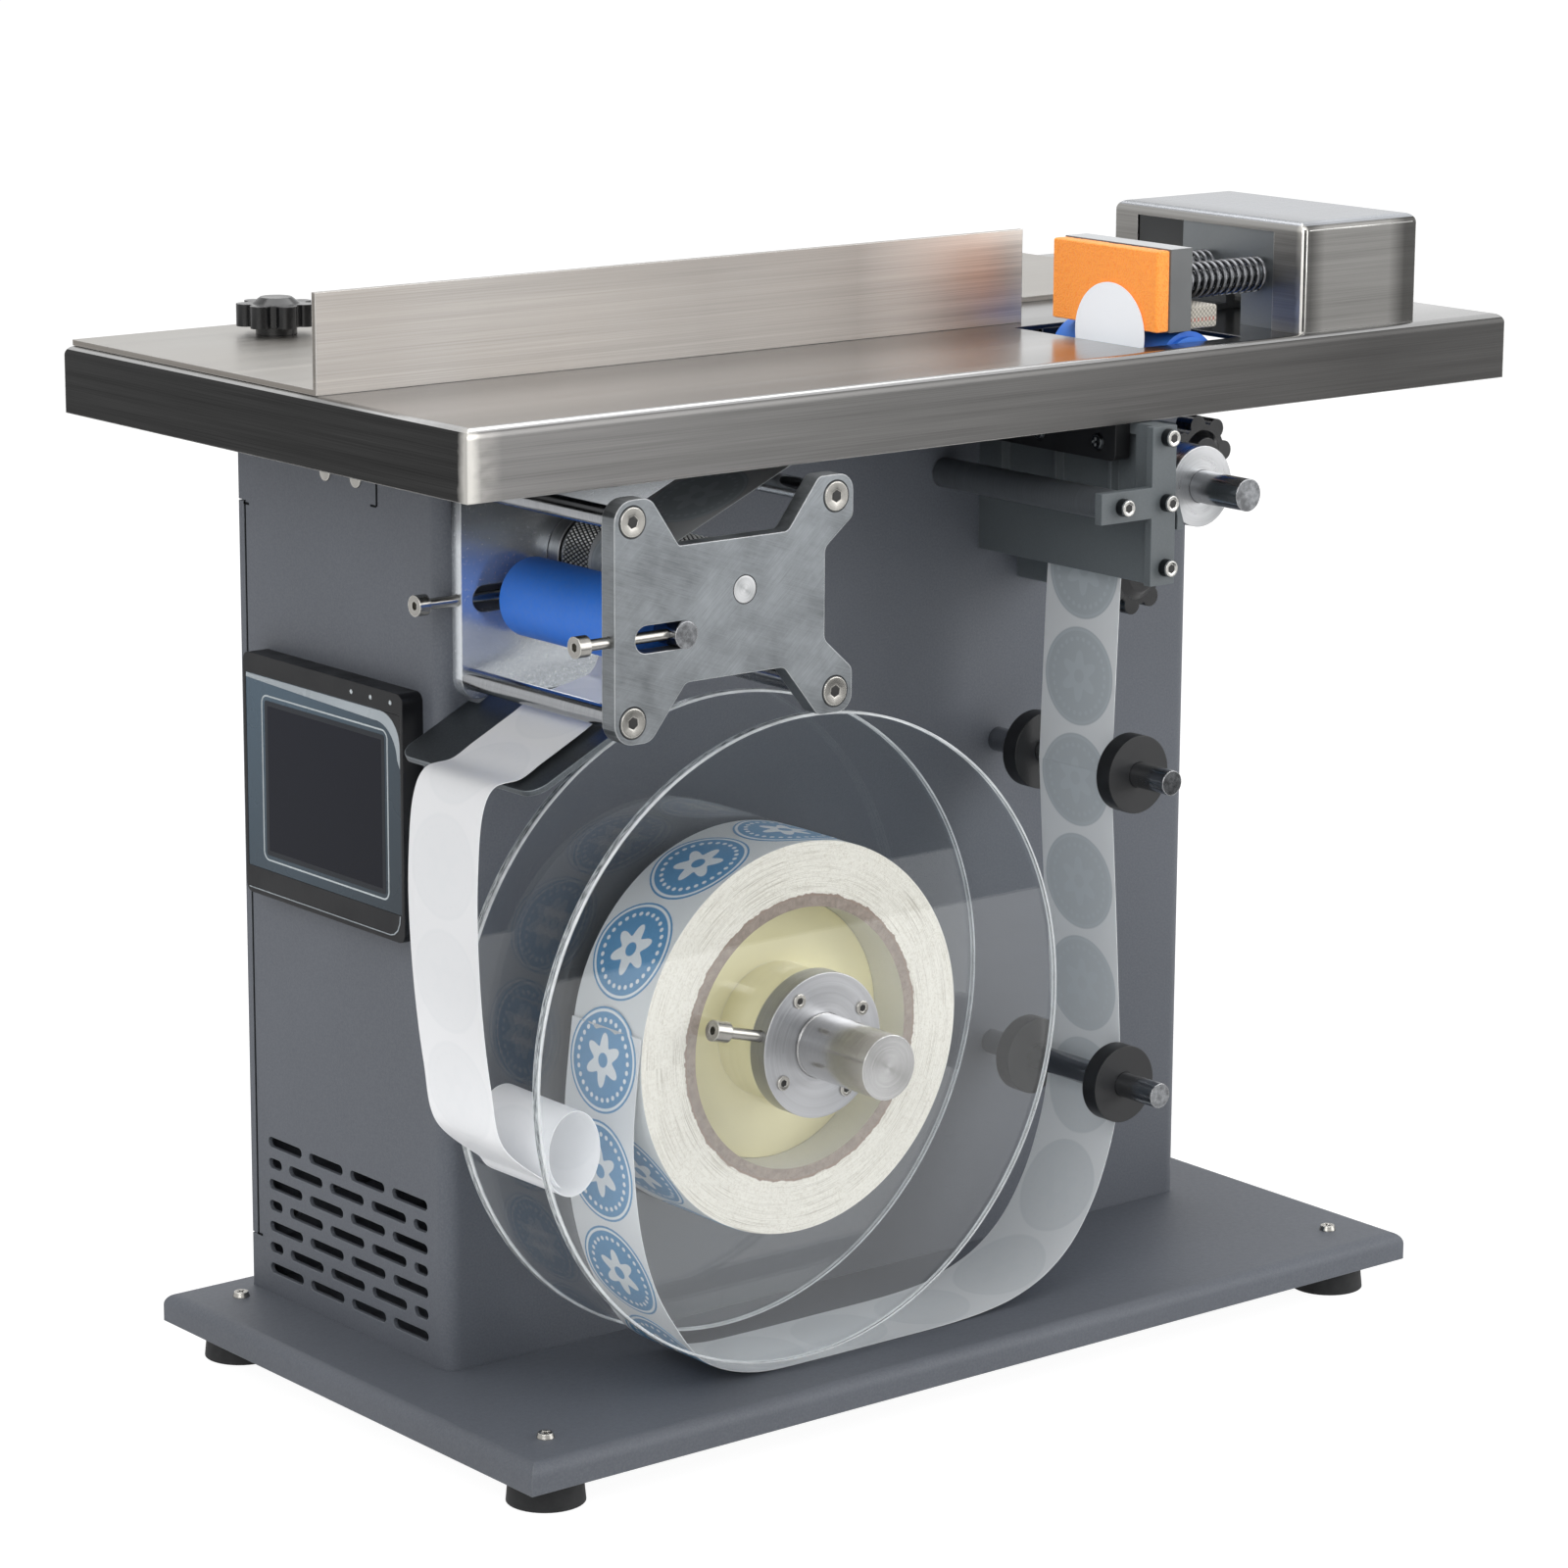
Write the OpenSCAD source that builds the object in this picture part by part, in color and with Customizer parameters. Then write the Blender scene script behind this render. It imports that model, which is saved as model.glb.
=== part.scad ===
// Bench-top label applicator with a sliding fence, a sprung presser pad and a label reel.
// Every module draws in the machine's own frame: X to the right from the base plate's left
// edge, Y to the back from its front edge, Z up from its underside. placed() then moves the
// whole machine so that its origin is on the bench under the middle of its bounding box.

/* [Base plate and feet] */
// Length of the base plate
base_l = 360; // [345:1:380]
// Depth of the base plate
base_d = 201; // [198:1:230]
// Height of the folded base plate
base_h = 9.2; // [8:0.1:12]
// Sheet thickness of the base plate
base_wall = 2; // [1.5:0.1:3]
// Radius of the base plate's bent edges
base_round = 4; // [3:0.1:6]
// Diameter of a rubber foot
foot_d = 24; // [20:1:28]
// Height of a rubber foot
foot_h = 10; // [8:1:14]
// Distance from the base plate's ends to the feet
foot_inset_x = 18; // [16:1:24]
// Distance from the base plate's long edges to the feet
foot_inset_y = 18; // [16:1:24]

/* [Cabinet] */
// Distance from the base plate's left edge to the cabinet
cab_left = 27.5; // [26:0.5:30]
// Distance from the base plate's front edge to the cabinet's face
cab_front = 81.5; // [80:0.5:84]
// Length of the cabinet
cab_l = 304.7; // [300:0.1:312]
// Depth of the cabinet
cab_d = 108.7; // [104:0.1:112]
// Sheet thickness of the cabinet
cab_wall = 1.5; // [1.2:0.1:2]
// Radius of the cabinet's upright bends
cab_round = 5; // [4:0.1:7]
// Height of the rear cover's lower edge above the base plate
cover_low = 17.8; // [14:0.1:24]
// Height of the rear cover
cover_h = 239; // [225:1:245]
// Depth of the rear cover's side lips
cover_lap = 3.6; // [3:0.1:5]
// Seam between the cabinet and its rear cover
seam = 0.8; // [0.6:0.1:1.2]

/* [Vent] */
// Length of a vent slot
slot_l = 19; // [16:0.5:20]
// Height of a vent slot
slot_h = 3.4; // [2.8:0.1:4]
// Spacing of the vent slots along a row
slot_pitch = 23.1; // [22.5:0.1:24]
// Spacing of the vent's rows
row_pitch = 7; // [6:0.1:7.5]
// Number of vent rows
vent_rows = 7; // [3:1:8]

/* [Table] */
// Length of the table
table_l = 415; // [412:1:430]
// Depth of the table
table_d = 215; // [214:1:225]
// Height of the table's folded edge
table_h = 21; // [19:0.5:24]
// Sheet thickness of the table
table_wall = 1.5; // [1.2:0.1:2]
// Radius of the table's bent edges
table_round = 3; // [2.5:0.1:4]
// Overhang of the table beyond the base plate's left edge
table_over = 14.5; // [12:0.5:18]
// Distance that the table's front edge stands behind the base plate's
table_back = 7.4; // [6:0.1:8]
// Height of the table's surface above the base plate's underside
table_z = 313.8; // [312:0.1:318]

/* [Label opening and roller] */
// Length of the opening in the table
opening_l = 44; // [40:1:46]
// Width of the opening in the table
opening_w = 60; // [58:1:62]
// Diameter of the blue roller in the table
table_roller_d = 26; // [22:0.5:27]
// Height of that roller above the table's surface
table_roller_rise = 3.2; // [2:0.1:3.3]
// Diameter of a round label
label_d = 32; // [26:0.5:33]
// Width of the label web
web_w = 34.2; // [34:0.1:36]
// Thickness of the label web
web_t = 0.2; // [0.15:0.05:0.3]

/* [Fence] */
// Length of the fence's upright plate
fence_l = 271; // [250:1:272]
// Height of the fence above the table
fence_h = 30; // [20:1:45]
// Sheet thickness of the fence
fence_t = 1.8; // [1.2:0.1:2.5]
// Distance from the table's front edge to the fence
fence_y = 77.8; // [77:0.1:79]
// Travel of the fence to each side
fence_travel = 15; // [5:1:15]
// Diameter of a star knob
knob_d = 25; // [20:1:25]
// Height of a star knob
knob_h = 11.6; // [10:0.1:14]
// Number of lobes of a star knob
knob_lobes = 7; // [5:1:9]

/* [Presser and hood] */
// Width of the orange pad
pad_w = 49; // [40:1:49]
// Height of the orange pad
pad_h = 26; // [20:1:27]
// Thickness of the orange pad
pad_t = 5.6; // [4:0.1:7]
// Thickness of the presser plate
presser_t = 9; // [6:0.5:10]
// Outer diameter of a presser spring
spring_d = 11.2; // [9:0.1:12]
// Wire diameter of a presser spring
spring_wire = 1.1; // [0.8:0.1:1.2]
// Number of curls of a presser spring
spring_curls = 14; // [8:1:16]
// Length of a presser spring at rest
spring_l = 42; // [41:0.5:43]
// Diameter of a presser guide rod
guide_d = 6; // [5:0.5:7]
// Travel of the presser
presser_travel = 20; // [10:1:20]
// Length of the hood
hood_l = 51.2; // [48:0.1:56]
// Width of the hood
hood_w = 86.5; // [84:0.5:92]
// Height of the hood
hood_h = 35.1; // [34:0.1:40]
// Sheet thickness of the hood
hood_wall = 1.2; // [1:0.1:1.5]

/* [Drive unit] */
// Width between the drive plate's screw columns
plate_cols = 74.4; // [74:0.1:78]
// Height between the drive plate's screw rows
plate_rows = 58; // [56:0.1:60]
// Thickness of the drive unit's front plate
plate_t = 6; // [4:0.5:8]
// Thickness of the drive unit's back plate
back_t = 5; // [4:0.5:6]
// Diameter of the knurled roller and of the pinch roller
nip_d = 24; // [22:0.1:24]
// Diameter of the roller shafts
shaft_d = 8; // [6:0.5:8]
// Diameter of the standoff rods
standoff_d = 6.4; // [5:0.1:7]
// Travel of the pinch roller away from the knurled roller
pinch_travel = 13; // [4:0.5:13]
// Diameter of an adjusting screw
adjuster_d = 3.4; // [3:0.1:4]

/* [Reel] */
// Diameter of the clear discs
disc_d = 202; // [180:1:203]
// Thickness of the clear discs
disc_t = 3; // [2:0.1:3]
// Outer diameter of the label roll
roll_d = 122; // [100:1:122]
// Outer diameter of the paper core
core_d = 88; // [86:0.5:92]
// Wall of the paper core
core_wall = 3.3; // [2.5:0.1:4]
// Diameter of the reel shaft
reel_shaft_d = 20; // [16:1:22]
// Diameter of the clamp collars
clamp_d = 45; // [40:1:50]
// Thickness of the clamp collars
clamp_t = 6.8; // [6:0.1:7]

/* [Guide rods and bracket] */
// Diameter of the guide rods
rod_d = 8; // [6:0.5:8]
// Diameter of the guide collars
collar_d = 25; // [20:1:26]
// Thickness of the guide collars
collar_t = 6; // [5:0.5:6]
// Thickness of the bracket's side plate
side_t = 6.4; // [5:0.1:6.4]
// Diameter of the bracket's tie bar
tie_d = 9.6; // [8:0.1:10]
// Diameter of the aluminium guide roller
idler_d = 25.4; // [20:0.1:25.4]
// Diameter of the guide roller's shaft
idler_shaft_d = 10.2; // [8:0.1:11]

/* [Operator panel] */
// Width of the panel
panel_w = 87; // [80:1:90]
// Height of the panel
panel_h = 76.6; // [70:0.1:80]
// Distance that the panel stands out of the cabinet
panel_out = 7.5; // [6:0.1:9]

/* [Hidden] */
$fn = 48;

// Shared clearances and overruns
run_gap = 0.05;
seat_gap = 0.3;
fit_gap = 0.1;
cut = 1;

// Derived places of the cabinet
cab_right = cab_left + cab_l;
cab_rear = cab_front + cab_d;
cab_top = table_z - table_wall;
roof_drop = 14.8;
roof_z = cab_top - roof_drop;
side_wall_share = 0.76;
cover_z0 = base_h + cover_low;
cover_z1 = cover_z0 + cover_h;
cover_strip = 10;

// Derived places of the vent, low in the cabinet's left end
vent_cols = 4;
vent_w = (vent_cols - 1) * slot_pitch + slot_l;
vent_y0 = cab_front + 10.2 * cab_d / 108.7;
vent_low = 8.8;
vent_z0 = base_h + vent_low;
stub_l = slot_l - slot_pitch / 2;

// Derived places of the table and of its opening
table_x0 = -table_over;
table_x1 = table_x0 + table_l;
table_y0 = table_back;
table_y1 = table_y0 + table_d;
under_z = table_z - table_wall;
opening_x0 = 248.2;
opening_x1 = opening_x0 + opening_l;
opening_y0 = 18.2;
opening_y1 = opening_y0 + opening_w;
web_y0 = 21.8;
web_y1 = web_y0 + web_w;
web_mid = web_y0 + web_w / 2;
table_roller_x = 270.2;
table_roller_z = table_z + table_roller_rise - table_roller_d / 2;
axle_d = 6;
cradle_t = 2;
cradle_w = 16;
cradle_drop = 15;
cradle_gap = 2.4;

// Derived places of the fence and of its knobs
fence_x0 = table_x0 + 2 * table_round / 3;
fence_x1 = fence_x0 + fence_l;
fence_y0 = table_y0 + fence_y;
flange_y1 = table_y1 - fence_t;
flange_low = table_z + run_gap;
flange_top = flange_low + fence_t;
tail_y0 = fence_y0 + fence_y / 2 - table_wall;
tail_l = 116;
tail_x1 = fence_x1 + tail_l;
knob_left_x = 45;
knob_left_y = 194;
knob_right_x = 361;
knob_right_y = 143;
stud_d = 6;
nut_d = 14;
nut_h = 5;
stud_slot_w = stud_d + 8 * fit_gap;
knob_lobe_d = 6.4;
knob_hub_d = 13;
knob_hub_share = 0.24;
knob_rim_share = 0.84;

// Derived places of the presser and of its hood
pad_y0 = 18.2;
pad_y1 = pad_y0 + pad_w;
pad_mid = (pad_y0 + pad_y1) / 2;
pad_lift = 3.6;
pad_z0 = table_z + pad_lift;
pad_x0 = 255.2;
presser_x0 = pad_x0 + pad_t;
presser_x1 = presser_x0 + presser_t;
block_x0 = presser_x1 + spring_l + 2 * fit_gap;
block_l = 20;
block_arch = 9.7;
block_h = 22.4;
block_z0 = table_z + block_arch;
guide_z = table_z + 17.3 * hood_h / 35.1;
guide_spread = 23.4;
guide_y = [pad_mid - guide_spread / 2, pad_mid + guide_spread / 2];
guide_in = 5;
guide_out = 6;
hood_x0 = block_x0 - hood_wall - 2 * fit_gap;
hood_x1 = hood_x0 + hood_l;
hood_y0 = 11.4;
hood_y1 = hood_y0 + hood_w;
hood_round = 3;
window_y0 = hood_y0 + 12.6;
window_y1 = hood_y1 - 10.4;
window_top = 3.9;
bumper_l = 12;
bumper_h = 6;

// Derived places of the drive unit: front face of its front plate, screw columns and rows
plate_y0 = -3;
plate_y1 = plate_y0 + plate_t;
back_y0 = cab_front - back_t;
col_left = 34.9;
col_right = col_left + plate_cols;
row_low = 226.2;
row_high = row_low + plate_rows;
lug_r = 6.4;
plate_x0 = col_left - lug_r;
waist_top = row_high - 8.5 * plate_rows / 58;
waist_low = row_low + 9.5 * plate_rows / 58;
waist_right = col_right - 4.1 * plate_cols / 74.4;
drive_x = col_left + 40.6 * plate_cols / 74.4;
drive_z = row_low + 34.2 * plate_rows / 58;
nip_gap = 0.25;
nip_pitch = nip_d + web_t + 2 * nip_gap;
nip_angle = 205.2;
pinch_x = drive_x + nip_pitch * cos(nip_angle);
pinch_z = drive_z + nip_pitch * sin(nip_angle);
knurl_y0 = plate_y1 + 4;
knurl_y1 = back_y0 - 6.5;
neck_d = 17;
neck_l = 1;
drive_collar_d = 24.8;
pinch_y0 = plate_y1 + 3;
pinch_y1 = back_y0 - 6;
shaft_slot_w = shaft_d + 2 * run_gap;
screw_head_d = 8.8;
screw_head_h = 2.4;
socket_share = 0.45;
back_right = col_right + lug_r;
back_low = row_low - lug_r;
back_high = row_high + lug_r;
adjuster_head_d = 6.4;
adjuster_head_l = 4;
adjuster_reach = 12;
motor_d = 52;
motor_l = 58;
gearbox_w = 56;
gearbox_l = 26;
spigot_d = 18;
spigot_l = 14;

// Derived places of the chute and of the waste liner
chute_t = 1.8;
chute_tip_x = 11.4;
chute_tip_z = 205.8;
chute_angle = 26;
chute_l = 36;
chute_y0 = 13;
chute_round = 6;
chute_root = 29;
chute_tab_l = 25;
chute_tab_h = 10;

// Derived places of the reel
reel_x = 116.5;
reel_z = 114;
disc_gap = 1.6;
front_disc_y = web_y0 - disc_gap - disc_t;
rear_disc_y = web_y1 + disc_gap;
clamp_y = front_disc_y - clamp_t - fit_gap;
reel_shaft_out = 31;
reel_shaft_y0 = clamp_y - reel_shaft_out;
reel_shaft_in = 68;
reel_shaft_y1 = cab_front + reel_shaft_in;
groove_w = 0.8;
groove_t = 0.4;
hub_d = core_d - 2 * core_wall - 2 * fit_gap;
hub_y0 = web_y0 + 14.2 * web_w / 34.2;
boss_d = 42;
bearing_d = 40;
bearing_l = 34;
bearing_flange_d = 58;
bearing_flange_t = 5;
thumb_d = 3.6;
thumb_head_d = 6.4;
thumb_head_l = 5.5;
thumb_reach = 13;
thumb_angle = 165;

// Derived places of the guide rods, of their collars and of the bracket
upper_rod_x = 247.6;
upper_rod_z = 179;
lower_rod_x = 245.4;
lower_rod_z = 77.6;
rod_y0 = -1.4;
liner_rod_x = 160;
liner_rod_z = 306;
liner_rod_y0 = 15;
upper_collar_y = 14;
lower_collar_y = 15.4;
rear_collar_y = web_y1 + 2.6;
collar_gap = 1.4;
side_x0 = 238.2;
side_x1 = side_x0 + side_t;
side_y0 = 0.5;
side_z0 = 243;
side_top = table_z - table_h - seat_gap;
pocket_t = 3.2;
pocket_bar = 1.4;
pocket_low = 19;
pocket_y1 = 19.2;
pocket_rim = 3.6;
pocket_w_share = 0.3;
front_t = 3;
front_x0 = 235.4;
front_w = 9.9;
tie_x = 223.1;
tie_z = 269.1;
arm_h = 9.6;
arm_x0 = 214.6;
m3_d = 3;
m3_head_d = 5.5;
m3_head_h = 3;
m3_x = side_x0 + side_t / 2;
m3_in = 5;
m3_low = 5.4;
m3_pitch = 20.3;
sensor_t = 6;
sensor_l = 58;
sensor_h = 16;
sensor_y0 = 11;
sensor_z0 = 280.5;
idler_x = 262.4;
idler_z = 270.8;
idler_y0 = 4;
idler_y1 = 76;
idler_shaft_y0 = -17;
peel_t = 1.5;
peel_low = 262;
peel_bend = 286;
peel_tip_x = 253.2;
peel_tip_z = 311;
peel_tip_r = 0.75;
peel_y0 = 18;
peel_y1 = 60;
bar_w = 14;
stud_in = 10;
upper_knob_x = 290;
upper_knob_z = 275;
lower_knob_x = 262;
lower_knob_z = 238.5;
upper_bar_y = 42.6;
lower_bar_y = 41.6;
lug_w = 3.6;
lug_h = 8.3;
lug_low = 16.7;

// Derived places of the panel
panel_y0 = 91;
panel_z0 = 144;
panel_round = 3;
panel_body_l = 24;
panel_body_in = 5;
glass_t = 1.2;
glass_in = 1.4;
glass_low = 8.6;
glass_top = 6.3;

// Derived middle and overall box of the machine
mid_x = (table_x0 + table_x1) / 2;
mid_y = (reel_shaft_y0 + table_y1) / 2;

// Moves the machine's frame so that the origin is on the bench under its middle
module placed() {
  translate([-mid_x, -mid_y, foot_h]) children();
}

// A round bar along Y at x, z from y0 to y1
module rod_y(x, z, y0, y1, d) {
  translate([x, y0, z]) rotate([-90, 0, 0]) cylinder(d = d, h = y1 - y0);
}

// A round bar along X at y, z from x0 to x1
module rod_x(y, z, x0, x1, d) {
  translate([x0, y, z]) rotate([0, 90, 0]) cylinder(d = d, h = x1 - x0);
}

// A round bar along Z at x, y from z0 to z1
module rod_z(x, y, z0, z1, d) {
  translate([x, y, z0]) cylinder(d = d, h = z1 - z0);
}

// A box between two corners
module block(low, high) {
  translate(low) cube(high - low);
}

// A flat outline in X and Z, extruded from y0 to y1
module slab_y(y0, y1) {
  translate([0, y1, 0]) rotate([90, 0, 0]) linear_extrude(height = y1 - y0) children();
}

// A flat outline in Y and Z, extruded from x0 to x1
module slab_x(x0, x1) {
  translate([x0, 0, 0]) rotate([90, 0, 90]) linear_extrude(height = x1 - x0) children();
}

// A flat outline in X and Y, extruded from z0 to z1
module slab_z(z0, z1) {
  translate([0, 0, z0]) linear_extrude(height = z1 - z0) children();
}

// A rectangle whose two upper corners are round
module arched(low, high, r) {
  translate(low) square([high.x - low.x, high.y - low.y - r]);
  translate([low.x + r, low.y]) square([high.x - low.x - 2 * r, high.y - low.y]);
  for (x = [low.x + r, high.x - r]) translate([x, high.y - r]) circle(r);
}

// A rectangle with four round corners
module rounded(low, high, r) {
  translate([low.x + r, low.y]) square([high.x - low.x - 2 * r, high.y - low.y]);
  translate([low.x, low.y + r]) square([high.x - low.x, high.y - low.y - 2 * r]);
  for (x = [low.x + r, high.x - r], y = [low.y + r, high.y - r]) translate([x, y]) circle(r);
}

// A box with round upper edges, as a folded sheet has
module folded_box(low, high, r) {
  intersection() {
    slab_y(low.y, high.y) arched([low.x, low.z], [high.x, high.z], r);
    slab_x(low.x, high.x) arched([low.y, low.z], [high.y, high.z], r);
  }
}

// A sheet tray, open below, with round upper edges
module tray(low, high, wall, r) {
  difference() {
    folded_box(low, high, r);
    folded_box([low.x + wall, low.y + wall, low.z - cut],
               [high.x - wall, high.y - wall, high.z - wall], r - wall / 2);
  }
}

// A straight slot with round ends between two points
module slot_2d(a, b, d) {
  along = b - a;
  long = norm(along);
  translate(a) rotate(atan2(along.y, along.x)) {
    translate([0, -d / 2]) square([long, d]);
    circle(d = d);
    translate([long, 0]) circle(d = d);
  }
}

// Points of one corner b between a and c, rounded to radius r
function corner(a, b, c, r, steps = 6) =
  let (u = (a - b) / norm(a - b), v = (c - b) / norm(c - b),
       half = acos(u * v) / 2, m = (u + v) / norm(u + v),
       centre = b + m * r / sin(half), reach = r / tan(half),
       p = b + u * reach - centre, q = b + v * reach - centre,
       from = atan2(p.y, p.x), turn = atan2(q.y, q.x) - from,
       sweep = turn > 180 ? turn - 360 : turn < -180 ? turn + 360 : turn)
  r <= 0 ? [b] : [for (i = [0:steps]) centre + r * [cos(from + sweep * i / steps),
                                                    sin(from + sweep * i / steps)]];

// An outline of corner points, each given as [x, y, radius]
function outline(points) =
  let (n = len(points))
  [for (i = [0:n - 1])
    let (a = points[(i + n - 1) % n], b = points[i], c = points[(i + 1) % n])
    each corner([a.x, a.y], [b.x, b.y], [c.x, c.y], b.z)];

// Points of an arc about centre c from angle a0 to angle a1
function arc(c, r, a0, a1, steps) =
  [for (i = [0:steps]) c + r * [cos(a0 + (a1 - a0) * i / steps), sin(a0 + (a1 - a0) * i / steps)]];

// A smooth curve through points, steps spans between each two
function spline_at(a, b, c, d, t) =
  (2 * b + (c - a) * t + (2 * a - 5 * b + 4 * c - d) * t * t
   + (3 * b - a - 3 * c + d) * t * t * t) / 2;
function spline(points, steps) =
  let (n = len(points))
  [for (i = [0:n - 2], s = [0:steps - 1])
    spline_at(points[max(i - 1, 0)], points[i], points[i + 1], points[min(i + 2, n - 1)],
              s / steps),
   points[n - 1]];

// The two sides of a ribbon of thickness t along a path of points
function side_dir(points, i) =
  let (n = len(points), along = points[min(i + 1, n - 1)] - points[max(i - 1, 0)])
  [-along.y, along.x] / norm(along);
function ribbon(points, t) =
  concat([for (i = [0:len(points) - 1]) points[i] + side_dir(points, i) * t / 2],
         [for (i = [len(points) - 1:-1:0]) points[i] - side_dir(points, i) * t / 2]);

// A ring along Y
module ring_y(x, z, y0, y1, d, bore) {
  difference() {
    rod_y(x, z, y0, y1, d);
    rod_y(x, z, y0 - cut, y1 + cut, bore);
  }
}

// A round bar along Y with a hole of some depth in its front end
module ring_to(x, z, y0, y1, d, bore, deep) {
  difference() {
    rod_y(x, z, y0, y1, d);
    rod_y(x, z, y0 - cut, y0 + deep, bore);
  }
}

// A socket head screw along Z, its head's underside at zero and its shank below
module socket_screw(d, head_d, head_h, shank_l) {
  difference() {
    union() {
      cylinder(d = head_d, h = head_h);
      translate([0, 0, -shank_l]) cylinder(d = d, h = shank_l);
    }
    translate([0, 0, head_h / 2]) cylinder(d = head_d * socket_share, h = head_h, $fn = 6);
  }
}

// A pan head screw along Z, its head's underside at zero and its shank below
module pan_screw(d, head_d, head_h, shank_l) {
  difference() {
    union() {
      cylinder(d1 = head_d, d2 = head_d * 0.8, h = head_h);
      translate([0, 0, -shank_l]) cylinder(d = d, h = shank_l);
    }
    for (a = [0, 90]) rotate(a)
      translate([-head_d / 4, -head_d / 16, head_h / 2]) cube([head_d / 2, head_d / 8, head_h]);
  }
}

// A star knob along Z with its stud below, seated at zero
module star_knob(stud_l) {
  hub_h = knob_h * knob_hub_share;
  rim_top = knob_h * knob_rim_share;
  lobe_ring = (knob_d - knob_lobe_d) / 2;
  cylinder(d = knob_hub_d, h = hub_h);
  translate([0, 0, hub_h]) linear_extrude(height = rim_top - hub_h) {
    circle(r = lobe_ring);
    for (i = [0:knob_lobes - 1]) rotate(i * 360 / knob_lobes)
      translate([lobe_ring, 0]) circle(d = knob_lobe_d);
  }
  translate([0, 0, rim_top]) cylinder(d1 = knob_d * 0.6, d2 = knob_d * 0.4, h = knob_h - rim_top);
  translate([0, 0, -stud_l]) cylinder(d = stud_d, h = stud_l);
}

// Centres of the four feet
foot_places = [for (x = [foot_inset_x, base_l - foot_inset_x],
                    y = [foot_inset_y, base_d - foot_inset_y]) [x, y]];
pan_d = 3;
pan_head_d = 5.6;
pan_head_h = 1.6;
foot_screw_l = base_wall + foot_h / 2 + base_h - base_wall;

// Base plate folded from sheet, with a boss over each foot
module base_plate() {
  placed() color("slategray") difference() {
    union() {
      tray([0, 0, 0], [base_l, base_d, base_h], base_wall, base_round);
      for (p = foot_places) rod_z(p.x, p.y, 0, base_h - base_wall / 2, foot_d / 2);
    }
    for (p = foot_places) rod_z(p.x, p.y, -cut, base_h + cut, pan_d + 2 * fit_gap);
    rod_z(base_l / 2, cab_rear - cover_strip, -cut, base_h + cut, cover_strip);
  }
}

// Rubber feet, each with a lip at the bench
module feet() {
  placed() color("black") for (p = foot_places) difference() {
    union() {
      translate([p.x, p.y, -foot_h]) cylinder(d1 = foot_d, d2 = foot_d * 0.92, h = foot_h);
    }
    rod_z(p.x, p.y, -foot_h / 2 - cut, cut, pan_d + 2 * fit_gap);
    rod_z(p.x, p.y, -foot_h - cut, -foot_h / 2, foot_d / 3);
  }
}

// Places of the rear cover's screws, in X and Z
cover_places = [for (x = [cab_left + 14 * cab_l / 304.7, (cab_left + cab_right) / 2,
                          cab_right - 14 * cab_l / 304.7],
                     z = [cover_z0 + cover_strip / 2, cover_z1 - cover_strip / 2]) [x, z]];

// Pan head screws of the feet and of the rear cover
module pan_screws() {
  placed() color("silver") {
    for (p = foot_places) translate([p.x, p.y, base_h])
      pan_screw(pan_d, pan_head_d, pan_head_h, foot_screw_l);
    for (p = cover_places) translate([p.x, cab_rear, p.y]) rotate([-90, 0, 0])
      pan_screw(pan_d, pan_head_d, pan_head_h, 2 * cab_wall);
  }
}

// Outline of the cabinet seen from above, drawn in by a margin
module cabinet_plan(margin) {
  r = cab_round - margin;
  translate([cab_left + margin, cab_front + margin + r])
    square([cab_l - 2 * margin, cab_d - 2 * margin - r]);
  translate([cab_left + margin + r, cab_front + margin])
    square([cab_l - 2 * margin - 2 * r, cab_d - 2 * margin]);
  for (x = [cab_left + margin + r, cab_right - margin - r])
    translate([x, cab_front + margin + r]) circle(r);
}

// One vent row in Y and Z: long slots, or long ones moved half a pitch with a short one each end
module vent_row(z, moved) {
  r = slot_h / 2;
  if (moved) {
    slot_2d([vent_y0 + r, z], [vent_y0 + stub_l - r, z], slot_h);
    slot_2d([vent_y0 + vent_w - stub_l + r, z], [vent_y0 + vent_w - r, z], slot_h);
    for (i = [0:vent_cols - 2]) let (y = vent_y0 + (i + 0.5) * slot_pitch)
      slot_2d([y + r, z], [y + slot_l - r, z], slot_h);
  } else {
    for (i = [0:vent_cols - 1]) let (y = vent_y0 + i * slot_pitch)
      slot_2d([y + r, z], [y + slot_l - r, z], slot_h);
  }
}

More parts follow.
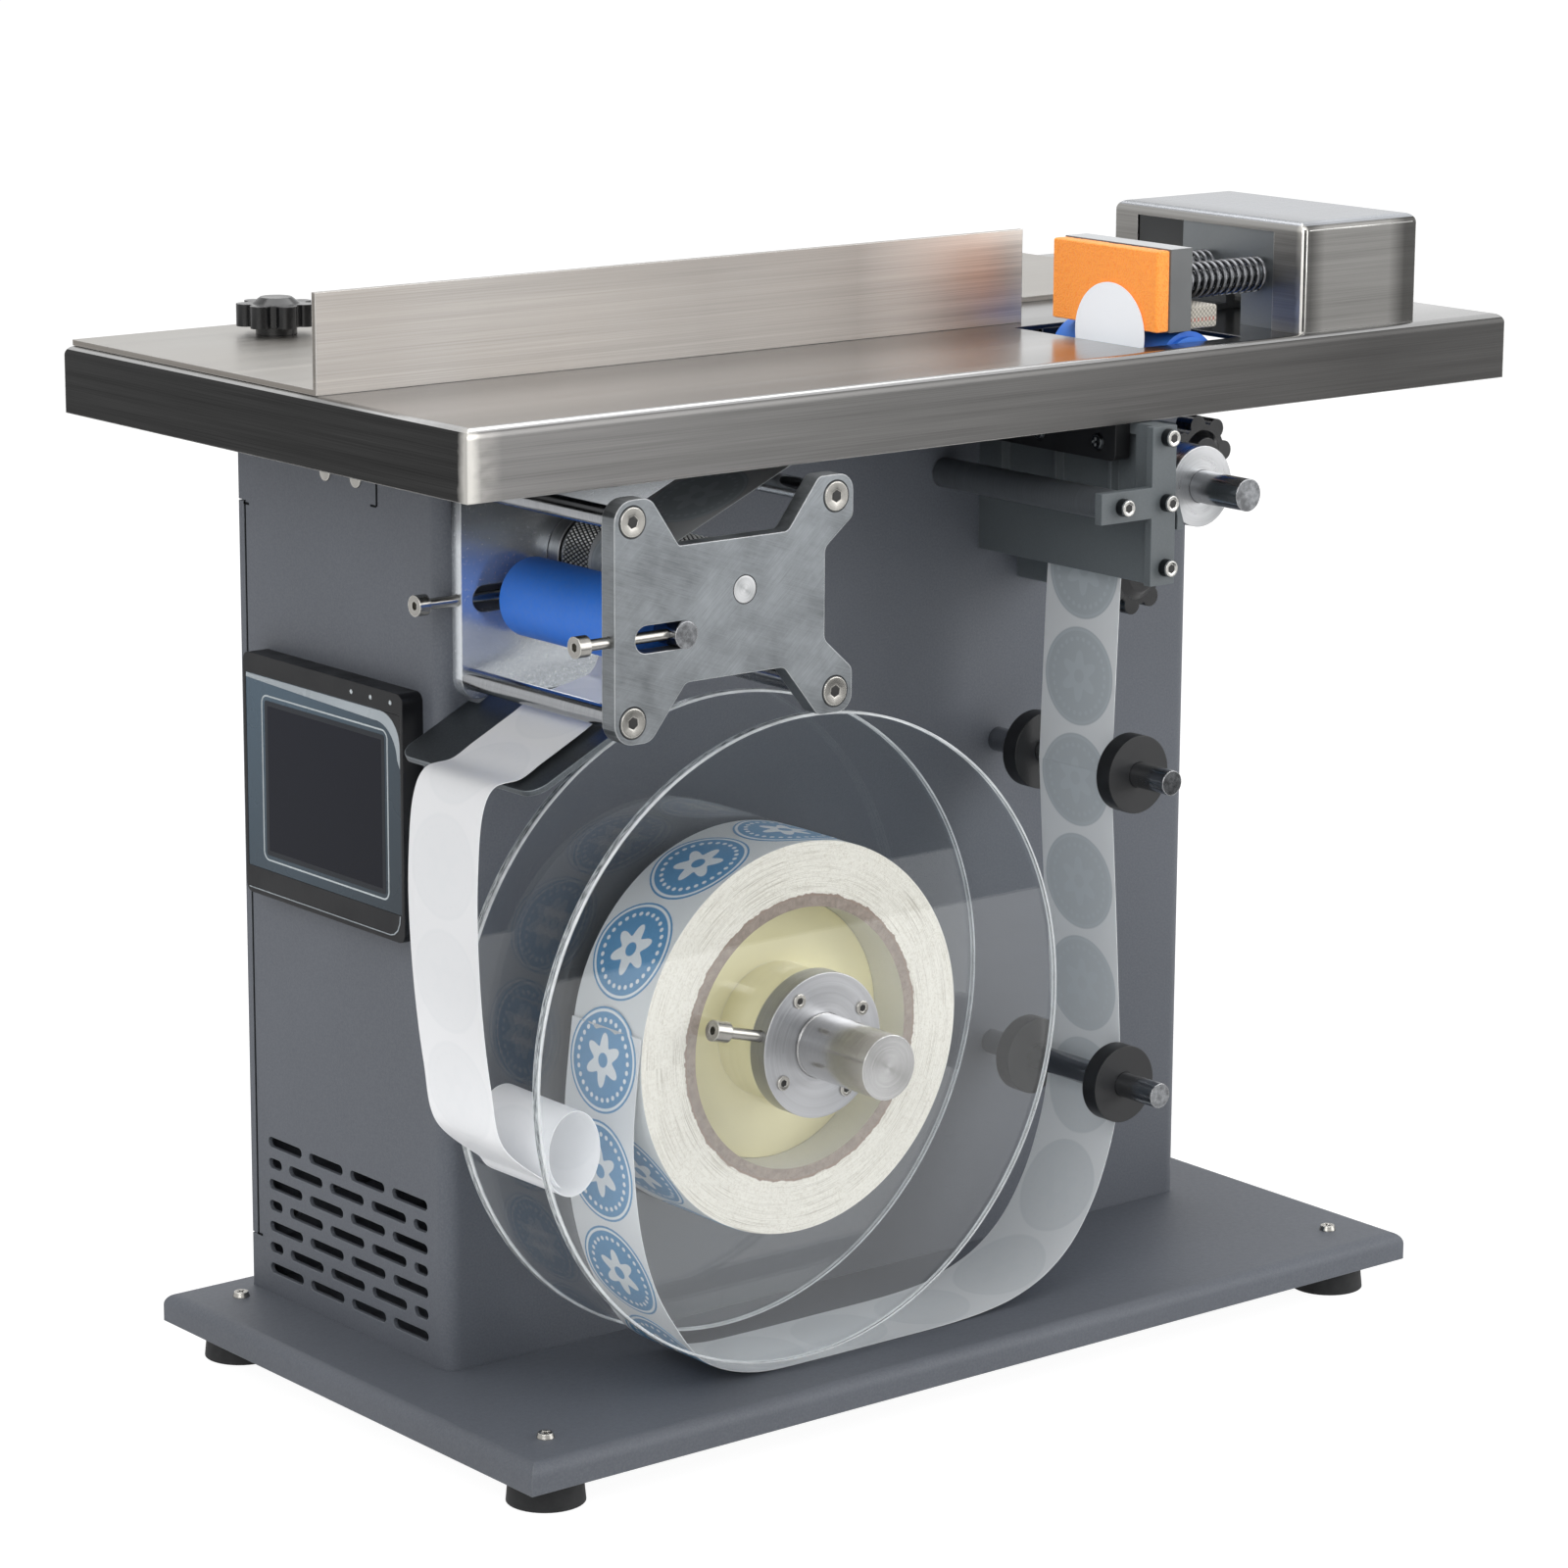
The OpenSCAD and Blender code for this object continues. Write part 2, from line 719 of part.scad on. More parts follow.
// Cabinet shell: bent sheet with a roof below the table, vent slots and a rear opening
module cabinet_shell() {
  placed() color("slategray") difference() {
    slab_z(base_h, cab_top) cabinet_plan(0);
    slab_z(base_h + cab_wall, roof_z) cabinet_plan(cab_wall);
    slab_z(roof_z + cab_wall, cab_top + cut) cabinet_plan(cab_wall);
    block([cab_left - cut, cab_front + cab_d * side_wall_share, roof_z + cab_wall],
          [cab_right + cut, cab_rear + cut, cab_top + cut]);
    block([cab_left - cut, cab_rear - cover_lap, cover_z0],
          [cab_right + cut, cab_rear + cut, cover_z1]);
    slab_x(cab_left - cut, cab_left + cab_wall + cut)
      for (i = [0:vent_rows - 1])
        vent_row(vent_z0 + i * row_pitch, (vent_rows - 1 - i) % 2 == 1);
    block([cab_left - cut, panel_y0 + panel_body_in, panel_z0 + panel_body_in],
          [cab_left + cab_round, panel_y0 + panel_w - panel_body_in,
           panel_z0 + panel_h - panel_body_in]);
    rod_y(reel_x, reel_z, cab_front - cut, cab_front + cab_round, reel_shaft_d + 2);
    rod_y(drive_x, drive_z, cab_front - cut, cab_front + cab_round, spigot_d + 2 * fit_gap);
    rod_z(base_l / 2, cab_rear - cover_strip, base_h - cut, base_h + cab_wall + cut, cover_strip);
    for (p = foot_places) rod_z(p.x, p.y, base_h - cut, base_h + cab_wall + cut, pan_head_d + 2 * seat_gap);
  }
  placed() color("slategray") difference() {
    for (z = [cover_z0 - cab_wall, cover_z1 - cover_strip])
      block([cab_left + cab_wall, cab_rear - 3 * cab_wall, z],
            [cab_right - cab_wall, cab_rear - cab_wall, z + cover_strip + cab_wall]);
    for (p = cover_places)
      rod_y(p.x, p.y, cab_rear - cover_strip, cab_rear, pan_d + 2 * fit_gap);
  }
}

// Sizes of the power inlet and of the rocker switch, both low in the rear cover
inlet_w = 28;
inlet_h = 20;
inlet_in = 34;
inlet_x = cab_left + inlet_in;
inlet_z = cover_z0 + inlet_in;
inlet_deep = 18;
inlet_rim = 3;
rocker_w = 13;
rocker_h = 19;
rocker_gap = 12;
rocker_x = inlet_x + inlet_w + rocker_gap;

// Rear cover with side lips, an inlet cut-out and a switch cut-out
module rear_cover() {
  z0 = cover_z0 + seam / 2;
  z1 = cover_z1 - seam / 2;
  y0 = cab_rear - cover_lap + seam;
  placed() color("slategray") difference() {
    block([cab_left, y0, z0], [cab_right, cab_rear, z1]);
    block([cab_left + cab_wall, y0 - cut, z0 - cut],
          [cab_right - cab_wall, cab_rear - cab_wall, z1 + cut]);
    slab_y(cab_rear - cover_lap, cab_rear + cut) {
      translate([inlet_x, inlet_z]) square([inlet_w, inlet_h] + [fit_gap, fit_gap] * 2, center = true);
      translate([rocker_x, inlet_z])
        square([rocker_w, rocker_h] + [fit_gap, fit_gap] * 2, center = true);
    }
    for (p = cover_places)
      rod_y(p.x, p.y, cab_rear - cover_lap, cab_rear + cut, pan_d + 2 * fit_gap);
  }
}

// A box along Y about x, z, given its width and height
module box_y(x, z, w, h, y0, y1) {
  translate([x - w / 2, y0, z - h / 2]) cube([w, y1 - y0, h]);
}

// Power inlet with its three pins, and the frame of the switch beside it
module power_inlet() {
  deep = cab_rear - inlet_deep;
  edge = 2 * inlet_rim;
  wall = 2 * cab_wall;
  placed() color("black") {
    difference() {
      union() {
        box_y(inlet_x, inlet_z, inlet_w, inlet_h, deep, cab_rear + inlet_rim);
        box_y(inlet_x, inlet_z, inlet_w + edge, inlet_h + edge, cab_rear, cab_rear + inlet_rim / 2);
      }
      box_y(inlet_x, inlet_z, inlet_w - edge, inlet_h - edge, deep + inlet_rim, cab_rear + edge);
    }
    for (i = [-1:1])
      box_y(inlet_x + i * inlet_w / 5, inlet_z, inlet_w / 14, inlet_h / 5, deep + inlet_rim / 2, cab_rear);
    difference() {
      union() {
        box_y(rocker_x, inlet_z, rocker_w, rocker_h, deep, cab_rear + inlet_rim / 2);
        box_y(rocker_x, inlet_z, rocker_w + wall, rocker_h + wall, cab_rear, cab_rear + inlet_rim / 2);
      }
      box_y(rocker_x, inlet_z, rocker_w - wall, rocker_h - wall, cab_rear - inlet_deep / 2, cab_rear + edge);
    }
  }
}

// Rocker of the power switch, tilted about a pin along X
module rocker_switch() {
  half = rocker_h / 2 - cab_wall - 3 * seat_gap;
  wide = rocker_w / 2 - cab_wall - seat_gap;
  placed() color("black") slab_x(rocker_x - wide, rocker_x + wide)
    polygon([[cab_rear - inlet_rim, inlet_z - half], [cab_rear, inlet_z - half],
             [cab_rear + inlet_rim / 2, inlet_z], [cab_rear + inlet_rim, inlet_z + half],
             [cab_rear - inlet_rim, inlet_z + half]]);
}

// Table folded from stainless sheet, with its label opening and two slots for the fence's studs
module table_top() {
  placed() color("lightgray") difference() {
    tray([table_x0, table_y0, table_z - table_h], [table_x1, table_y1, table_z],
         table_wall, table_round);
    block([opening_x0, opening_y0, under_z - cut], [opening_x1, opening_y1, table_z + cut]);
    for (p = [[knob_left_x, knob_left_y], [knob_right_x, knob_right_y]])
      slab_z(under_z - cut, table_z + cut)
        slot_2d([p.x, p.y - fence_travel], [p.x, p.y + fence_travel], stud_slot_w);
  }
}

// Cradles that hang under the table with the blue roller's axle through them
module roller_cradles() {
  front = opening_y0 - cradle_gap - cradle_t;
  rear = opening_y1 + cradle_gap / 3;
  placed() color("gray") {
    for (y = [front, rear])
      block([table_roller_x - cradle_w / 2, y, under_z - cradle_drop],
            [table_roller_x + cradle_w / 2, y + cradle_t, under_z]);
    rod_y(table_roller_x, table_roller_z, front, rear + cradle_t, axle_d);
  }
}

// Blue rubber roller in the table's opening
module table_roller() {
  end = table_roller_d / 16;
  y0 = opening_y0 + end / 4;
  y1 = opening_y1 - 4 * end;
  placed() color("royalblue") difference() {
    union() {
      rod_y(table_roller_x, table_roller_z, y0 + end, y1 - end, table_roller_d);
      rod_y(table_roller_x, table_roller_z, y0, y1, table_roller_d - 2 * end);
    }
    rod_y(table_roller_x, table_roller_z, y0 - cut, y1 + cut, axle_d + 2 * run_gap);
  }
}

// Fence: an upright plate bent from a flange that lies on the table
module fence() {
  placed() color("lightgray") difference() {
    union() {
      block([fence_x0, fence_y0, flange_low], [fence_x1, fence_y0 + fence_t, table_z + fence_h]);
      block([fence_x0, fence_y0, flange_low], [fence_x1, flange_y1, flange_top]);
      block([fence_x1 - fence_t, tail_y0, flange_low], [tail_x1, flange_y1, flange_top]);
    }
    for (p = [[knob_left_x, knob_left_y], [knob_right_x, knob_right_y]])
      rod_z(p.x, p.y, table_z - cut, flange_top + cut, stud_d + 2 * run_gap);
  }
}

// Nuts under the table that the fence's studs pull against
module clamp_nuts() {
  placed() color("silver")
    for (p = [[knob_left_x, knob_left_y], [knob_right_x, knob_right_y]]) difference() {
      rod_z(p.x, p.y, under_z - seat_gap - nut_h, under_z - seat_gap, nut_d);
      rod_z(p.x, p.y, under_z - cut - nut_h - seat_gap, under_z + cut, stud_d + 2 * run_gap);
    }
}

stud_l = fence_t + run_gap + table_wall + seat_gap + nut_h;
module fence_knob_left() {
  placed() color("black") translate([knob_left_x, knob_left_y, flange_top]) star_knob(stud_l);
}
module fence_knob_right() {
  placed() color("black") translate([knob_right_x, knob_right_y, flange_top]) star_knob(stud_l);
}

// Presser plate behind the pad
module presser_plate() {
  placed() color("gray") difference() {
    block([presser_x0, pad_y0, pad_z0], [presser_x1, pad_y1, pad_z0 + pad_h]);
    for (y = guide_y) rod_x(y, guide_z, presser_x1 - guide_in, presser_x1 + cut, guide_d);
  }
}

// Orange pad, with slightly drawn-in edges
module sponge_pad() {
  soft = pad_t / 8;
  placed() color("darkorange") {
    block([pad_x0 + soft, pad_y0, pad_z0], [presser_x0, pad_y1, pad_z0 + pad_h]);
    block([pad_x0, pad_y0 + soft, pad_z0 + soft], [pad_x0 + soft, pad_y1 - soft, pad_z0 + pad_h - soft]);
  }
}

// Rods that carry the presser plate and slide in the guide block
module presser_rods() {
  placed() color("silver") for (y = guide_y)
    rod_x(y, guide_z, presser_x1 - guide_in, block_x0 + block_l + guide_out, guide_d - 2 * run_gap);
}

// One tube along the helix of a spring, from its first to its last curl
spring_rings = 8;
spring_sides = 6;
spring_r = (spring_d - spring_wire) / 2;
spring_span = spring_l - spring_wire;
function coil_at(i) = let (t = i / (spring_curls * spring_rings), a = 360 * spring_curls * t)
  [spring_wire / 2 + spring_span * t, spring_r * cos(a), spring_r * sin(a)];
function coil_ring(i) = let (a = 360 * i / spring_rings, c = coil_at(i))
  [for (k = [0:spring_sides - 1]) let (b = 360 * k / spring_sides)
    c + spring_wire / 2 * [sin(b), cos(a) * cos(b), sin(a) * cos(b)]];
coil_last = spring_curls * spring_rings;
coil_points = [for (i = [0:coil_last]) each coil_ring(i)];
coil_sides = [for (i = [0:coil_last - 1], k = [0:spring_sides - 1])
  let (a = i * spring_sides + k, b = i * spring_sides + (k + 1) % spring_sides)
  each [[a, a + spring_sides, b + spring_sides], [a, b + spring_sides, b]]];
coil_ends = [for (k = [1:spring_sides - 2]) each [[0, k, k + 1],
  [coil_last * spring_sides, coil_last * spring_sides + k + 1, coil_last * spring_sides + k]]];
coil_gap = min([for (i = [0:spring_rings - 1], j = [i + 4:i + 3 * spring_rings])
  norm(coil_at(i) - coil_at(j)) - spring_wire]);
echo(least_gap_of_spring = coil_gap);

// Two springs on the presser's rods, between the plate and the guide block
module presser_springs() {
  placed() color("dimgray") for (y = guide_y)
    translate([presser_x1 + fit_gap, y, guide_z])
      polyhedron(points = coil_points, faces = concat(coil_sides, coil_ends));
}

// Woven pad behind the presser plate that softens its stop
module bumper_pad() {
  y0 = guide_y[0] + spring_d / 2 + 4 * fit_gap;
  placed() color("beige")
    block([presser_x1, pad_y0 + 4 * fit_gap, pad_z0 + 4 * fit_gap],
          [presser_x1 + bumper_l, y0, pad_z0 + bumper_h]);
}

// Block inside the hood, on one leg, that the presser's rods slide through
module guide_block() {
  leg_y1 = pad_y0 + 21.5 * pad_w / 49;
  placed() color("gray") difference() {
    union() {
      block([block_x0, pad_y0, block_z0], [block_x0 + block_l, pad_y1, block_z0 + block_h]);
      block([block_x0, pad_y0, table_z], [block_x0 + block_l, leg_y1, block_z0]);
    }
    for (y = guide_y) rod_x(y, guide_z, block_x0 - cut, block_x0 + block_l + cut, guide_d);
  }
}

// Stainless hood over the guide block, with the presser's window in its left face
module hood() {
  placed() color("lightgray") difference() {
    tray([hood_x0, hood_y0, table_z], [hood_x1, hood_y1, table_z + hood_h], hood_wall, hood_round);
    block([hood_x0 - cut, window_y0, table_z - cut],
          [hood_x0 + 2 * hood_wall, window_y1, table_z + hood_h - window_top]);
  }
}

// Sensor in the hood that sees the presser's rod come back
module trigger_sensor() {
  x0 = block_x0 + block_l + guide_out + presser_travel / 4;
  y0 = pad_y1 + 3 * spring_wire;
  placed() color("dimgray") {
    block([x0 - cradle_w, y0, table_z], [x0, y0 + cradle_w, table_z + cradle_t]);
    block([x0 - cradle_w / 2, y0, table_z + cradle_t],
          [x0 - cradle_w / 4, y0 + cradle_w, guide_z + spring_wire]);
    rod_x(y0 + cradle_w / 2, guide_z - spring_wire - cradle_w / 4, x0 - cradle_w, x0, cradle_w / 2);
  }
}

// Butterfly outline of the drive unit's front plate, in X and Z
plate_outline = outline([
  [plate_x0, row_low - lug_r, lug_r], [col_left + lug_r, row_low - lug_r, lug_r * 0.8],
  [col_left + 3 * lug_r, waist_low, lug_r / 2], [col_right - 3 * lug_r, waist_low, lug_r / 2],
  [col_right - lug_r, row_low - lug_r, lug_r / 2], [col_right + lug_r, row_low - lug_r, lug_r * 0.8],
  [col_right + lug_r, row_low + lug_r, lug_r / 2], [waist_right, waist_low + lug_r, lug_r / 2],
  [waist_right, waist_top - lug_r, lug_r / 2], [col_right + lug_r, row_high - lug_r, lug_r / 2],
  [col_right + lug_r, row_high + lug_r, lug_r * 0.8], [col_right - lug_r, row_high + lug_r, lug_r / 2],
  [col_right - 2.8 * lug_r, waist_top, lug_r / 2], [col_left + 2.6 * lug_r, waist_top, lug_r / 4],
  [col_left + lug_r, row_high + lug_r, lug_r * 0.8], [plate_x0, row_high + lug_r, lug_r]
]);
screw_places = [for (x = [col_left, col_right], z = [row_low, row_high]) [x, z]];

// Slot in which the pinch roller's shaft moves, with a hole for its adjusting screw
module pinch_slot(y0, y1) {
  slab_y(y0 - cut, y1 + cut)
    slot_2d([pinch_x - pinch_travel - seat_gap, pinch_z], [pinch_x, pinch_z], shaft_slot_w);
  rod_x((y0 + y1) / 2, pinch_z, plate_x0 - lug_r, pinch_x - pinch_travel / 2, adjuster_d + 2 * run_gap);
}

// Front plate of the drive unit
module drive_front_plate() {
  placed() color("silver") difference() {
    slab_y(plate_y0, plate_y1) polygon(plate_outline);
    for (p = screw_places) {
      rod_y(p.x, p.y, plate_y0 - cut, plate_y0 + screw_head_h, screw_head_d + 2 * fit_gap);
      rod_y(p.x, p.y, plate_y0 - cut, plate_y1 + cut, screw_head_d / 2 + 2 * fit_gap);
    }
    rod_y(drive_x, drive_z, plate_y0 - cut, plate_y1 + cut, shaft_d + 2 * run_gap);
    pinch_slot(plate_y0, plate_y1);
  }
}

// Back plate of the drive unit, on the cabinet's face
module drive_back_plate() {
  placed() color("gainsboro") difference() {
    slab_y(back_y0, cab_front)
      rounded([plate_x0 + lug_r / 2, back_low], [back_right, back_high], lug_r);
    rod_y(drive_x, drive_z, back_y0 - cut, cab_front + cut, shaft_d + 2 * run_gap);
    pinch_slot(back_y0, cab_front);
  }
}

// Four rods between the drive unit's plates
module standoff_rods() {
  placed() color("silver") for (p = screw_places) difference() {
    rod_y(p.x, p.y, plate_y1, back_y0, standoff_d);
    rod_y(p.x, p.y, plate_y1 - cut, plate_y1 + 2 * screw_head_d, screw_head_d / 2 + 2 * fit_gap);
  }
}

// Places of the bracket's screws in X and Z
bracket_places = [for (i = [0:2]) [m3_x, side_z0 + m3_low + i * m3_pitch]];

// Socket screws of the drive unit's front plate, of the bracket and of the label sensor
module frame_screws() {
  sensor_z = sensor_z0 + sensor_h / 3;
  placed() color("silver") {
    for (p = screw_places) translate([p.x, plate_y0 + screw_head_h, p.y]) rotate([90, 0, 0])
      socket_screw(screw_head_d / 2, screw_head_d, screw_head_h, screw_head_d + screw_head_h);
    for (p = concat(bracket_places, [[tie_x, tie_z]]))
      translate([p.x, side_y0 - front_t, p.y]) rotate([90, 0, 0])
        socket_screw(m3_d, m3_head_d, m3_head_h, front_t + m3_in);
    for (y = [sensor_y0 + sensor_h / 2, sensor_y0 + 2.2 * sensor_h])
      translate([side_x0 - sensor_t, y, sensor_z]) rotate([0, -90, 0])
        pan_screw(m3_d, m3_head_d, m3_head_h / 3, m3_head_h);
  }
}

// Knurled drive roller with its neck, its shaft and the end that enters the gearbox
module drive_roller() {
  placed() color("silver") {
    rod_y(drive_x, drive_z, plate_y0, cab_front + spigot_l, shaft_d);
    rod_y(drive_x, drive_z, knurl_y0, knurl_y1, nip_d);
    rod_y(drive_x, drive_z, knurl_y1, back_y0 - seat_gap, neck_d);
    rod_y(drive_x, drive_z, knurl_y1 + neck_l, back_y0 - seat_gap, drive_collar_d);
  }
}

// Geared motor behind the cabinet's face
module drive_motor() {
  y0 = cab_front + cab_wall;
  placed() color("dimgray") difference() {
    union() {
      rod_y(drive_x, drive_z, cab_front, y0, spigot_d);
      block([drive_x - gearbox_w / 2, y0, drive_z - gearbox_w / 2],
            [drive_x + gearbox_w / 2, y0 + gearbox_l, drive_z + gearbox_w / 2]);
      rod_y(drive_x, drive_z, y0 + gearbox_l, y0 + gearbox_l + motor_l, motor_d);
    }
    rod_y(drive_x, drive_z, cab_front - cut, cab_front + spigot_l + seat_gap, shaft_d + 2 * run_gap);
  }
}

// Shaft of the pinch roller
module pinch_shaft() {
  placed() color("silver")
    rod_y(pinch_x, pinch_z, plate_y0 - front_t / 2, cab_front - back_t / 4, shaft_d);
}

// Blue rubber pinch roller that turns on its shaft
module pinch_roller() {
  placed() color("royalblue")
    ring_y(pinch_x, pinch_z, pinch_y0, pinch_y1, nip_d, shaft_d + 2 * run_gap);
}

// Two screws that push the pinch roller's shaft along its slots
module adjusting_screws() {
  placed() color("silver") for (y = [(plate_y0 + plate_y1) / 2, (back_y0 + cab_front) / 2])
    translate([plate_x0 - adjuster_reach + adjuster_head_l, y, pinch_z]) rotate([0, -90, 0])
      socket_screw(adjuster_d, adjuster_head_d, adjuster_head_l,
                   pinch_x - shaft_d / 2 - plate_x0 + adjuster_reach - adjuster_head_l);
}

// Chute plate that leads the waste liner off, with a folded tab on the cabinet's face
module chute_plate() {
  w = back_y0 - fit_gap - chute_y0;
  full = cab_front - chute_y0;
  tab_x = chute_tip_x + chute_root * cos(chute_angle) - chute_tab_h / 2;
  tab_z = chute_tip_z + (tab_x - chute_tip_x) * tan(chute_angle);
  placed() color("dimgray") {
    translate([chute_tip_x, chute_y0, chute_tip_z]) rotate([0, -chute_angle, 0])
      slab_z(-chute_t, 0)
        polygon(outline([[0, 0, chute_round], [chute_l, 0, chute_t], [chute_l, w, 0],
                         [chute_root, w, 0], [chute_root, full, 0], [0, full, chute_round]]));
    block([tab_x, cab_front - chute_t, tab_z - chute_tab_h],
          [tab_x + chute_tab_l, cab_front, tab_z - chute_t / 4]);
  }
}

// Path of the waste liner in X and Z: from the nip over the chute, down and into its curl
nip_point = [drive_x, drive_z] + (nip_d / 2 + nip_gap + web_t / 2) * [cos(nip_angle), sin(nip_angle)];
chute_dir = [cos(chute_angle), sin(chute_angle)];
liner_float = 1.6;
on_chute = [chute_tip_x, chute_tip_z] + liner_float * [-sin(chute_angle), cos(chute_angle)];
drop_h = 112;
drop_w = 12;
drop_share = [[-0.62, 1.01], [-0.98, 0.94], [-1.12, 0.8], [-1.14, 0.63], [-1.02, 0.42],
              [-0.78, 0.22], [-0.42, 0.05]];
curl_rx = 10.4;
curl_rz = 13.8;
curl_x = 30.6;
curl_z = 94;
curl_from = 228;
curl_to = 535;
leave = 12;
leave_share = [[0.25, -0.9], [0.27, -1.7], [0, -2.25], [-0.5, -2.4]];
waste_path = concat(
  spline(concat([nip_point], [for (s = leave_share) nip_point + leave * [s.x, s.y]],
    [for (t = [1, 0.75, 0.5, 0.3]) on_chute + chute_dir * chute_l * t],
    [on_chute + chute_dir * chute_l * 0.08],
    [for (s = drop_share) [chute_tip_x + s.x * drop_w, curl_z + s.y * drop_h]],
    [[curl_x + curl_rx * cos(curl_from - 12), curl_z + curl_rz * sin(curl_from - 12)]]), 3),
  [for (a = [curl_from:18:curl_to]) let (r = 1 - (a - curl_from) / 2400)
    [curl_x + r * curl_rx * cos(a), curl_z + r * curl_rz * sin(a)]]);

// Waste liner after the nip
module waste_liner() {
  placed() color("white") slab_y(web_y0, web_y1) polygon(ribbon(waste_path, web_t));
}

// Path of the label web in X and Z: the loop below the reel, the two rods, the peel edge, the
// liner rod under the table and the knurled roller. The loop is given as shares of its box.
loop_left = reel_x - roll_d / 2 - 2.9;
loop_w = lower_rod_x + rod_d / 2 + fit_gap + web_t / 2 - loop_left;
loop_low = base_h + fit_gap + web_t;
loop_h = reel_z + 10 - loop_low;
loop_share = [[0.0155, 1], [0.001, 0.775], [0.003, 0.615], [0.017, 0.45], [0.043, 0.31], [0.079, 0.2],
              [0.124, 0.1], [0.18, 0.04], [0.256, 0.006], [0.36, 0], [0.5, 0], [0.64, 0.001], [0.728, 0.012],
              [0.79, 0.034], [0.85, 0.078], [0.905, 0.155], [0.95, 0.27], [0.98, 0.4],
              [0.995, 0.51], [1, 0.6]];
rod_off = fit_gap + web_t / 2;
upper_tangent = [upper_rod_x - rod_d / 2 - rod_off, upper_rod_z];
lower_tangent = [lower_rod_x + rod_d / 2 + rod_off, lower_rod_z + rod_d / 2];
tip_r = peel_tip_r + rod_off;
liner_r = rod_d / 2 + rod_off;
wrap_r = nip_d / 2 + nip_gap + web_t / 2;
wrap_run = [liner_rod_x - drive_x, liner_rod_z - drive_z];
wrap_in = 90 + atan2(wrap_run.y, wrap_run.x) - asin((wrap_r - liner_r) / norm(wrap_run));
peel_run = [peel_tip_x - liner_rod_x, peel_tip_z - liner_rod_z];
peel_out = 90 + atan2(peel_run.y, peel_run.x) - asin((liner_r - tip_r) / norm(peel_run));
web_path = concat(
  spline([for (s = loop_share) [loop_left + s.x * loop_w, loop_low + s.y * loop_h]], 4),
  spline([lower_tangent, (lower_tangent + upper_tangent) / 2, upper_tangent - [0, rod_d / 2],
          upper_tangent + [0, rod_d / 2], [side_x1 + collar_gap - 3 * fit_gap, side_z0],
          [idler_x - idler_d / 2 - 3 * fit_gap - web_t * 2, idler_z]], 4),
  arc([peel_tip_x, peel_tip_z], tip_r, -5, peel_out, 8),
  arc([liner_rod_x, liner_rod_z], liner_r, peel_out, wrap_in, 4),
  arc([drive_x, drive_z], wrap_r, wrap_in, nip_angle, 10));

// Label web up to the nip, with the liner's return under the table
module label_web() {
  placed() color("gainsboro") slab_y(web_y0, web_y1) polygon(ribbon(web_path, web_t));
}

// Round label that stands up from the peel edge
label_x = peel_tip_x + peel_tip_r + fit_gap + web_t + fit_gap;
label_z = table_z + label_d * 0.06;
module dispensed_label() {
  placed() color("whitesmoke") intersection() {
    rod_x(web_mid, label_z, label_x, label_x + web_t, label_d);
    block([label_x - cut, web_y0, peel_tip_z], [label_x + cut, web_y1, table_z + label_d]);
  }
}

// Peel plate: a bent sheet on the bracket's side plate with a thin upper edge
module peel_plate() {
  tip = [peel_tip_x, peel_tip_z];
  lean = [peel_tip_x - side_x1 - peel_t, peel_tip_z - peel_bend];
  across = [-lean.y, lean.x] / norm(lean);
  placed() color("silver") slab_y(peel_y0, peel_y1) {
    polygon([[side_x1, peel_low], [side_x1 + peel_t, peel_low], [side_x1 + peel_t, peel_bend],
             tip - across * peel_tip_r, tip + across * peel_tip_r, [side_x1, peel_bend + peel_t / 2]]);
    translate(tip) circle(peel_tip_r);
  }
}

// Two guide rods of the web and the liner's rod under the table, all on the cabinet's face,
// and the guide roller's shaft
module guide_rods() {
  placed() color("silver") {
    rod_y(upper_rod_x, upper_rod_z, rod_y0, cab_front, rod_d);
    rod_y(lower_rod_x, lower_rod_z, rod_y0, cab_front, rod_d);
    rod_y(liner_rod_x, liner_rod_z, liner_rod_y0, cab_front, rod_d);
    rod_y(idler_x, idler_z, idler_shaft_y0, cab_front, idler_shaft_d);
  }
}

// A guide collar with its bore
module guide_collar(x, z, y) {
  ring_y(x, z, y, y + collar_t, collar_d, rod_d + 2 * run_gap);
}
module rear_guide_collars() {
  placed() color("black") {
    guide_collar(upper_rod_x, upper_rod_z, rear_collar_y);
    guide_collar(lower_rod_x, lower_rod_z, rear_collar_y);
  }
}
module front_collar_upper() {
  placed() color("black") guide_collar(upper_rod_x, upper_rod_z, upper_collar_y);
}
module front_collar_lower() {
  placed() color("black") guide_collar(lower_rod_x, lower_rod_z, lower_collar_y);
}

// Aluminium guide roller on its shaft
module guide_roller() {
  placed() color("gainsboro")
    ring_y(idler_x, idler_z, idler_y0, idler_y1, idler_d, idler_shaft_d + 2 * run_gap);
}

// Side plate of the bracket, with three pockets in its outer face
module bracket_side_plate() {
  wide = (cab_front - side_y0) * pocket_w_share;
  placed() color("dimgray") difference() {
    block([side_x0, side_y0, side_z0], [side_x1, cab_front, side_top]);
    for (i = [0:2]) let (y1 = pocket_y1 + i * (wide + pocket_bar))
      block([side_x0 - cut, max(y1 - wide, side_y0 + m3_in + 2 * pocket_bar), side_z0 + pocket_low],
            [side_x0 + pocket_t, y1, side_top - pocket_rim]);
    for (p = bracket_places)
      rod_y(p.x, p.y, side_y0 - cut, side_y0 + m3_in + seat_gap, m3_d + 2 * fit_gap);
  }
}

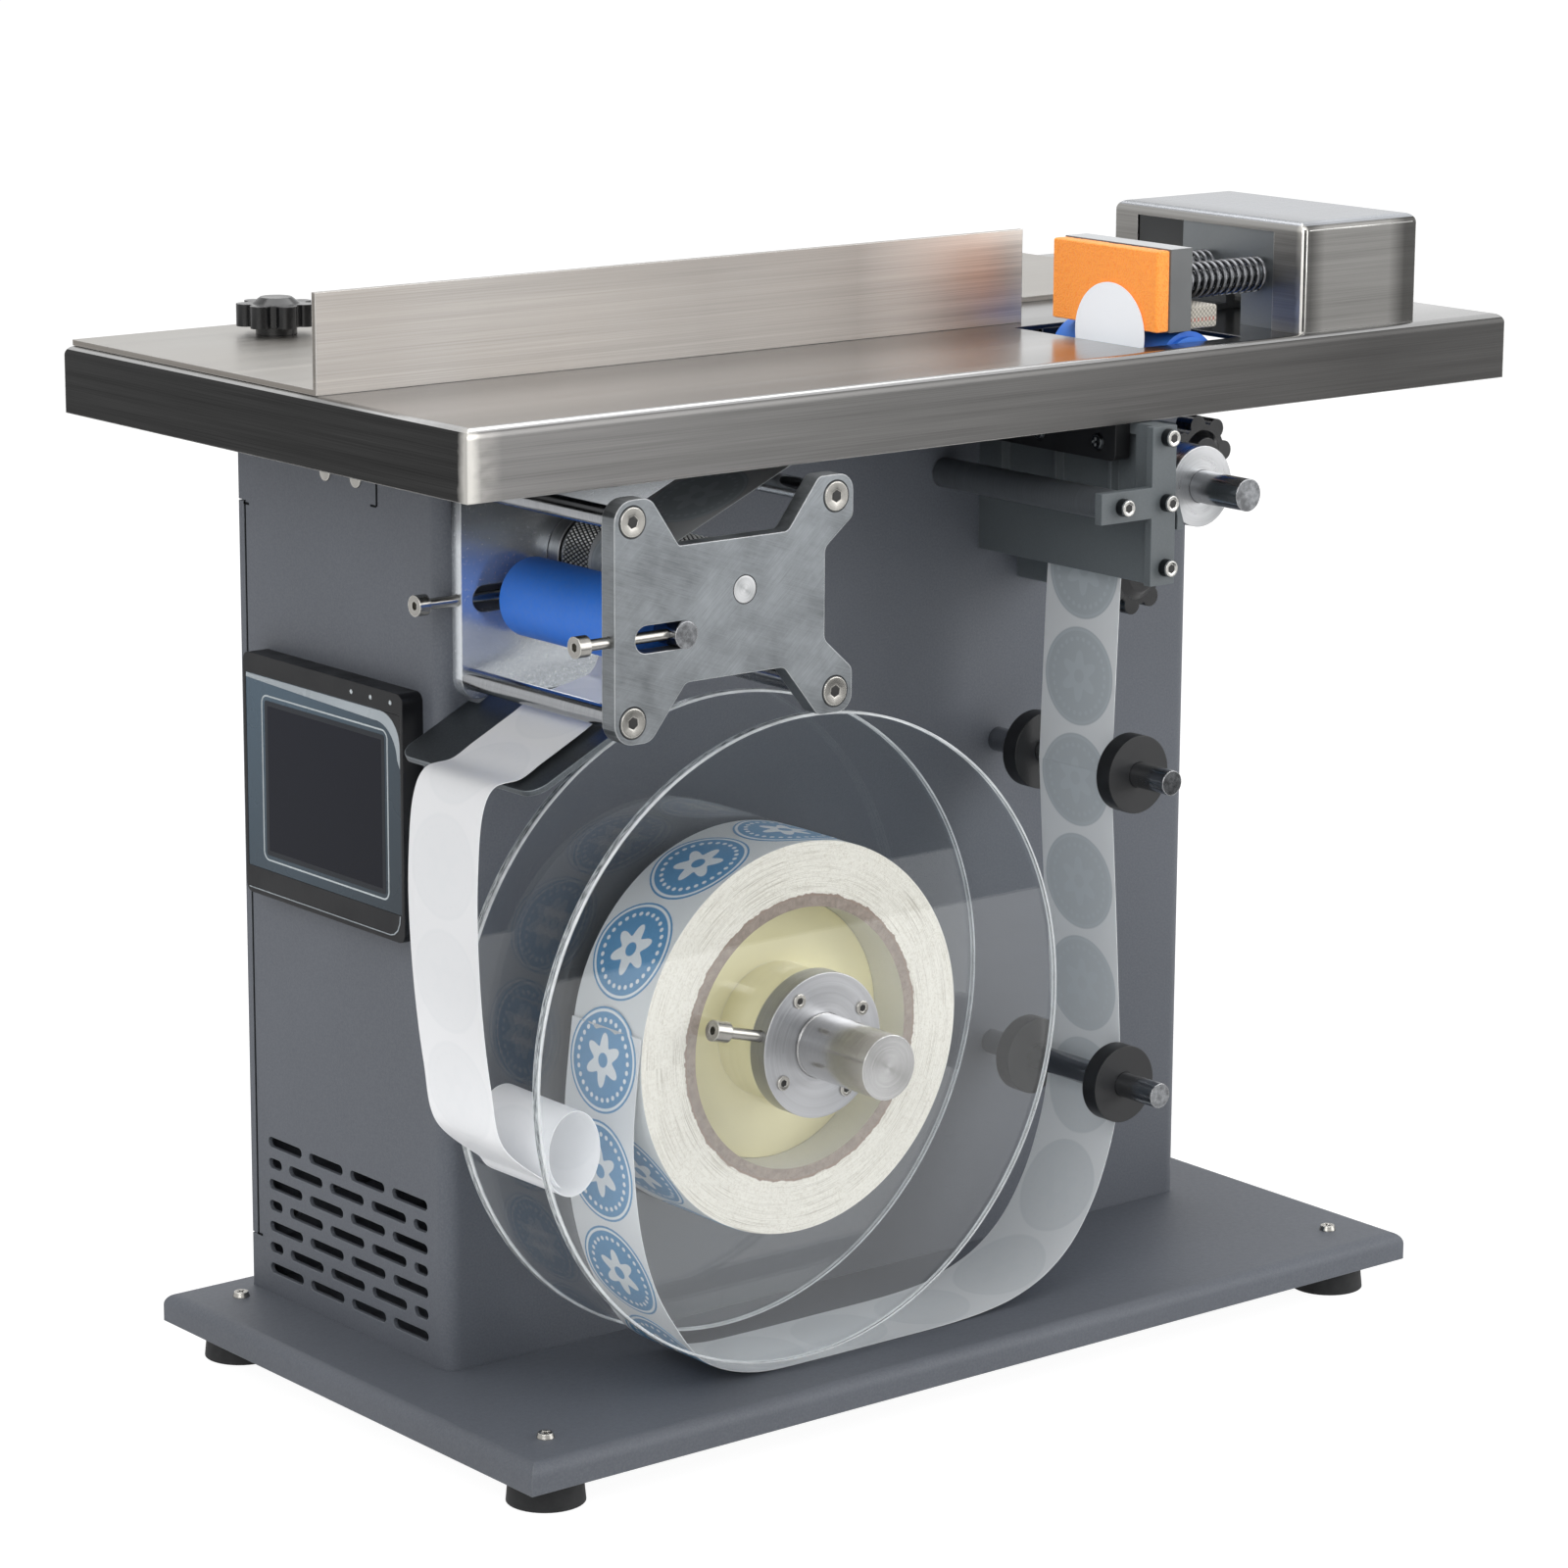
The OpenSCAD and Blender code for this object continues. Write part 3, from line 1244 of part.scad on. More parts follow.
// Front plate of the bracket, with an arm to the tie bar
module bracket_front_plate() {
  y0 = side_y0 - front_t;
  placed() color("dimgray") difference() {
    union() {
      block([front_x0, y0, side_z0], [front_x0 + front_w, side_y0, side_top]);
      block([arm_x0, y0, tie_z - arm_h / 2], [front_x0, side_y0, tie_z + arm_h / 2]);
      slab_y(y0, side_y0) translate([front_x0 + front_w, side_z0 + lug_low])
        polygon([[0, lug_h], [lug_w * 0.3, lug_h / 2], [lug_w * 0.3, 0], [lug_w, 0],
                 [lug_w, lug_h * 0.3], [lug_w * 0.45, lug_h], [-lug_w, lug_h], [-lug_w, lug_h / 2]]);
    }
    for (p = concat(bracket_places, [[tie_x, tie_z]]))
      rod_y(p.x, p.y, y0 - cut, side_y0 + cut, m3_d + 2 * fit_gap);
  }
}

// Tie bar from the cabinet's face to the bracket's arm
module tie_bar() {
  placed() color("dimgray")
    ring_to(tie_x, tie_z, side_y0, cab_front, tie_d, m3_d + 2 * fit_gap, m3_in + seat_gap);
}

// Label sensor: a bar on the bracket's side plate
module label_sensor() {
  r = sensor_t / 3;
  sensor_z = sensor_z0 + sensor_h / 3;
  placed() color("dimgray") difference() {
    slab_x(side_x0 - sensor_t, side_x0)
      rounded([sensor_y0, sensor_z0], [sensor_y0 + sensor_l, sensor_z0 + sensor_h], r);
    for (y = [sensor_y0 + sensor_h / 2, sensor_y0 + 2.2 * sensor_h])
      rod_x(y, sensor_z, side_x0 - sensor_t - cut, side_x0 - sensor_t + m3_head_h + fit_gap,
            m3_d + 2 * fit_gap);
  }
}

// Two bars on the cabinet's face that the bracket's star knobs screw into
bar_places = [[upper_knob_x, upper_knob_z, upper_bar_y], [lower_knob_x, lower_knob_z, lower_bar_y]];
module knob_brackets() {
  placed() color("dimgray") for (p = bar_places) difference() {
    slab_y(p.z, cab_front)
      rounded([p.x - bar_w / 2, p.y - bar_w / 2], [p.x + bar_w / 2, p.y + bar_w / 2], bar_w / 8);
    rod_y(p.x, p.y, p.z - cut, p.z + stud_in + seat_gap, stud_d + 2 * run_gap);
  }
}
module bracket_knob_upper() {
  placed() color("black") translate([upper_knob_x, upper_bar_y, upper_knob_z])
    rotate([90, 0, 0]) star_knob(stud_in);
}
module bracket_knob_lower() {
  placed() color("black") translate([lower_knob_x, lower_bar_y, lower_knob_z])
    rotate([90, 0, 0]) star_knob(stud_in);
}

// Reel shaft, from the front end to inside the cabinet
module reel_shaft() {
  placed() color("silver") {
    rod_y(reel_x, reel_z, reel_shaft_y0, clamp_y - groove_w, reel_shaft_d);
    rod_y(reel_x, reel_z, clamp_y, reel_shaft_y1, reel_shaft_d);
    rod_y(reel_x, reel_z, clamp_y - groove_w - seat_gap, clamp_y + seat_gap, reel_shaft_d - 2 * groove_t);
  }
}

// Bearing housing of the reel shaft inside the cabinet
module reel_bearing() {
  y0 = cab_front + cab_wall;
  placed() color("gray") difference() {
    union() {
      rod_y(reel_x, reel_z, y0, y0 + bearing_flange_t, bearing_flange_d);
      rod_y(reel_x, reel_z, y0, y0 + bearing_l, bearing_d);
    }
    rod_y(reel_x, reel_z, y0 - cut, y0 + bearing_l + cut, reel_shaft_d + 2 * run_gap);
  }
}

// Two clear discs that keep the roll between them
module reel_discs() {
  placed() color("aliceblue", 0.4) for (y = [front_disc_y, rear_disc_y])
    ring_y(reel_x, reel_z, y, y + disc_t, disc_d, reel_shaft_d + fit_gap);
}

// Moulded hub that holds the paper core
module spool_hub() {
  placed() color("khaki") difference() {
    union() {
      rod_y(reel_x, reel_z, front_disc_y + disc_t, hub_y0, boss_d);
      rod_y(reel_x, reel_z, hub_y0, rear_disc_y, hub_d);
    }
    rod_y(reel_x, reel_z, front_disc_y, rear_disc_y + cut, reel_shaft_d + fit_gap);
  }
}

// Paper core of the roll
module paper_core() {
  placed() color("rosybrown") ring_y(reel_x, reel_z, web_y0, web_y1, core_d, core_d - 2 * core_wall);
}

// Wound labels on the core
module label_roll() {
  placed() color("ivory") ring_y(reel_x, reel_z, web_y0, web_y1, roll_d, core_d);
}

// Clamp collars outside the discs, each with a threaded hole for its thumb screw
module clamp_collars() {
  placed() color("silver") for (y = [clamp_y, rear_disc_y + disc_t]) difference() {
    ring_y(reel_x, reel_z, y, y + clamp_t, clamp_d, reel_shaft_d + fit_gap);
    translate([reel_x, y + clamp_t / 2, reel_z]) rotate([0, -thumb_angle + 90, 0])
      cylinder(d = thumb_d + fit_gap, h = clamp_d);
  }
}

// Thumb screws that clamp the collars on the shaft
module thumb_screws() {
  start = reel_shaft_d / 2 + fit_gap;
  shank = clamp_d / 2 + thumb_reach - start;
  placed() color("silver") for (y = [clamp_y, rear_disc_y + disc_t])
    translate([reel_x, y + clamp_t / 2, reel_z]) rotate([0, -thumb_angle + 90, 0])
      translate([0, 0, start + shank]) socket_screw(thumb_d, thumb_head_d, thumb_head_l, shank);
}

// Operator panel: housing with a body behind it and a shallow seat for its glass
module panel_housing() {
  x0 = cab_left - panel_out;
  placed() color("black") difference() {
    union() {
      slab_x(x0, cab_left)
        rounded([panel_y0, panel_z0], [panel_y0 + panel_w, panel_z0 + panel_h], panel_round);
      block([cab_left, panel_y0 + panel_body_in + fit_gap, panel_z0 + panel_body_in + fit_gap],
            [cab_left + panel_body_l, panel_y0 + panel_w - panel_body_in - fit_gap,
             panel_z0 + panel_h - panel_body_in - fit_gap]);
    }
    block([x0 - cut, panel_y0 + glass_in, panel_z0 + glass_low],
          [x0 + glass_t, panel_y0 + panel_w - glass_in, panel_z0 + panel_h - glass_top]);
  }
}

// Glass of the operator panel, flush in its housing
module panel_glass() {
  x0 = cab_left - panel_out;
  placed() color("darkslategray")
    block([x0 + fit_gap, panel_y0 + glass_in + fit_gap, panel_z0 + glass_low + fit_gap],
          [x0 + glass_t, panel_y0 + panel_w - glass_in - fit_gap,
           panel_z0 + panel_h - glass_top - fit_gap]);
}

// Power supply on the cabinet's floor
supply_l = 110;
supply_w = 52;
supply_h = 34;
supply_x = 120;
supply_y = 30;
supply_size = [supply_l, supply_w, supply_h];
supply_feet = 2;
module power_supply() {
  low = [cab_left + supply_x, cab_front + supply_y, base_h + cab_wall + supply_feet];
  placed() color("lightsteelblue") {
    block(low, low + supply_size);
    for (x = [0.1, 0.9], y = [0.1, 0.9])
      rod_z(low.x + supply_size.x * x, low.y + supply_size.y * y, base_h + cab_wall, low.z, 3 * supply_feet);
  }
}

// Control board on posts behind the cabinet's face, with its terminal block and its driver
board_l = 96;
board_t = 1.6;
board_h = 72;
board_x = 176;
board_z = 150;
board_size = [board_l, board_t, board_h];
board_post = 8;
board_post_d = 6;
module control_board() {
  low = [cab_left + board_x, cab_front + cab_wall + board_post, base_h + board_z];
  placed() color("darkgreen") {
    block(low, low + board_size);
    for (x = [0.07, 0.93], z = [0.07, 0.93])
      rod_y(low.x + board_size.x * x, low.z + board_size.z * z, cab_front + cab_wall, low.y, board_post_d);
    block(low + [board_size.x * 0.08, board_size.y, board_size.z * 0.1],
          low + [board_size.x * 0.9, board_size.y + board_post, board_size.z * 0.24]);
    block(low + [board_size.x * 0.3, board_size.y, board_size.z * 0.5],
          low + [board_size.x * 0.65, board_size.y + 2 * board_post, board_size.z * 0.9]);
  }
}

base_plate();
feet();
pan_screws();
cabinet_shell();
rear_cover();
table_top();
drive_back_plate();
drive_front_plate();
standoff_rods();
frame_screws();
drive_motor();
power_supply();
control_board();
power_inlet();
panel_housing();
panel_glass();
chute_plate();
waste_liner();
label_web();
dispensed_label();
guide_rods();
rear_guide_collars();
bracket_side_plate();
bracket_front_plate();
tie_bar();
label_sensor();
knob_brackets();
peel_plate();
roller_cradles();
hood();
guide_block();
trigger_sensor();
reel_bearing();
rocker_switch();
fence();
clamp_nuts();
fence_knob_left();
fence_knob_right();
presser_plate();
presser_rods();
presser_springs();
sponge_pad();
bumper_pad();
drive_roller();
pinch_shaft();
pinch_roller();
adjusting_screws();
reel_shaft();
reel_discs();
spool_hub();
paper_core();
label_roll();
clamp_collars();
thumb_screws();
front_collar_upper();
front_collar_lower();
guide_roller();
bracket_knob_upper();
bracket_knob_lower();
table_roller();
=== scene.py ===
"""Looks of a bench-top label applicator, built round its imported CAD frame.

Lengths are millimetres in the machine frame, unless a name or comment says otherwise. Its origin
is the base plate's front left bottom corner, with X to the right, Y to the back and Z up. place()
turns a point of it into the row frame, in metres.
"""

from __future__ import annotations

import logging
import math
from dataclasses import dataclass, field
from enum import Enum
from typing import Callable, Iterable, Sequence

import bmesh
import bpy
from mathutils import Matrix, Vector, noise


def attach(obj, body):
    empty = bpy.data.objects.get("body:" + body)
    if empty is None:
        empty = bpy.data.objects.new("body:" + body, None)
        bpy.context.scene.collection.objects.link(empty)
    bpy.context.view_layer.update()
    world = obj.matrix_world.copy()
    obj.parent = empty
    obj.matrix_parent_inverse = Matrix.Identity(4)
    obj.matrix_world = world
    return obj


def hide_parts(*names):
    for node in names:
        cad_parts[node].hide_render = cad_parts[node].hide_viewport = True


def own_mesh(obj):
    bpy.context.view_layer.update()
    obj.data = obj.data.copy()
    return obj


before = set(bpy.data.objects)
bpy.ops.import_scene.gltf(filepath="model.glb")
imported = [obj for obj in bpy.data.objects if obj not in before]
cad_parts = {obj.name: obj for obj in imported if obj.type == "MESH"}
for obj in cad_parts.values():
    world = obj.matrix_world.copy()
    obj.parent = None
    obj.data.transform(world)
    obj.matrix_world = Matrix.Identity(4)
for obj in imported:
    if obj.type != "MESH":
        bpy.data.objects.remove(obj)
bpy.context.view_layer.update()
LOG = logging.getLogger("applicator")

MM = 0.001
MID_X, MID_Y, FOOT_H = 193.0, 100.85, 10.0
SMOOTH_ANGLE = math.radians(32)
REEL_AXIS = (116.5, 114.0)
DRIVE_AXIS = (75.5, 260.4)
GUIDE_AXIS = (262.4, 270.8)
WEB_MID_Y = 39.0

Pair = tuple[float, float]
Triple = tuple[float, float, float]
Stops = tuple[Pair, ...]
Socket = bpy.types.NodeSocket
Vert = bmesh.types.BMVert
BMesh = bmesh.types.BMesh


class Body(Enum):
    """The CAD bodies that pieces ride on."""

    FRAME = "frame"
    REEL = "reel"
    PRESSER = "presser"
    KNURLED_ROLLER = "knurled_roller"


def place(x: float, y: float, z: float) -> Vector:
    """Gives a point of the machine frame as a point of the row frame, in metres."""
    return Vector(((x - MID_X) * MM, (y - MID_Y) * MM, (z + FOOT_H) * MM))


def level(axis: int, value: float) -> float:
    """Gives one machine coordinate as the row frame's, in metres."""
    return place(value, value, value)[axis]


def tint(code: str) -> Triple:
    """Gives a display colour such as "8a9096" as linear red, green and blue."""
    parts = [int(code[i : i + 2], 16) / 255 for i in (0, 2, 4)]
    return tuple(c / 12.92 if c <= 0.04045 else ((c + 0.055) / 1.055) ** 2.4 for c in parts)


def shades(code: str, low: float, high: float) -> tuple[Triple, Triple]:
    """Gives a darker and a lighter share of a colour."""
    base = tint(code)
    return tuple(c * low for c in base), tuple(min(1.0, c * high) for c in base)


def operator(kind: str, swapped: bool = False) -> Callable[..., Value]:
    """Gives a method that adds one Math node to the value's own tree."""

    def method(value: Value, other: float | Value = 0.0) -> Value:
        return value.graph.math(kind, *((other, value) if swapped else (value, other)))

    return method


class Value:
    """An output socket in a node tree, with Python's arithmetic for its Math nodes."""

    def __init__(self, graph: Graph, socket: Socket) -> None:
        """Keeps the graph and the socket."""
        self.graph, self.socket = graph, socket

    __add__ = __radd__ = operator("ADD")
    __mul__ = __rmul__ = operator("MULTIPLY")
    __sub__, __rsub__ = operator("SUBTRACT"), operator("SUBTRACT", swapped=True)
    __gt__, __lt__ = operator("GREATER_THAN"), operator("LESS_THAN")
    __abs__ = operator("ABSOLUTE")


Number = float | Value
Tint = Triple | Value


class Graph:
    """Adds nodes to a node tree and joins their sockets."""

    def __init__(self, tree: bpy.types.NodeTree) -> None:
        """Keeps the tree that the nodes go into."""
        self.tree = tree

    def feed(self, socket: Socket, value: object) -> None:
        """Links a Value into a socket, or sets anything else as the socket's own."""
        if isinstance(value, Value):
            self.tree.links.new(value.socket, socket)
        else:
            socket.default_value = (*value[:3], 1.0) if socket.type == "RGBA" else value

    def add(self, kind: str, inputs: dict | None = None, **settings: object) -> bpy.types.Node:
        """Adds a node.

        Args:
            kind: Blender's name of the node type.
            inputs: Socket name or number to what feeds it.
            settings: The node's own properties.

        Returns:
            The new node.
        """
        node = self.tree.nodes.new(kind)
        for key, value in settings.items():
            setattr(node, key, value)
        for key, value in (inputs or {}).items():
            self.feed(node.inputs[key], value)
        return node

    def take(self, kind: str, inputs: dict | None = None, output: int | str = 0, **settings: object) -> Value:
        """Adds a node as add() does and gives one of its outputs."""
        return Value(self, self.add(kind, inputs, **settings).outputs[output])

    def math(self, kind: str, *values: Number, clamp: bool = False) -> Value:
        """Adds a Math node."""
        return self.take("ShaderNodeMath", dict(enumerate(values)), operation=kind, use_clamp=clamp)

    def vector(self, kind: str, *values: object, output: int | str = 0) -> Value:
        """Adds a Vector Math node."""
        return self.take("ShaderNodeVectorMath", dict(enumerate(values)), output, operation=kind)

    def mix(self, fac: Number, a: Tint, b: Tint, kind: str = "MIX") -> Value:
        """Mixes two colours."""
        return self.take("ShaderNodeMix", {0: fac, 6: a, 7: b}, 2, data_type="RGBA", blend_type=kind)

    def blend(self, fac: Number, a: Number, b: Number) -> Value:
        """Mixes two numbers."""
        return self.take("ShaderNodeMix", {0: fac, 2: a, 3: b}, data_type="FLOAT")

    def noise(self, where: Value, scale: Number = 1.0, detail: float = 3.0, rough: float = 0.5) -> Value:
        """Adds a Noise Texture node."""
        inputs = {"Vector": where, "Scale": scale, "Detail": detail, "Roughness": rough}
        return self.take("ShaderNodeTexNoise", inputs, "Fac")

    def span(self, value: Value, low: float, high: float, to_low: float = 0.0, to_high: float = 1.0) -> Value:
        """Maps one range to another and holds the result within it."""
        return self.take("ShaderNodeMapRange", {0: value, 1: low, 2: high, 3: to_low, 4: to_high})

    def dimmed(self, colour: Value, share: Value) -> Value:
        """Multiplies a colour by one number."""
        return self.take("ShaderNodeVectorMath", {0: colour, "Scale": share}, operation="SCALE")

    def hypot(self, a: Value, b: Value) -> Value:
        """Gives the length of two numbers taken as a right angle's sides."""
        return self.math("SQRT", a * a + b * b)

    def split(self, vector: Value) -> tuple[Value, ...]:
        """Separates a vector into X, Y and Z."""
        parts = self.add("ShaderNodeSeparateXYZ", {0: vector}).outputs
        return tuple(Value(self, part) for part in parts)

    def joined(self, x: Number, y: Number, z: Number = 0.0) -> Value:
        """Makes a vector of three numbers."""
        return self.take("ShaderNodeCombineXYZ", {0: x, 1: y, 2: z})

    def group(self, tree: bpy.types.NodeTree, **inputs: object) -> dict[str, Value]:
        """Places a shared group and gives its outputs by name."""
        node = self.add("ShaderNodeGroup", inputs, node_tree=tree)
        return {socket.name: Value(self, socket) for socket in node.outputs}

    def normal(self) -> Value:
        """Gives the face's own normal."""
        return self.take("ShaderNodeNewGeometry", output="Normal")

    def bump(self, height: Value, depth: float, normal: Value | None = None) -> Value:
        """Turns a height of so many metres into a normal."""
        inputs = {"Height": height, "Strength": 1.0, "Distance": depth}
        return self.take("ShaderNodeBump", inputs if normal is None else {**inputs, "Normal": normal})


class Surface(Graph):
    """A material's graph, with its Principled shader and its object coordinates."""

    def __init__(self, material: bpy.types.Material) -> None:
        """Finds the shader and adds the coordinates."""
        super().__init__(material.node_tree)
        self.shader = next(n for n in self.tree.nodes if n.type == "BSDF_PRINCIPLED")
        self.where = self.take("ShaderNodeTexCoord", output="Object")

    def put(self, **values: object) -> None:
        """Feeds the shader's sockets; an underscore stands for a space in a socket's name."""
        for key, value in values.items():
            self.feed(self.shader.inputs[key.replace("_", " ")], value)

    def ramp(self, axis: int, stops: Stops) -> Number:
        """Gives shares that change along an axis in straight pieces between stops."""
        total: Number = stops[0][1]
        spot = self.split(self.where)[axis]
        for (low, a), (high, b) in zip(stops, stops[1:]):
            total = self.span(spot, level(axis, low), level(axis, high), 0.0, b - a) + total
        return total

    def ramped(self, colour: Value, axis: int, stops: Stops) -> Value:
        """Dims a colour by a ramp, where there is one."""
        return self.dimmed(colour, self.ramp(axis, stops)) if stops else colour

    def about(self, axis: Pair) -> tuple[Value, Value, Value]:
        """Gives X and Z from an axis that runs along Y, and the distance, all in metres."""
        off = self.vector("SUBTRACT", self.where, tuple(place(axis[0], WEB_MID_Y, axis[1])))
        x, _, z = self.split(off)
        return x, z, self.hypot(x, z)

    def coat(self, scale: float) -> dict[str, Value]:
        """Places the grain of coats and mouldings."""
        return self.group(EFFECTS["coat"], Vector=self.where, Scale=scale)

    def edge_rub_and_highlight(self, colour: Tint, rim: Triple, rub_and_highlight: float) -> tuple[Value, Value]:
        """Gives the colour with its outer edges turned to the rim's, which stands for rubbing and for a painted edge
        highlight, and a normal with soft edges.
        """
        edge = self.group(EFFECTS["edge"], Wear=rub_and_highlight, Vector=self.where)
        return self.mix(edge["Mask"], colour, rim), edge["Normal"]


Outputs = dict[str, Value]


def node_group(kind: str, name: str, inputs: dict[str, str], fill: Callable[..., Outputs]) -> bpy.types.NodeTree:
    """Builds a node group.

    Args:
        kind: The type of its tree.
        name: The group's name.
        inputs: Name of each input to its kind, such as Float.
        fill: Takes the graph and each input, and returns output name to value.

    Returns:
        The node tree.
    """
    tree = bpy.data.node_groups.new(name, kind)
    for label, sort in inputs.items():
        tree.interface.new_socket(label, in_out="INPUT", socket_type="NodeSocket" + sort)
    graph = Graph(tree)
    entry = graph.add("NodeGroupInput").outputs
    made = fill(graph, *(Value(graph, entry[label]) for label in inputs))
    leave = graph.add("NodeGroupOutput").inputs
    for label, value in made.items():
        sort = {"VALUE": "Float"}.get(value.socket.type, value.socket.type.title())
        tree.interface.new_socket(label, in_out="OUTPUT", socket_type="NodeSocket" + sort)
        graph.feed(leave[label], value)
    return tree


def coat_texture(g: Graph, where: Value, scale: Value) -> Outputs:
    """Fine orange-peel: a height, a slow change of tone and specks."""
    fine = g.noise(where, scale, 2.0, 0.6)
    height = fine * 0.7 + g.noise(where, scale * 0.35, 1.0) * 0.5
    return {"Height": height, "Tone": g.noise(where, 14.0), "Speck": g.span(fine, 0.35, 0.7)}


def brushed_lines(g: Graph, where: Value, normal: Value, fine: Value, long: Value) -> Outputs:
    """Brush lines: along X on faces that look up or down, level on upright faces."""
    x, y, z = g.split(where)
    flat = abs(g.split(normal)[2]) > 0.6
    run = g.joined((x + g.blend(flat, y, 0.0)) * long, g.blend(flat, z, y) * fine, flat * 7.3)
    lines = g.noise(run, 1.0, 4.0, 0.65)
    wide = g.noise(g.vector("MULTIPLY", run, (0.5, 0.12, 1.0)), 1.0, 2.0)
    cloud = g.noise(where, 16.0, 2.0)
    return {"Height": lines, "Tone": lines * 0.6 + wide * 0.4, "Cloud": cloud, "Flat": flat}


def turned_rings(g: Graph, where: Value, centre: Value, pitch: Value) -> Outputs:
    """Turning marks round an axis along Y: rings on ends, lines round the sides, and a painted sheen that changes with
    the angle round the axis.
    """
    x, y, z = g.split(g.vector("SUBTRACT", where, centre))
    turn = g.math("ARCTAN2", z, x)
    run = g.joined(g.hypot(x, z) * pitch, y * pitch, turn * 0.35)
    slow = g.noise(g.vector("MULTIPLY", run, (0.15, 0.15, 1.6)), 1.0, 2.0)
    painted_sheen = abs(g.math("SINE", turn + 0.6))
    return {"Height": g.noise(run, 1.0, 3.0, 0.7), "Tone": slow, "PaintedSheen": painted_sheen}


def ground_rod(g: Graph, where: Value, pitch: Value) -> Outputs:
    """Grinding marks of a rod along Y: fine lines round it and a slow change along it."""
    x, y, z = g.split(where)
    marks = g.noise(g.joined(x * 60.0, y * pitch, z * 60.0), 1.0, 3.0, 0.6)
    return {"Height": marks, "Tone": g.noise(g.vector("MULTIPLY", where, (30.0, 70.0, 30.0)), 1.0, 2.0)}


def edge_mask(g: Graph, rub_and_highlight: Value, where: Value) -> Outputs:
    """Soft edges: a rounded normal and a mask that is 1 on outer edges, for rubbing and a painted edge highlight."""
    soft = g.take("ShaderNodeBevel", {"Radius": 0.0005}, samples=4)
    dot = g.vector("DOT_PRODUCT", soft, g.normal(), output="Value")
    patchy = g.span(g.noise(where, 120.0, 2.0), 0.3, 0.6, 0.8, 1.0)
    return {"Mask": g.span(dot, 0.995, 0.9) * rub_and_highlight * patchy, "Normal": soft}


def paper_fibre(g: Graph, where: Value, scale: Value) -> Outputs:
    """Paper fibres: a fine height and a cloudy tone."""
    return {"Height": g.noise(where, scale, 4.0, 0.7), "Tone": g.noise(where, scale * 0.02, 2.0)}


def label_motif(g: Graph, where: Value) -> Outputs:
    """Generic round motif: a rim line, a ring of dots, a six-petalled rosette and its eye."""
    u, v, _ = g.split(where)
    radius, turn = g.hypot(u, v), g.math("ARCTAN2", v, u)
    rim = g.span(abs(radius - 0.93), 0.02, 0.035, 1.0, 0.0)
    dot_turn = g.math("FRACT", turn * (28 / math.tau)) - 0.5
    dots = g.span(g.hypot(dot_turn * 0.16, radius - 0.75), 0.038, 0.052, 1.0, 0.0)
    petal = g.math("COSINE", turn * 6.0) * 0.12 + 0.40
    rosette = g.span(radius - petal, -0.01, 0.015, 1.0, 0.0)
    pale = g.math("MAXIMUM", g.math("MAXIMUM", rim, dots), rosette)
    return {"Pale": pale, "Eye": g.span(radius, 0.13, 0.15, 1.0, 0.0), "Radius": radius}


VECTOR, SCALE = {"Vector": "Vector"}, {"Vector": "Vector", "Scale": "Float"}
EFFECTS = {
    key: node_group("ShaderNodeTree", fill.__name__, inputs, fill)
    for key, fill, inputs in (
        ("coat", coat_texture, SCALE),
        ("brush", brushed_lines, {**VECTOR, "Normal": "Vector", "Fine": "Float", "Long": "Float"}),
        ("rings", turned_rings, {**VECTOR, "Centre": "Vector", "Pitch": "Float"}),
        ("edge", edge_mask, {"Wear": "Float", **VECTOR}),
        ("fibre", paper_fibre, SCALE),
        ("rod", ground_rod, {**VECTOR, "Pitch": "Float"}),
        ("motif", label_motif, VECTOR),
    )
}


@dataclass(frozen=True)
class Finish:
    """A material by name, colour and roughness; each kind adds its own surface."""

    name: str
    colour: str
    roughness: float = 0.5

    def build(self) -> bpy.types.Material:
        """Makes the material with its nodes."""
        material = bpy.data.materials.new(self.name)
        material.use_nodes = True
        surface = Surface(material)
        surface.put(Roughness=self.roughness, Base_Color=tint(self.colour))
        self.dress(surface)
        return material

    def dress(self, g: Surface) -> None:
        """Adds the finish's own nodes."""
        raise NotImplementedError

    def tone(self, g: Surface, value: Value, low: float, high: float) -> Value:
        """Runs the colour between two shares of itself while a value goes from 0.3 to 0.7."""
        return g.mix(g.span(value, 0.3, 0.7), *shades(self.colour, low, high))

    def rough(self, g: Surface, value: Value, low: float, high: float, less: float, more: float) -> Value:
        """Runs the roughness from so much less to so much more while a value goes from low to high."""
        return g.span(value, low, high, self.roughness - less, self.roughness + more)


@dataclass(frozen=True)
class PowderCoat(Finish):
    """Fine-textured powder coat on sheet steel, and the base of other finely grained finishes."""

    rim: str = "a3a9ad"
    grain: float = 1500.0
    depth: float = 0.00006
    specks: float = 0.10
    rub_and_highlight: float = 0.35
    swing: Pair = (0.93, 1.06)
    spread: Pair = (0.06, 0.08)
    shine: float = 0.42
    metal: float = 0.0
    rise: Stops = ()

    def dress(self, g: Surface) -> None:
        """Adds a fine grain, a slow tone, pale specks, rubbed edges that also carry a painted edge highlight, and
        where given a painted shade by height.
        """
        coat = g.coat(self.grain)
        base = self.tone(g, coat["Tone"], *self.swing)
        # Where a ramp by height is given, it dims the colour as painted shade.
        base = g.ramped(g.mix(coat["Speck"] * self.specks, base, tint(self.rim)), 2, self.rise)
        soft = None
        if self.rub_and_highlight:
            base, soft = g.edge_rub_and_highlight(base, tint(self.rim), self.rub_and_highlight)
        rough = self.rough(g, coat["Height"], 0.3, 0.8, *self.spread)
        g.put(Base_Color=base, Normal=g.bump(coat["Height"], self.depth, soft), Roughness=rough)
        g.put(Specular_IOR_Level=self.shine, Metallic=self.metal)


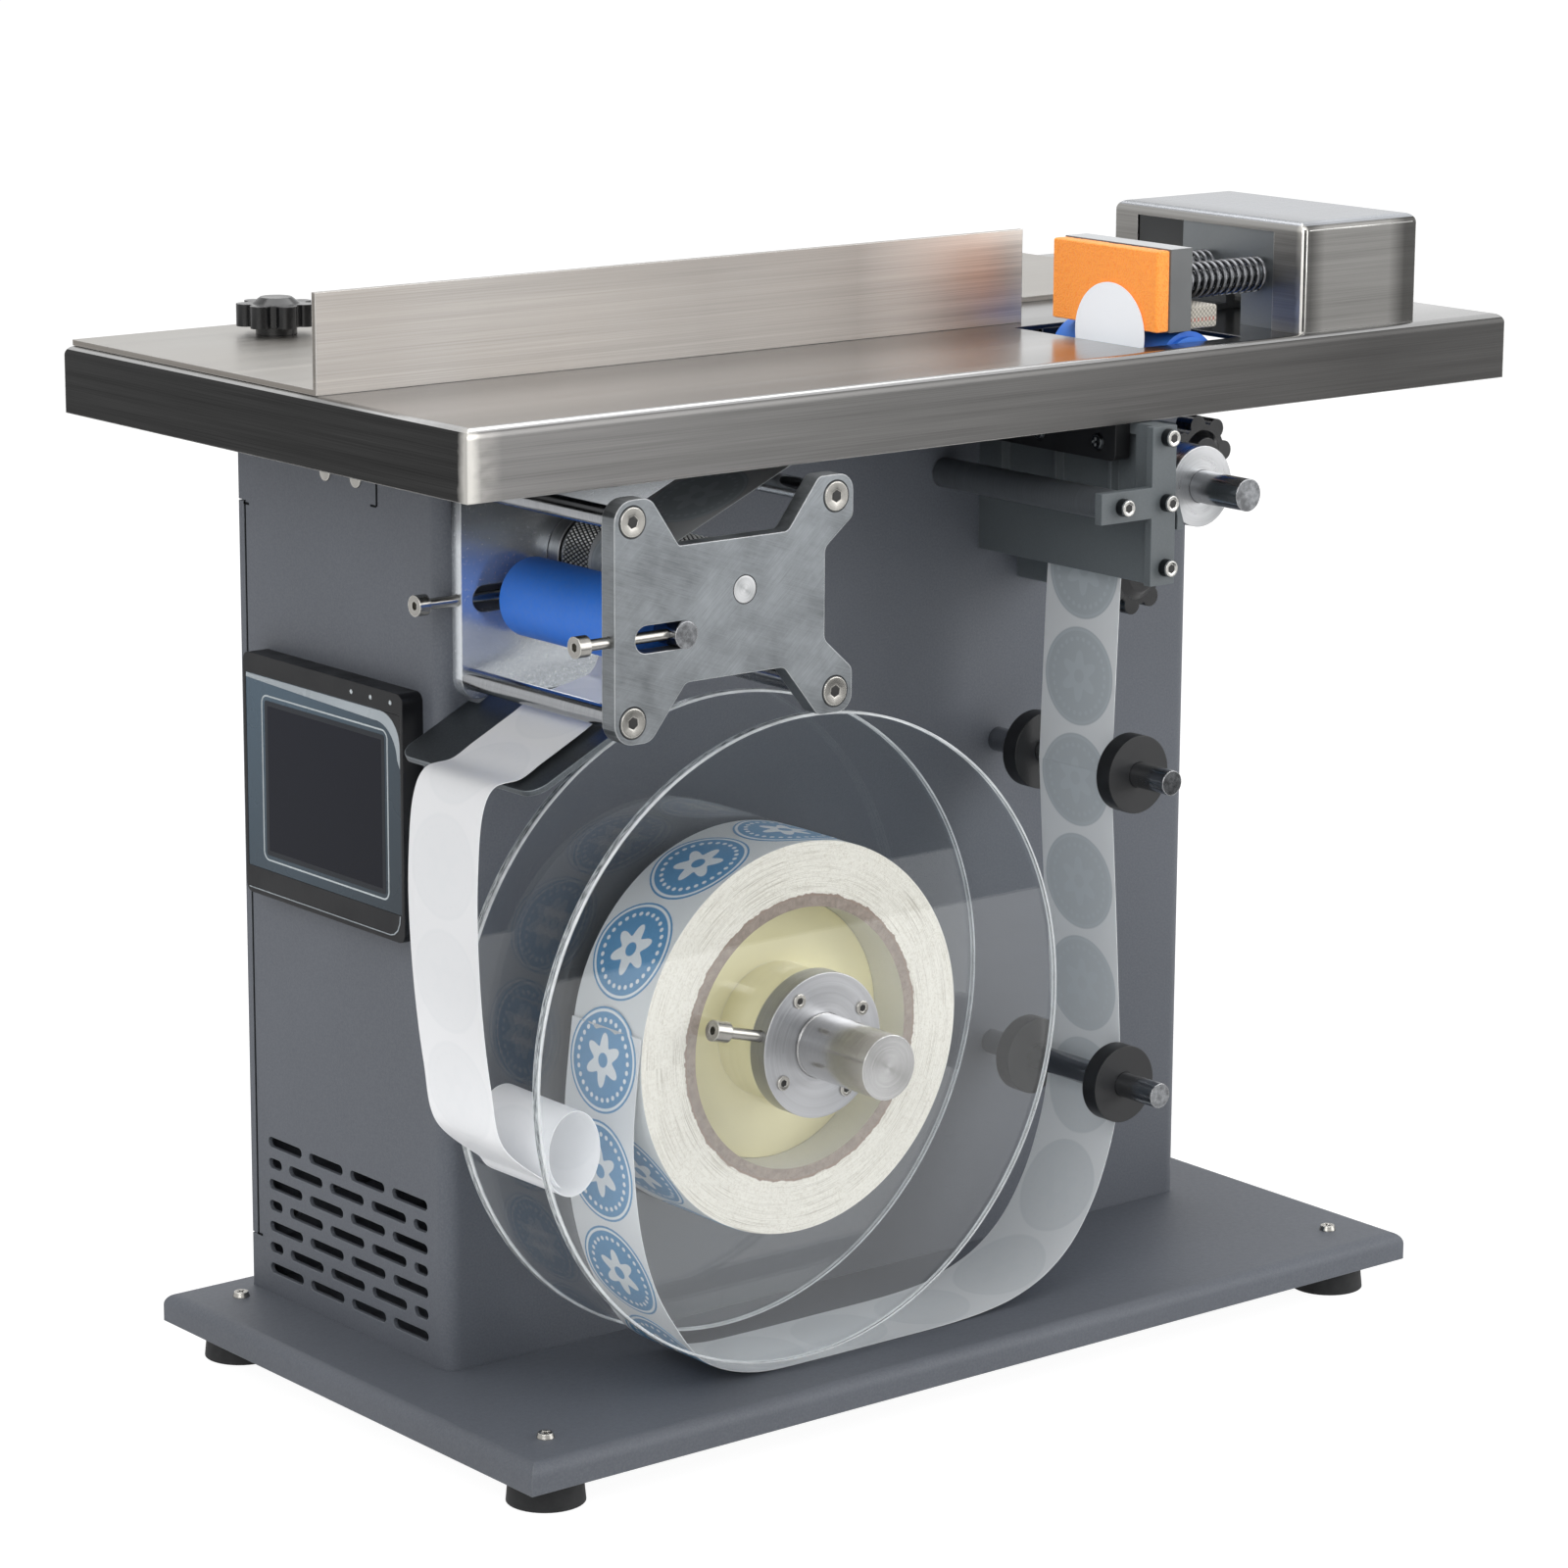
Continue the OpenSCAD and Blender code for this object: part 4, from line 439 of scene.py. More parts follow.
@dataclass(frozen=True)
class BlastedMetal(PowderCoat):
    """Bead-blasted or milled plate with bright broken edges, partly rubbed bare and partly painted highlight."""

    rim: str = "d5d7d8"
    grain: float = 2600.0
    depth: float = 0.00002
    specks: float = 0.18
    rub_and_highlight: float = 1.0
    swing: Pair = (0.9, 1.1)
    spread: Pair = (0.05, 0.08)
    shine: float = 0.5
    metal: float = 1.0


@dataclass(frozen=True)
class Rubber(PowderCoat):
    """Matte rubber or soft plastic with a ground grain and a little dust."""

    rim: str = "7f93b5"
    grain: float = 900.0
    depth: float = 0.00004
    specks: float = 0.12
    rub_and_highlight: float = 0.0
    swing: Pair = (0.88, 1.1)
    spread: Pair = (0.08, 0.08)
    shine: float = 0.5


@dataclass(frozen=True)
class BrushedSteel(Finish):
    """Brushed sheet: its upward faces may be paler and smoother than its upright ones; colours for upright, end and
    downward faces and ramps along X, Y and Z paint reflection and shade.
    """

    side: str = "6e6c68"
    end: str = "6e6c68"
    end_swing: Pair = (0.75, 1.2)
    side_rough: float = 0.36
    warm: Triple = (0.62, 0.57, 0.5)
    warmth: float = 0.22
    across: Stops = ()
    painted_top_across: Stops = ()
    painted_top_deep: Stops = ()
    rise: Stops = ()
    grazing: float = 1.0
    fine: float = 2600.0
    long: float = 14.0
    weld: Triple | None = None
    buffed: float = 0.0
    under: float = 1.0
    hollow: tuple[float, ...] = ()

    def dress(self, g: Surface) -> None:
        """Adds brush lines, cloudy smears, bright edges, a polished weld, painted reflection and shade by face and
        place, and a dull inside with a faint painted glow.
        """
        normal = g.normal()
        facing = g.split(normal)
        brush = g.group(EFFECTS["brush"], Vector=g.where, Normal=normal, Fine=self.fine, Long=self.long)
        line, cloud = (g.span(brush[key], 0.3, 0.7) for key in ("Tone", "Cloud"))
        # Painted reflection: the top's colour runs along X and Y, upright faces take the darker side colour along X,
        # end faces the end colour, and both run by height.
        up = g.ramped(g.mix(line, *shades(self.colour, 0.93, 1.05)), 0, self.painted_top_across)
        up = g.ramped(up, 1, self.painted_top_deep)
        painted_wall = g.ramped(g.mix(line, *shades(self.side, 0.72, 1.22)), 0, self.across)
        lateral = abs(facing[0]) > 0.7
        painted_wall = g.mix(lateral, painted_wall, g.mix(line, *shades(self.end, *self.end_swing)))
        painted_wall = g.ramped(painted_wall, 2, self.rise)
        # Painted shade: faces that look down are dimmed.
        up = g.dimmed(up, g.span(facing[2], -0.8, -0.5, self.under, 1.0))
        base = g.mix(cloud * self.warmth, g.mix(brush["Flat"], painted_wall, up), self.warm, "MULTIPLY")
        base, soft = g.edge_rub_and_highlight(base, (0.8, 0.79, 0.77), 0.75)
        if self.weld:
            base = self.welded(g, base, lateral)
        # Inside the hollow the steel turns a dull grey with a faint emission: painted light that brightens the shade
        # under the hood.
        shade = self.inside(g) if self.hollow else 0.0
        if self.hollow:
            base = g.mix(shade, base, (0.30, 0.31, 0.32))
            g.put(Emission_Color=g.mix(shade, (0, 0, 0), (0.034, 0.034, 0.033)), Emission_Strength=1.0)
        g.put(Metallic=1.0 - shade * 0.85, Base_Color=base)
        rough = g.blend(brush["Flat"], self.side_rough, self.roughness) + (line - 0.5) * 0.12
        g.put(Roughness=rough + shade * 0.25, Normal=g.bump(brush["Height"], 0.000012, soft))
        g.put(Specular_Tint=(self.grazing,) * 3)

    def welded(self, g: Surface, base: Value, lateral: Value) -> Value:
        """Polishes the upright corner weld and buffs the sheet beside it."""
        x, y, size = self.weld
        off = g.vector("SUBTRACT", g.where, tuple(place(x, y, 0)))
        far = g.vector("LENGTH", g.vector("MULTIPLY", off, (1, 1, 0)), output="Value")
        ragged = far + g.noise(g.where, 220.0) * 0.002
        base = g.mix(g.span(ragged, size * MM, size * 2.2 * MM, 0.75, 0.0), base, (0.72, 0.70, 0.66))
        if not self.buffed:
            return base
        swirl = g.noise(g.vector("MULTIPLY", g.where, (160.0, 160.0, 330.0)), 1.0, 1.0, 0.4)
        near = g.span(ragged, size * 1.6 * MM, size * 5.0 * MM, self.buffed, 0.0) * (1.0 - lateral)
        return g.mix(near * g.span(swirl, 0.3, 0.7, 0.3, 1.0), base, (0.62, 0.60, 0.56))

    def inside(self, g: Surface) -> Value:
        """Gives 1 within the hollow and 0 outside it."""
        x0, x1, y0, y1, top = self.hollow
        x, y, z = g.split(g.where)
        across = (x > level(0, x0)) * (x < level(0, x1))
        return across * (y > level(1, y0)) * (y < level(1, y1)) * (z < level(2, top))


@dataclass(frozen=True)
class TurnedMetal(Finish):
    """Turned or ground metal round an axis along Y."""

    axis: Pair = REEL_AXIS
    pitch: float = 2600.0
    swing: float = 0.18
    blotch: float = 1.0

    def dress(self, g: Surface) -> None:
        """Adds turning rings and a painted sheen by angle round the axis."""
        centre = tuple(place(self.axis[0], WEB_MID_Y, self.axis[1]))
        rings = g.group(EFFECTS["rings"], Vector=g.where, Centre=centre, Pitch=self.pitch)
        base = self.tone(g, rings["Height"], 1 - self.swing, 1 + self.swing)
        with_sheen = g.mix(rings["PaintedSheen"] * 0.35, base, (0.85, 0.85, 0.86))
        base, soft = g.edge_rub_and_highlight(with_sheen, (0.86, 0.86, 0.86), 0.6)
        rough = self.rough(g, rings["Tone"], 0.3, 0.7, 0.06 * self.blotch, 0.1 * self.blotch)
        g.put(Base_Color=base, Roughness=rough, Metallic=1.0, Normal=g.bump(rings["Height"], 0.00001, soft))


@dataclass(frozen=True)
class GroundRod(Finish):
    """Ground rod along Y with a clean, lengthwise sheen."""

    pitch: float = 5200.0
    swing: float = 0.12
    metal: float = 1.0

    def dress(self, g: Surface) -> None:
        """Adds grinding lines round the rod, a slow tone along it and patchy cut ends."""
        rod = g.group(EFFECTS["rod"], Vector=g.where, Pitch=self.pitch)
        base = self.tone(g, rod["Height"], 1 - self.swing, 1 + self.swing)
        cut = g.span(abs(g.split(g.normal())[1]), 0.7, 0.9)
        patchy = g.span(g.noise(g.where, 420.0, 3.0, 0.6), 0.35, 0.65, 0.45, 1.0)
        base, soft = g.edge_rub_and_highlight(g.dimmed(base, g.blend(cut, 1.0, patchy)), (0.75, 0.75, 0.76), 0.5)
        g.put(Base_Color=base, Roughness=self.rough(g, rod["Tone"], 0.3, 0.7, 0.04, 0.08))
        g.put(Normal=g.bump(rod["Height"], 0.000004, soft), Metallic=self.metal)


@dataclass(frozen=True)
class Polished(Finish):
    """Plated or drawn metal: smooth, a little cloudy, its edges paler, partly rubbed and partly painted highlight."""

    rim: str = "f2f1ee"

    def dress(self, g: Surface) -> None:
        """Adds a faint cloud and pale edges."""
        base = self.tone(g, g.noise(g.where, 240.0, 2.0), 0.92, 1.06)
        base, soft = g.edge_rub_and_highlight(base, tint(self.rim), 0.8)
        g.put(Base_Color=base, Normal=soft, Metallic=1.0)


@dataclass(frozen=True)
class KnurledMetal(Finish):
    """Knurled steel: bright points, a painted highlight, and dark grooves between them, painted shade."""

    reach: Pair = (12.02, 12.3)
    groove_shade: str = "1d1e20"

    def dress(self, g: Surface) -> None:
        """Colours the points by their height over the roller: bright on the points as painted highlight, dark in the
        grooves as painted shade.
        """
        share = g.span(g.about(DRIVE_AXIS)[2], self.reach[0] * MM, self.reach[1] * MM)
        base = g.mix(g.span(share, 0.15, 0.75), tint(self.groove_shade), tint(self.colour))
        g.put(Base_Color=base, Roughness=g.span(share, 0.0, 1.0, 0.6, self.roughness), Metallic=0.55)


@dataclass(frozen=True)
class ScouredPlate(Finish):
    """Milled plate scoured by hand: cloudy swirls, crossing scratches, bright edges that are partly rubbed and partly
    painted highlight, and painted shade in the gaps at its holes.

    screws holds the middle and half pitch of its four screws in X, then in Z; gaps the radius of the
    gap round a screw and round the shaft, each drawn as a dark ring of painted shade.
    """

    rim: str = "d5d7d8"
    screws: tuple[float, ...] = (72.1, 37.2, 255.2, 29.0)
    gaps: Pair = (4.62, 4.1)

    def dress(self, g: Surface) -> None:
        """Adds clouds, two sets of scratches, bright edges and dark rings of painted shade in the gaps."""
        x, y, z = g.split(g.where)
        cloud = g.noise(g.where, 55.0, 6.0, 0.62)
        lines = []
        for lean, seed in ((0.35, 1.3), (-0.9, 5.1)):
            run = g.joined((x - z * lean) * 90.0, (z + x * lean) * 2600.0, y * 200.0 + seed)
            lines.append(g.noise(run, 1.0, 3.0, 0.7))
        scratch = g.blend(g.span(cloud, 0.4, 0.6), *lines)
        both = g.span(scratch * 0.4 + cloud * 0.6, 0.36, 0.64, 0.3, 0.7)
        base, soft = g.edge_rub_and_highlight(self.tone(g, both, 0.72, 1.32), tint(self.rim), 1.0)
        mid_x, half_x, mid_z, half_z = self.screws
        folded = abs(x - level(0, mid_x)) - half_x * MM, abs(z - level(2, mid_z)) - half_z * MM
        hub = x - level(0, DRIVE_AXIS[0]), z - level(2, DRIVE_AXIS[1])
        # Near-black rings at the gaps round the screws and the shaft: painted shade.
        for spot, reach in zip((folded, hub), self.gaps):
            off = abs(g.hypot(*spot) - reach * MM)
            base = g.mix(g.span(off, 0.16 * MM, 0.34 * MM, 0.85, 0.0), base, (0.012, 0.012, 0.013))
        g.put(Base_Color=base, Normal=g.bump(scratch, 0.000012, soft), Metallic=1.0)
        g.put(Roughness=self.rough(g, cloud, 0.35, 0.65, 0.06, 0.08))


@dataclass(frozen=True)
class Moulded(Finish):
    """Moulded plastic: glossy or satin, with a faint flow texture and rubbed edges that also carry a painted
    highlight.
    """

    shine: float = 0.5
    depth: float = 0.00002
    top: str = ""

    def dress(self, g: Surface) -> None:
        """Adds flow texture, smudges, softened edges and, where a top colour is given, painted light on upward faces.
        """
        coat = g.coat(700.0)
        base = self.tone(g, coat["Tone"], 0.86, 1.14)
        # A paler colour on faces that look up: painted light.
        if self.top:
            base = g.mix(g.split(g.normal())[2] > 0.7, base, tint(self.top))
        lifted = tuple(min(1.0, c * 1.8 + 0.03) for c in tint(self.colour))
        base, soft = g.edge_rub_and_highlight(base, lifted, 0.3)
        rough = self.rough(g, g.noise(g.where, 90.0), 0.35, 0.65, 0.05, 0.1)
        g.put(Base_Color=base, Normal=g.bump(coat["Height"], self.depth, soft), Roughness=rough)
        g.put(Specular_IOR_Level=self.shine)


@dataclass(frozen=True)
class ClearSheet(Finish):
    """Clear acrylic with slightly cloudy cut edges."""

    def dress(self, g: Surface) -> None:
        """Makes the sheet clear and lets light through it to what it covers."""
        rim = g.span(abs(g.split(g.normal())[1]), 0.2, 0.8, 1.0, 0.0)
        g.put(Base_Color=g.mix(rim * 0.35, tint(self.colour), tint("dfe8ea")), Roughness=rim * 0.12)
        g.put(Transmission_Weight=1.0, IOR=1.49)
        rays = g.add("ShaderNodeLightPath").outputs
        light = g.math("MAXIMUM", *(Value(g, rays[kind]) for kind in ("Is Shadow Ray", "Is Diffuse Ray")))
        g.put(Alpha=1.0 - light * 0.92)


@dataclass(frozen=True)
class RimFilm(Finish):
    """Cut edge of the clear discs: bright lines at both corners, a painted highlight for the light the cut edge
    gathers, and a milky band between them.
    """

    planes: tuple[float, ...] = (17.2, 20.2, 57.6, 60.6)

    def dress(self, g: Surface) -> None:
        """Makes the corners nearly solid and pale, a painted highlight, and the band between them milky from outside
        and mostly clear from inside.
        """
        y = g.split(g.where)[1]
        near: Number = 1.0
        for plane in self.planes:
            near = g.math("MINIMUM", near, abs(y - level(1, plane)))
        # The pale lines at both corners are painted highlight, broken up by noise.
        line = g.span(near, 0.3 * MM, 0.6 * MM, 1.0, 0.0)
        broken = g.span(g.noise(g.where, 70.0, 3.0, 0.6), 0.35, 0.65, 0.55, 1.0)
        saw = g.noise(g.vector("MULTIPLY", g.where, (300.0, 2600.0, 300.0)), 1.0, 2.0)
        x, z, _ = g.about(REEL_AXIS)
        away = g.vector("NORMALIZE", g.joined(x, 0.0, z))
        facing = g.vector("DOT_PRODUCT", away, g.normal(), output="Value")
        outside = g.span(facing, 0.3, 0.6)
        milky = g.blend(outside, 0.16, g.span(saw, 0.35, 0.7, 0.5, 0.92))
        streak = g.mix(g.span(saw, 0.35, 0.65), tint("7d8488"), tint("d3d8da"))
        g.put(Alpha=g.blend(line, milky, broken * g.blend(outside, 0.62, 0.95)))
        g.put(Base_Color=g.mix(line, streak, tint(self.colour)))


@dataclass(frozen=True)
class RollPaper(Finish):
    """Paper wound on a core, seen edge on, with the outer wrap's liner round it."""

    def dress(self, g: Surface) -> None:
        """Adds fine windings that change tone and stand a little proud, and the core's torn edge."""
        x, z, radius = g.about(REEL_AXIS)
        turn = g.math("ARCTAN2", z, x)
        run = g.joined(radius * 4200.0, turn * 2.4)
        winding = g.noise(run, 1.0, 4.0, 0.7)
        patch = g.noise(g.vector("MULTIPLY", run, (0.03, 0.55, 1.0)), 1.0, 2.0)
        grain = g.noise(g.where, 1500.0, 3.0, 0.7)
        face = abs(g.split(g.normal())[1]) > 0.7
        gap = g.span(winding, 0.5, 0.33) * g.span(patch, 0.4, 0.6, 0.35, 1.0)
        base = g.mix(gap, tint(self.colour), tint("a29b8c"))
        base = g.mix(g.span(grain, 0.48, 0.7, 0.0, 0.5), base, tint("c3bcab"))
        torn = g.span(g.noise(g.joined(turn * 9.0, 0.0), 1.0, 4.0, 0.7), 0.3, 0.7, 0.0003, -0.0011)
        base = g.mix(g.span(radius + torn, 0.0442, 0.0444, 1.0, 0.0), base, tint("9b8a7e"))
        height = (winding + grain * 0.5) * face
        g.put(Base_Color=g.mix(face, tint("dfe3e4"), base), Normal=g.bump(height, 0.0001))


@dataclass(frozen=True)
class CoreBoard(Finish):
    """Grey-brown core board with a pale plastic lining in its bore."""

    lining: str = "cdccc6"

    def dress(self, g: Surface) -> None:
        """Adds fibres and the lining."""
        fibre = g.group(EFFECTS["fibre"], Vector=g.where, Scale=500.0)
        inner = g.span(g.about(REEL_AXIS)[2], 0.0412, 0.0413, 1.0, 0.0)
        inner = inner * g.span(abs(g.split(g.normal())[1]), 0.4, 0.6, 1.0, 0.0)
        base = g.mix(inner, self.tone(g, fibre["Height"], 0.72, 1.12), tint(self.lining))
        g.put(Base_Color=base, Normal=g.bump(fibre["Height"], 0.0003))


@dataclass(frozen=True)
class Paper(Finish):
    """White label face with fibres and a faint emission: painted light that stands for light through it from behind.
    """

    other: str = "eceff4"
    glow: float = 0.16

    def dress(self, g: Surface) -> None:
        """Adds fibres and a cloudy second colour."""
        fibre = g.group(EFFECTS["fibre"], Vector=g.where, Scale=700.0)["Height"]
        base = g.mix(g.span(fibre, 0.3, 0.7), tint(self.other), tint(self.colour))
        g.put(Base_Color=base, Emission_Color=base, Emission_Strength=self.glow)
        g.put(Normal=g.bump(fibre, 0.000008))


@dataclass(frozen=True)
class LinerFilm(Finish):
    """Siliconed liner: translucent, satin, with the labels on its far side showing faintly.

    discs, the tone's ramp and glow are shares by height: how far the labels show, a painted shade, and a painted glow
    that stands for light through the paper.
    """

    through: float = 0.08
    ghost: str = "98a4ab"
    discs: Stops = ()
    painted_shade: Stops = ()
    glow: Stops = ()
    pitch: float = 34.3
    disc_r: float = 16.0

    def dress(self, g: Surface) -> None:
        """Adds fibres and, along the strip's UV map, the pale discs."""
        fibre = g.group(EFFECTS["fibre"], Vector=g.where, Scale=600.0)
        # The ramp by height dims the tone: painted shade.
        base = g.ramped(self.tone(g, fibre["Tone"], 0.95, 1.04), 2, self.painted_shade)
        u, v, _ = g.split(g.take("ShaderNodeUVMap", uv_map="along"))
        spot = g.joined((g.math("FRACT", u) - 0.5) * (self.pitch / self.disc_r), v * (1 / self.disc_r))
        motif = g.group(EFFECTS["motif"], Vector=spot)
        disc = g.span(motif["Radius"], 1.0, 0.97) * g.ramp(2, self.discs)
        pale = g.math("MULTIPLY", (motif["Pale"] - motif["Eye"]) * disc, 0.6, clamp=True)
        base = g.mix(pale, g.mix(disc, base, tint(self.ghost)), tint("cdd5da"))
        g.put(Base_Color=base, Normal=g.bump(fibre["Height"], 0.00001), Alpha=1.0 - self.through)
        # Emission by height: painted light through the paper.
        g.put(Emission_Color=g.dimmed(base, g.ramp(2, self.glow)), Emission_Strength=1.0)


@dataclass(frozen=True)
class PrintedLabel(Finish):
    """Round printed label: a plain blue disc with a pale rim, a dotted ring and a rosette."""

    def dress(self, g: Surface) -> None:
        """Draws the generic motif from the label's own UV map."""
        motif = g.group(EFFECTS["motif"], Vector=g.take("ShaderNodeUVMap", uv_map="label"))
        ink = self.tone(g, g.noise(g.where, 1400.0, 2.0), 0.94, 1.06)
        printed = g.mix(motif["Eye"], g.mix(motif["Pale"], ink, tint("e9eff2")), tint(self.colour))
        g.put(Base_Color=printed, Coat_Weight=0.25, Coat_Roughness=0.2)


@dataclass(frozen=True)
class Foam(Finish):
    """Open-cell foam: pores of two sizes, darker as painted shade, a soft sheen and a faint painted glow."""

    pore_shade: str = "f48f34"

    def dress(self, g: Surface) -> None:
        """Adds the pores, darker as painted shade, and a faint emission that paints the foam brighter."""
        small, wide = (
            g.span(g.take("ShaderNodeTexVoronoi", {"Vector": g.where, "Scale": scale}, "Distance"), *reach)
            for scale, reach in ((1500.0, (0.15, 0.6)), (520.0, (0.1, 0.35)))
        )
        pores = small * wide
        colour = g.mix(pores, tint(self.pore_shade), tint(self.colour))
        g.put(Base_Color=colour, Normal=g.bump(pores, 0.00014), Sheen_Weight=0.25)
        # Painted light: a faint emission brightens the foam.
        g.put(Emission_Color=colour, Emission_Strength=0.2)


@dataclass(frozen=True)
class Webbing(Finish):
    """Plain-woven webbing with one coloured tracer thread."""

    tracer: str = "b5443a"

    def dress(self, g: Surface) -> None:
        """Adds the weave from the strap's own UV map, in threads."""
        u, v, _ = g.split(g.take("ShaderNodeUVMap", uv_map="weave"))
        warp, weft = (g.math("SINE", way * math.pi) for way in (u, v))
        height = warp * weft
        # The weave's low points are darker: painted shade between the threads.
        base = g.mix(g.span(height, -0.5, 0.7), *shades(self.colour, 0.5, 1.0))
        line = abs(v - 3.5) < 0.8
        dyed = g.mix(line * g.span(warp, -0.2, 0.4, 0.0, 0.6), base, tint(self.tracer))
        g.put(Base_Color=dyed, Normal=g.bump(height, 0.0002), Sheen_Weight=0.3)


@dataclass(frozen=True)
class GlassFilm(Finish):
    """Printed film under a clear cover."""

    shine: float = 0.3
    swing: float = 0.3

    def dress(self, g: Surface) -> None:
        """Adds a tone that grows lighter upward and darker towards the front, and a few smears."""
        _, y, z = g.split(g.where)
        fade = g.span(z, level(2, 150), level(2, 215), 0.3, 0.7)
        base = self.tone(g, fade, 1 - self.swing, 1 + self.swing)
        base = g.dimmed(base, g.span(y, level(1, 95), level(1, 150), 1 - 1.5 * self.swing, 1.0))
        rough = self.rough(g, g.noise(g.where, 45.0), 0.4, 0.7, 0.0, 0.12)
        g.put(Base_Color=base, Roughness=rough, Specular_IOR_Level=self.shine)


SLATE = PowderCoat("slate_powder_coat", "5a5e66", 0.52)
BRACKET = PowderCoat("dark_powder_coat", "5d6366", 0.46, rim="8b9297", grain=2200.0, depth=0.00003)
# The table's darker side and end colours and its ramps paint reflections of the room and the fence; its dimmed
# downward faces are painted shade.
TABLE = BrushedSteel(
    "brushed_table_steel", "b8b8b8", 0.19, side="6f6e6d", end="2e2e2e", end_swing=(0.5, 1.75),
    warm=(0.93, 0.92, 0.90), weld=(-14.5, 7.4, 2.6), buffed=0.45, under=0.35, grazing=0.85,
    across=((-14.5, 1.25), (40.0, 1.05), (140.0, 0.74), (240.0, 0.54), (340.0, 0.34), (400.5, 0.37)),
    painted_top_across=((-14.5, 1.0), (160.0, 0.9), (300.0, 0.84), (400.5, 1.0)),
    painted_top_deep=((7.0, 1.0), (20.0, 1.05), (38.0, 1.38), (52.0, 1.25), (70.0, 0.72), (84.0, 0.66), (95.0, 1.0)),
)  # fmt: skip
# The fence's side and end colours and its ramp along X paint reflections; its ramp by height paints a brighter foot
# and a bright line near 318 mm as highlight.
FENCE = BrushedSteel(
    "brushed_fence_steel", "b2b0ac", 0.36, side="a19d99", side_rough=0.5, end="8d8984", fine=2200.0,
    long=10.0, warm=(0.80, 0.73, 0.66), warmth=0.32, grazing=0.85,
    across=((-12.5, 1.1), (40.0, 1.08), (80.0, 1.02), (130.0, 0.86), (190.0, 0.88), (235.0, 1.75), (258.5, 2.6)),
    rise=((313.8, 1.1), (317.6, 1.06), (317.9, 1.22), (318.3, 0.98), (343.8, 1.0)),
)  # fmt: skip
# The hood's ramps along X paint darker bands at its upright edges and a darker left edge on its top as reflection; its
# end colour is a painted tone for faces that look sideways, and its hollow gets a painted glow.
HOOD = BrushedSteel(
    "brushed_hood_steel", "b6b9be", 0.26, side="6d6c6a", end="9d9c9a", weld=(310.6, 11.4, 1.6),
    warm=(0.88, 0.86, 0.83), across=((310.6, 0.5), (315.0, 0.42), (321.0, 1.0), (350.0, 1.0), (357.0, 0.34)),
    painted_top_across=((311.0, 0.72), (324.0, 1.0)), grazing=0.9, hollow=(311.7, 360.8, 12.4, 96.9, 347.9),
)  # fmt: skip
PLAIN_STEEL = GroundRod("ground_steel", "9a9c9f", 0.16)
TIE_STEEL = GroundRod("dark_ground_steel", "6a6e72", 0.42, metal=0.6)
SHAFT_STEEL = TurnedMetal("reel_shaft_steel", "b0b0af", 0.2, pitch=3000.0, blotch=0.15)
COLLAR_ALLOY = TurnedMetal("collar_alloy", "9a9ca0", 0.34)
GUIDE_ALLOY = TurnedMetal("guide_roller_alloy", "8f9193", 0.3, GUIDE_AXIS, 3000.0, swing=0.25)
DRIVE_STEEL = TurnedMetal("knurled_steel", "a9abac", 0.34, DRIVE_AXIS)
PLATE_ALLOY = ScouredPlate("scoured_plate", "7e8285", 0.4)
# Painted shade: the back plate grows darker upward, where the table shades it and its dark underside is reflected.
MIRROR_PAINTED_SHADE = ((200.0, 1.0), (266.0, 1.0), (274.0, 0.45), (280.0, 0.22), (295.0, 0.15))
MIRROR_ALLOY = BlastedMetal("back_plate_polish", "dde2e7", 0.2, metal=0.82, rise=MIRROR_PAINTED_SHADE)
BLOCK_ALLOY = BlastedMetal("guide_block_alloy", "8b8f92", 0.42, "98a1a7")
CHUTE_STEEL = BlastedMetal("chute_steel", "565b5f", 0.38, "9aa1a5")
PLATED = BlastedMetal("zinc_plate", "a6adb2", 0.42)
SCREW_STEEL = Polished("nickel_screw", "a3a19c", 0.24, "e4e2dc")
DARK_STEEL = Polished("black_oxide_steel", "3c3f42", 0.34, "8d9294")
SOCKET_STEEL = Polished("bright_socket", "c2c1bd", 0.16)
BEAD_STEEL = Polished("weld_bead", "e2e1dd", 0.3)
SPRING_STEEL = Polished("spring_steel", "6c6d70", 0.12, "9a9b9d")
KNURL_STEEL = KnurledMetal("knurled_surface", "f2f2f0", 0.3)
BLUE_RUBBER = Rubber("blue_rubber", "2b78e2", 0.55)
BLACK_RUBBER = Rubber("black_rubber", "17181a", 0.7, "4a4b4d")
CARD = Rubber("dark_card", "26282b", 0.9, "303236")
BLACK_KNOB = Moulded("glossy_black_knob", "121315", 0.2)
BLACK_SATIN = Moulded("satin_black_plastic", "17181a", 0.42)
SENSOR_GREY = Moulded("sensor_grey_plastic", "8f9193", 0.5)
# Its paler top colour is painted light on the upward face.
GREY_PLATE = Moulded("grey_presser_plate", "696b6c", 0.62, depth=0.00004, top="b9bbbd")
PANEL_BODY = Moulded("panel_housing_plastic", "17181b", 0.34, shine=0.22)
CREAM = Moulded("cream_hub_plastic", "f2ebc2", 0.42)
GREEN_BOARD = Moulded("circuit_board", "2c6b46", 0.4)
SOCKET_SHADE = Moulded("socket_shadow", "131211", 0.35)
# Painted shade: dark sheets set where slits, holes and gaps are.
GAP_SHADE = Moulded("painted_gap_shade", "101214", 0.8, shine=0.1)
WHITE_LINE = Moulded("printed_line", "c9d2d6", 0.5)
# A pale grey for the painted highlight band over the panel's film and for its lower line.
PALE_GREY = Moulded("pale_grey", "a9b2b8", 0.3)
ACRYLIC = ClearSheet("clear_acrylic", "fafcfd", 0.0)
RIM = RimFilm("acrylic_edge", "eef2f4", 0.25)
ROLL = RollPaper("wound_label_paper", "f5f2e8", 0.7)
CORE = CoreBoard("core_board", "a3968c", 0.85)
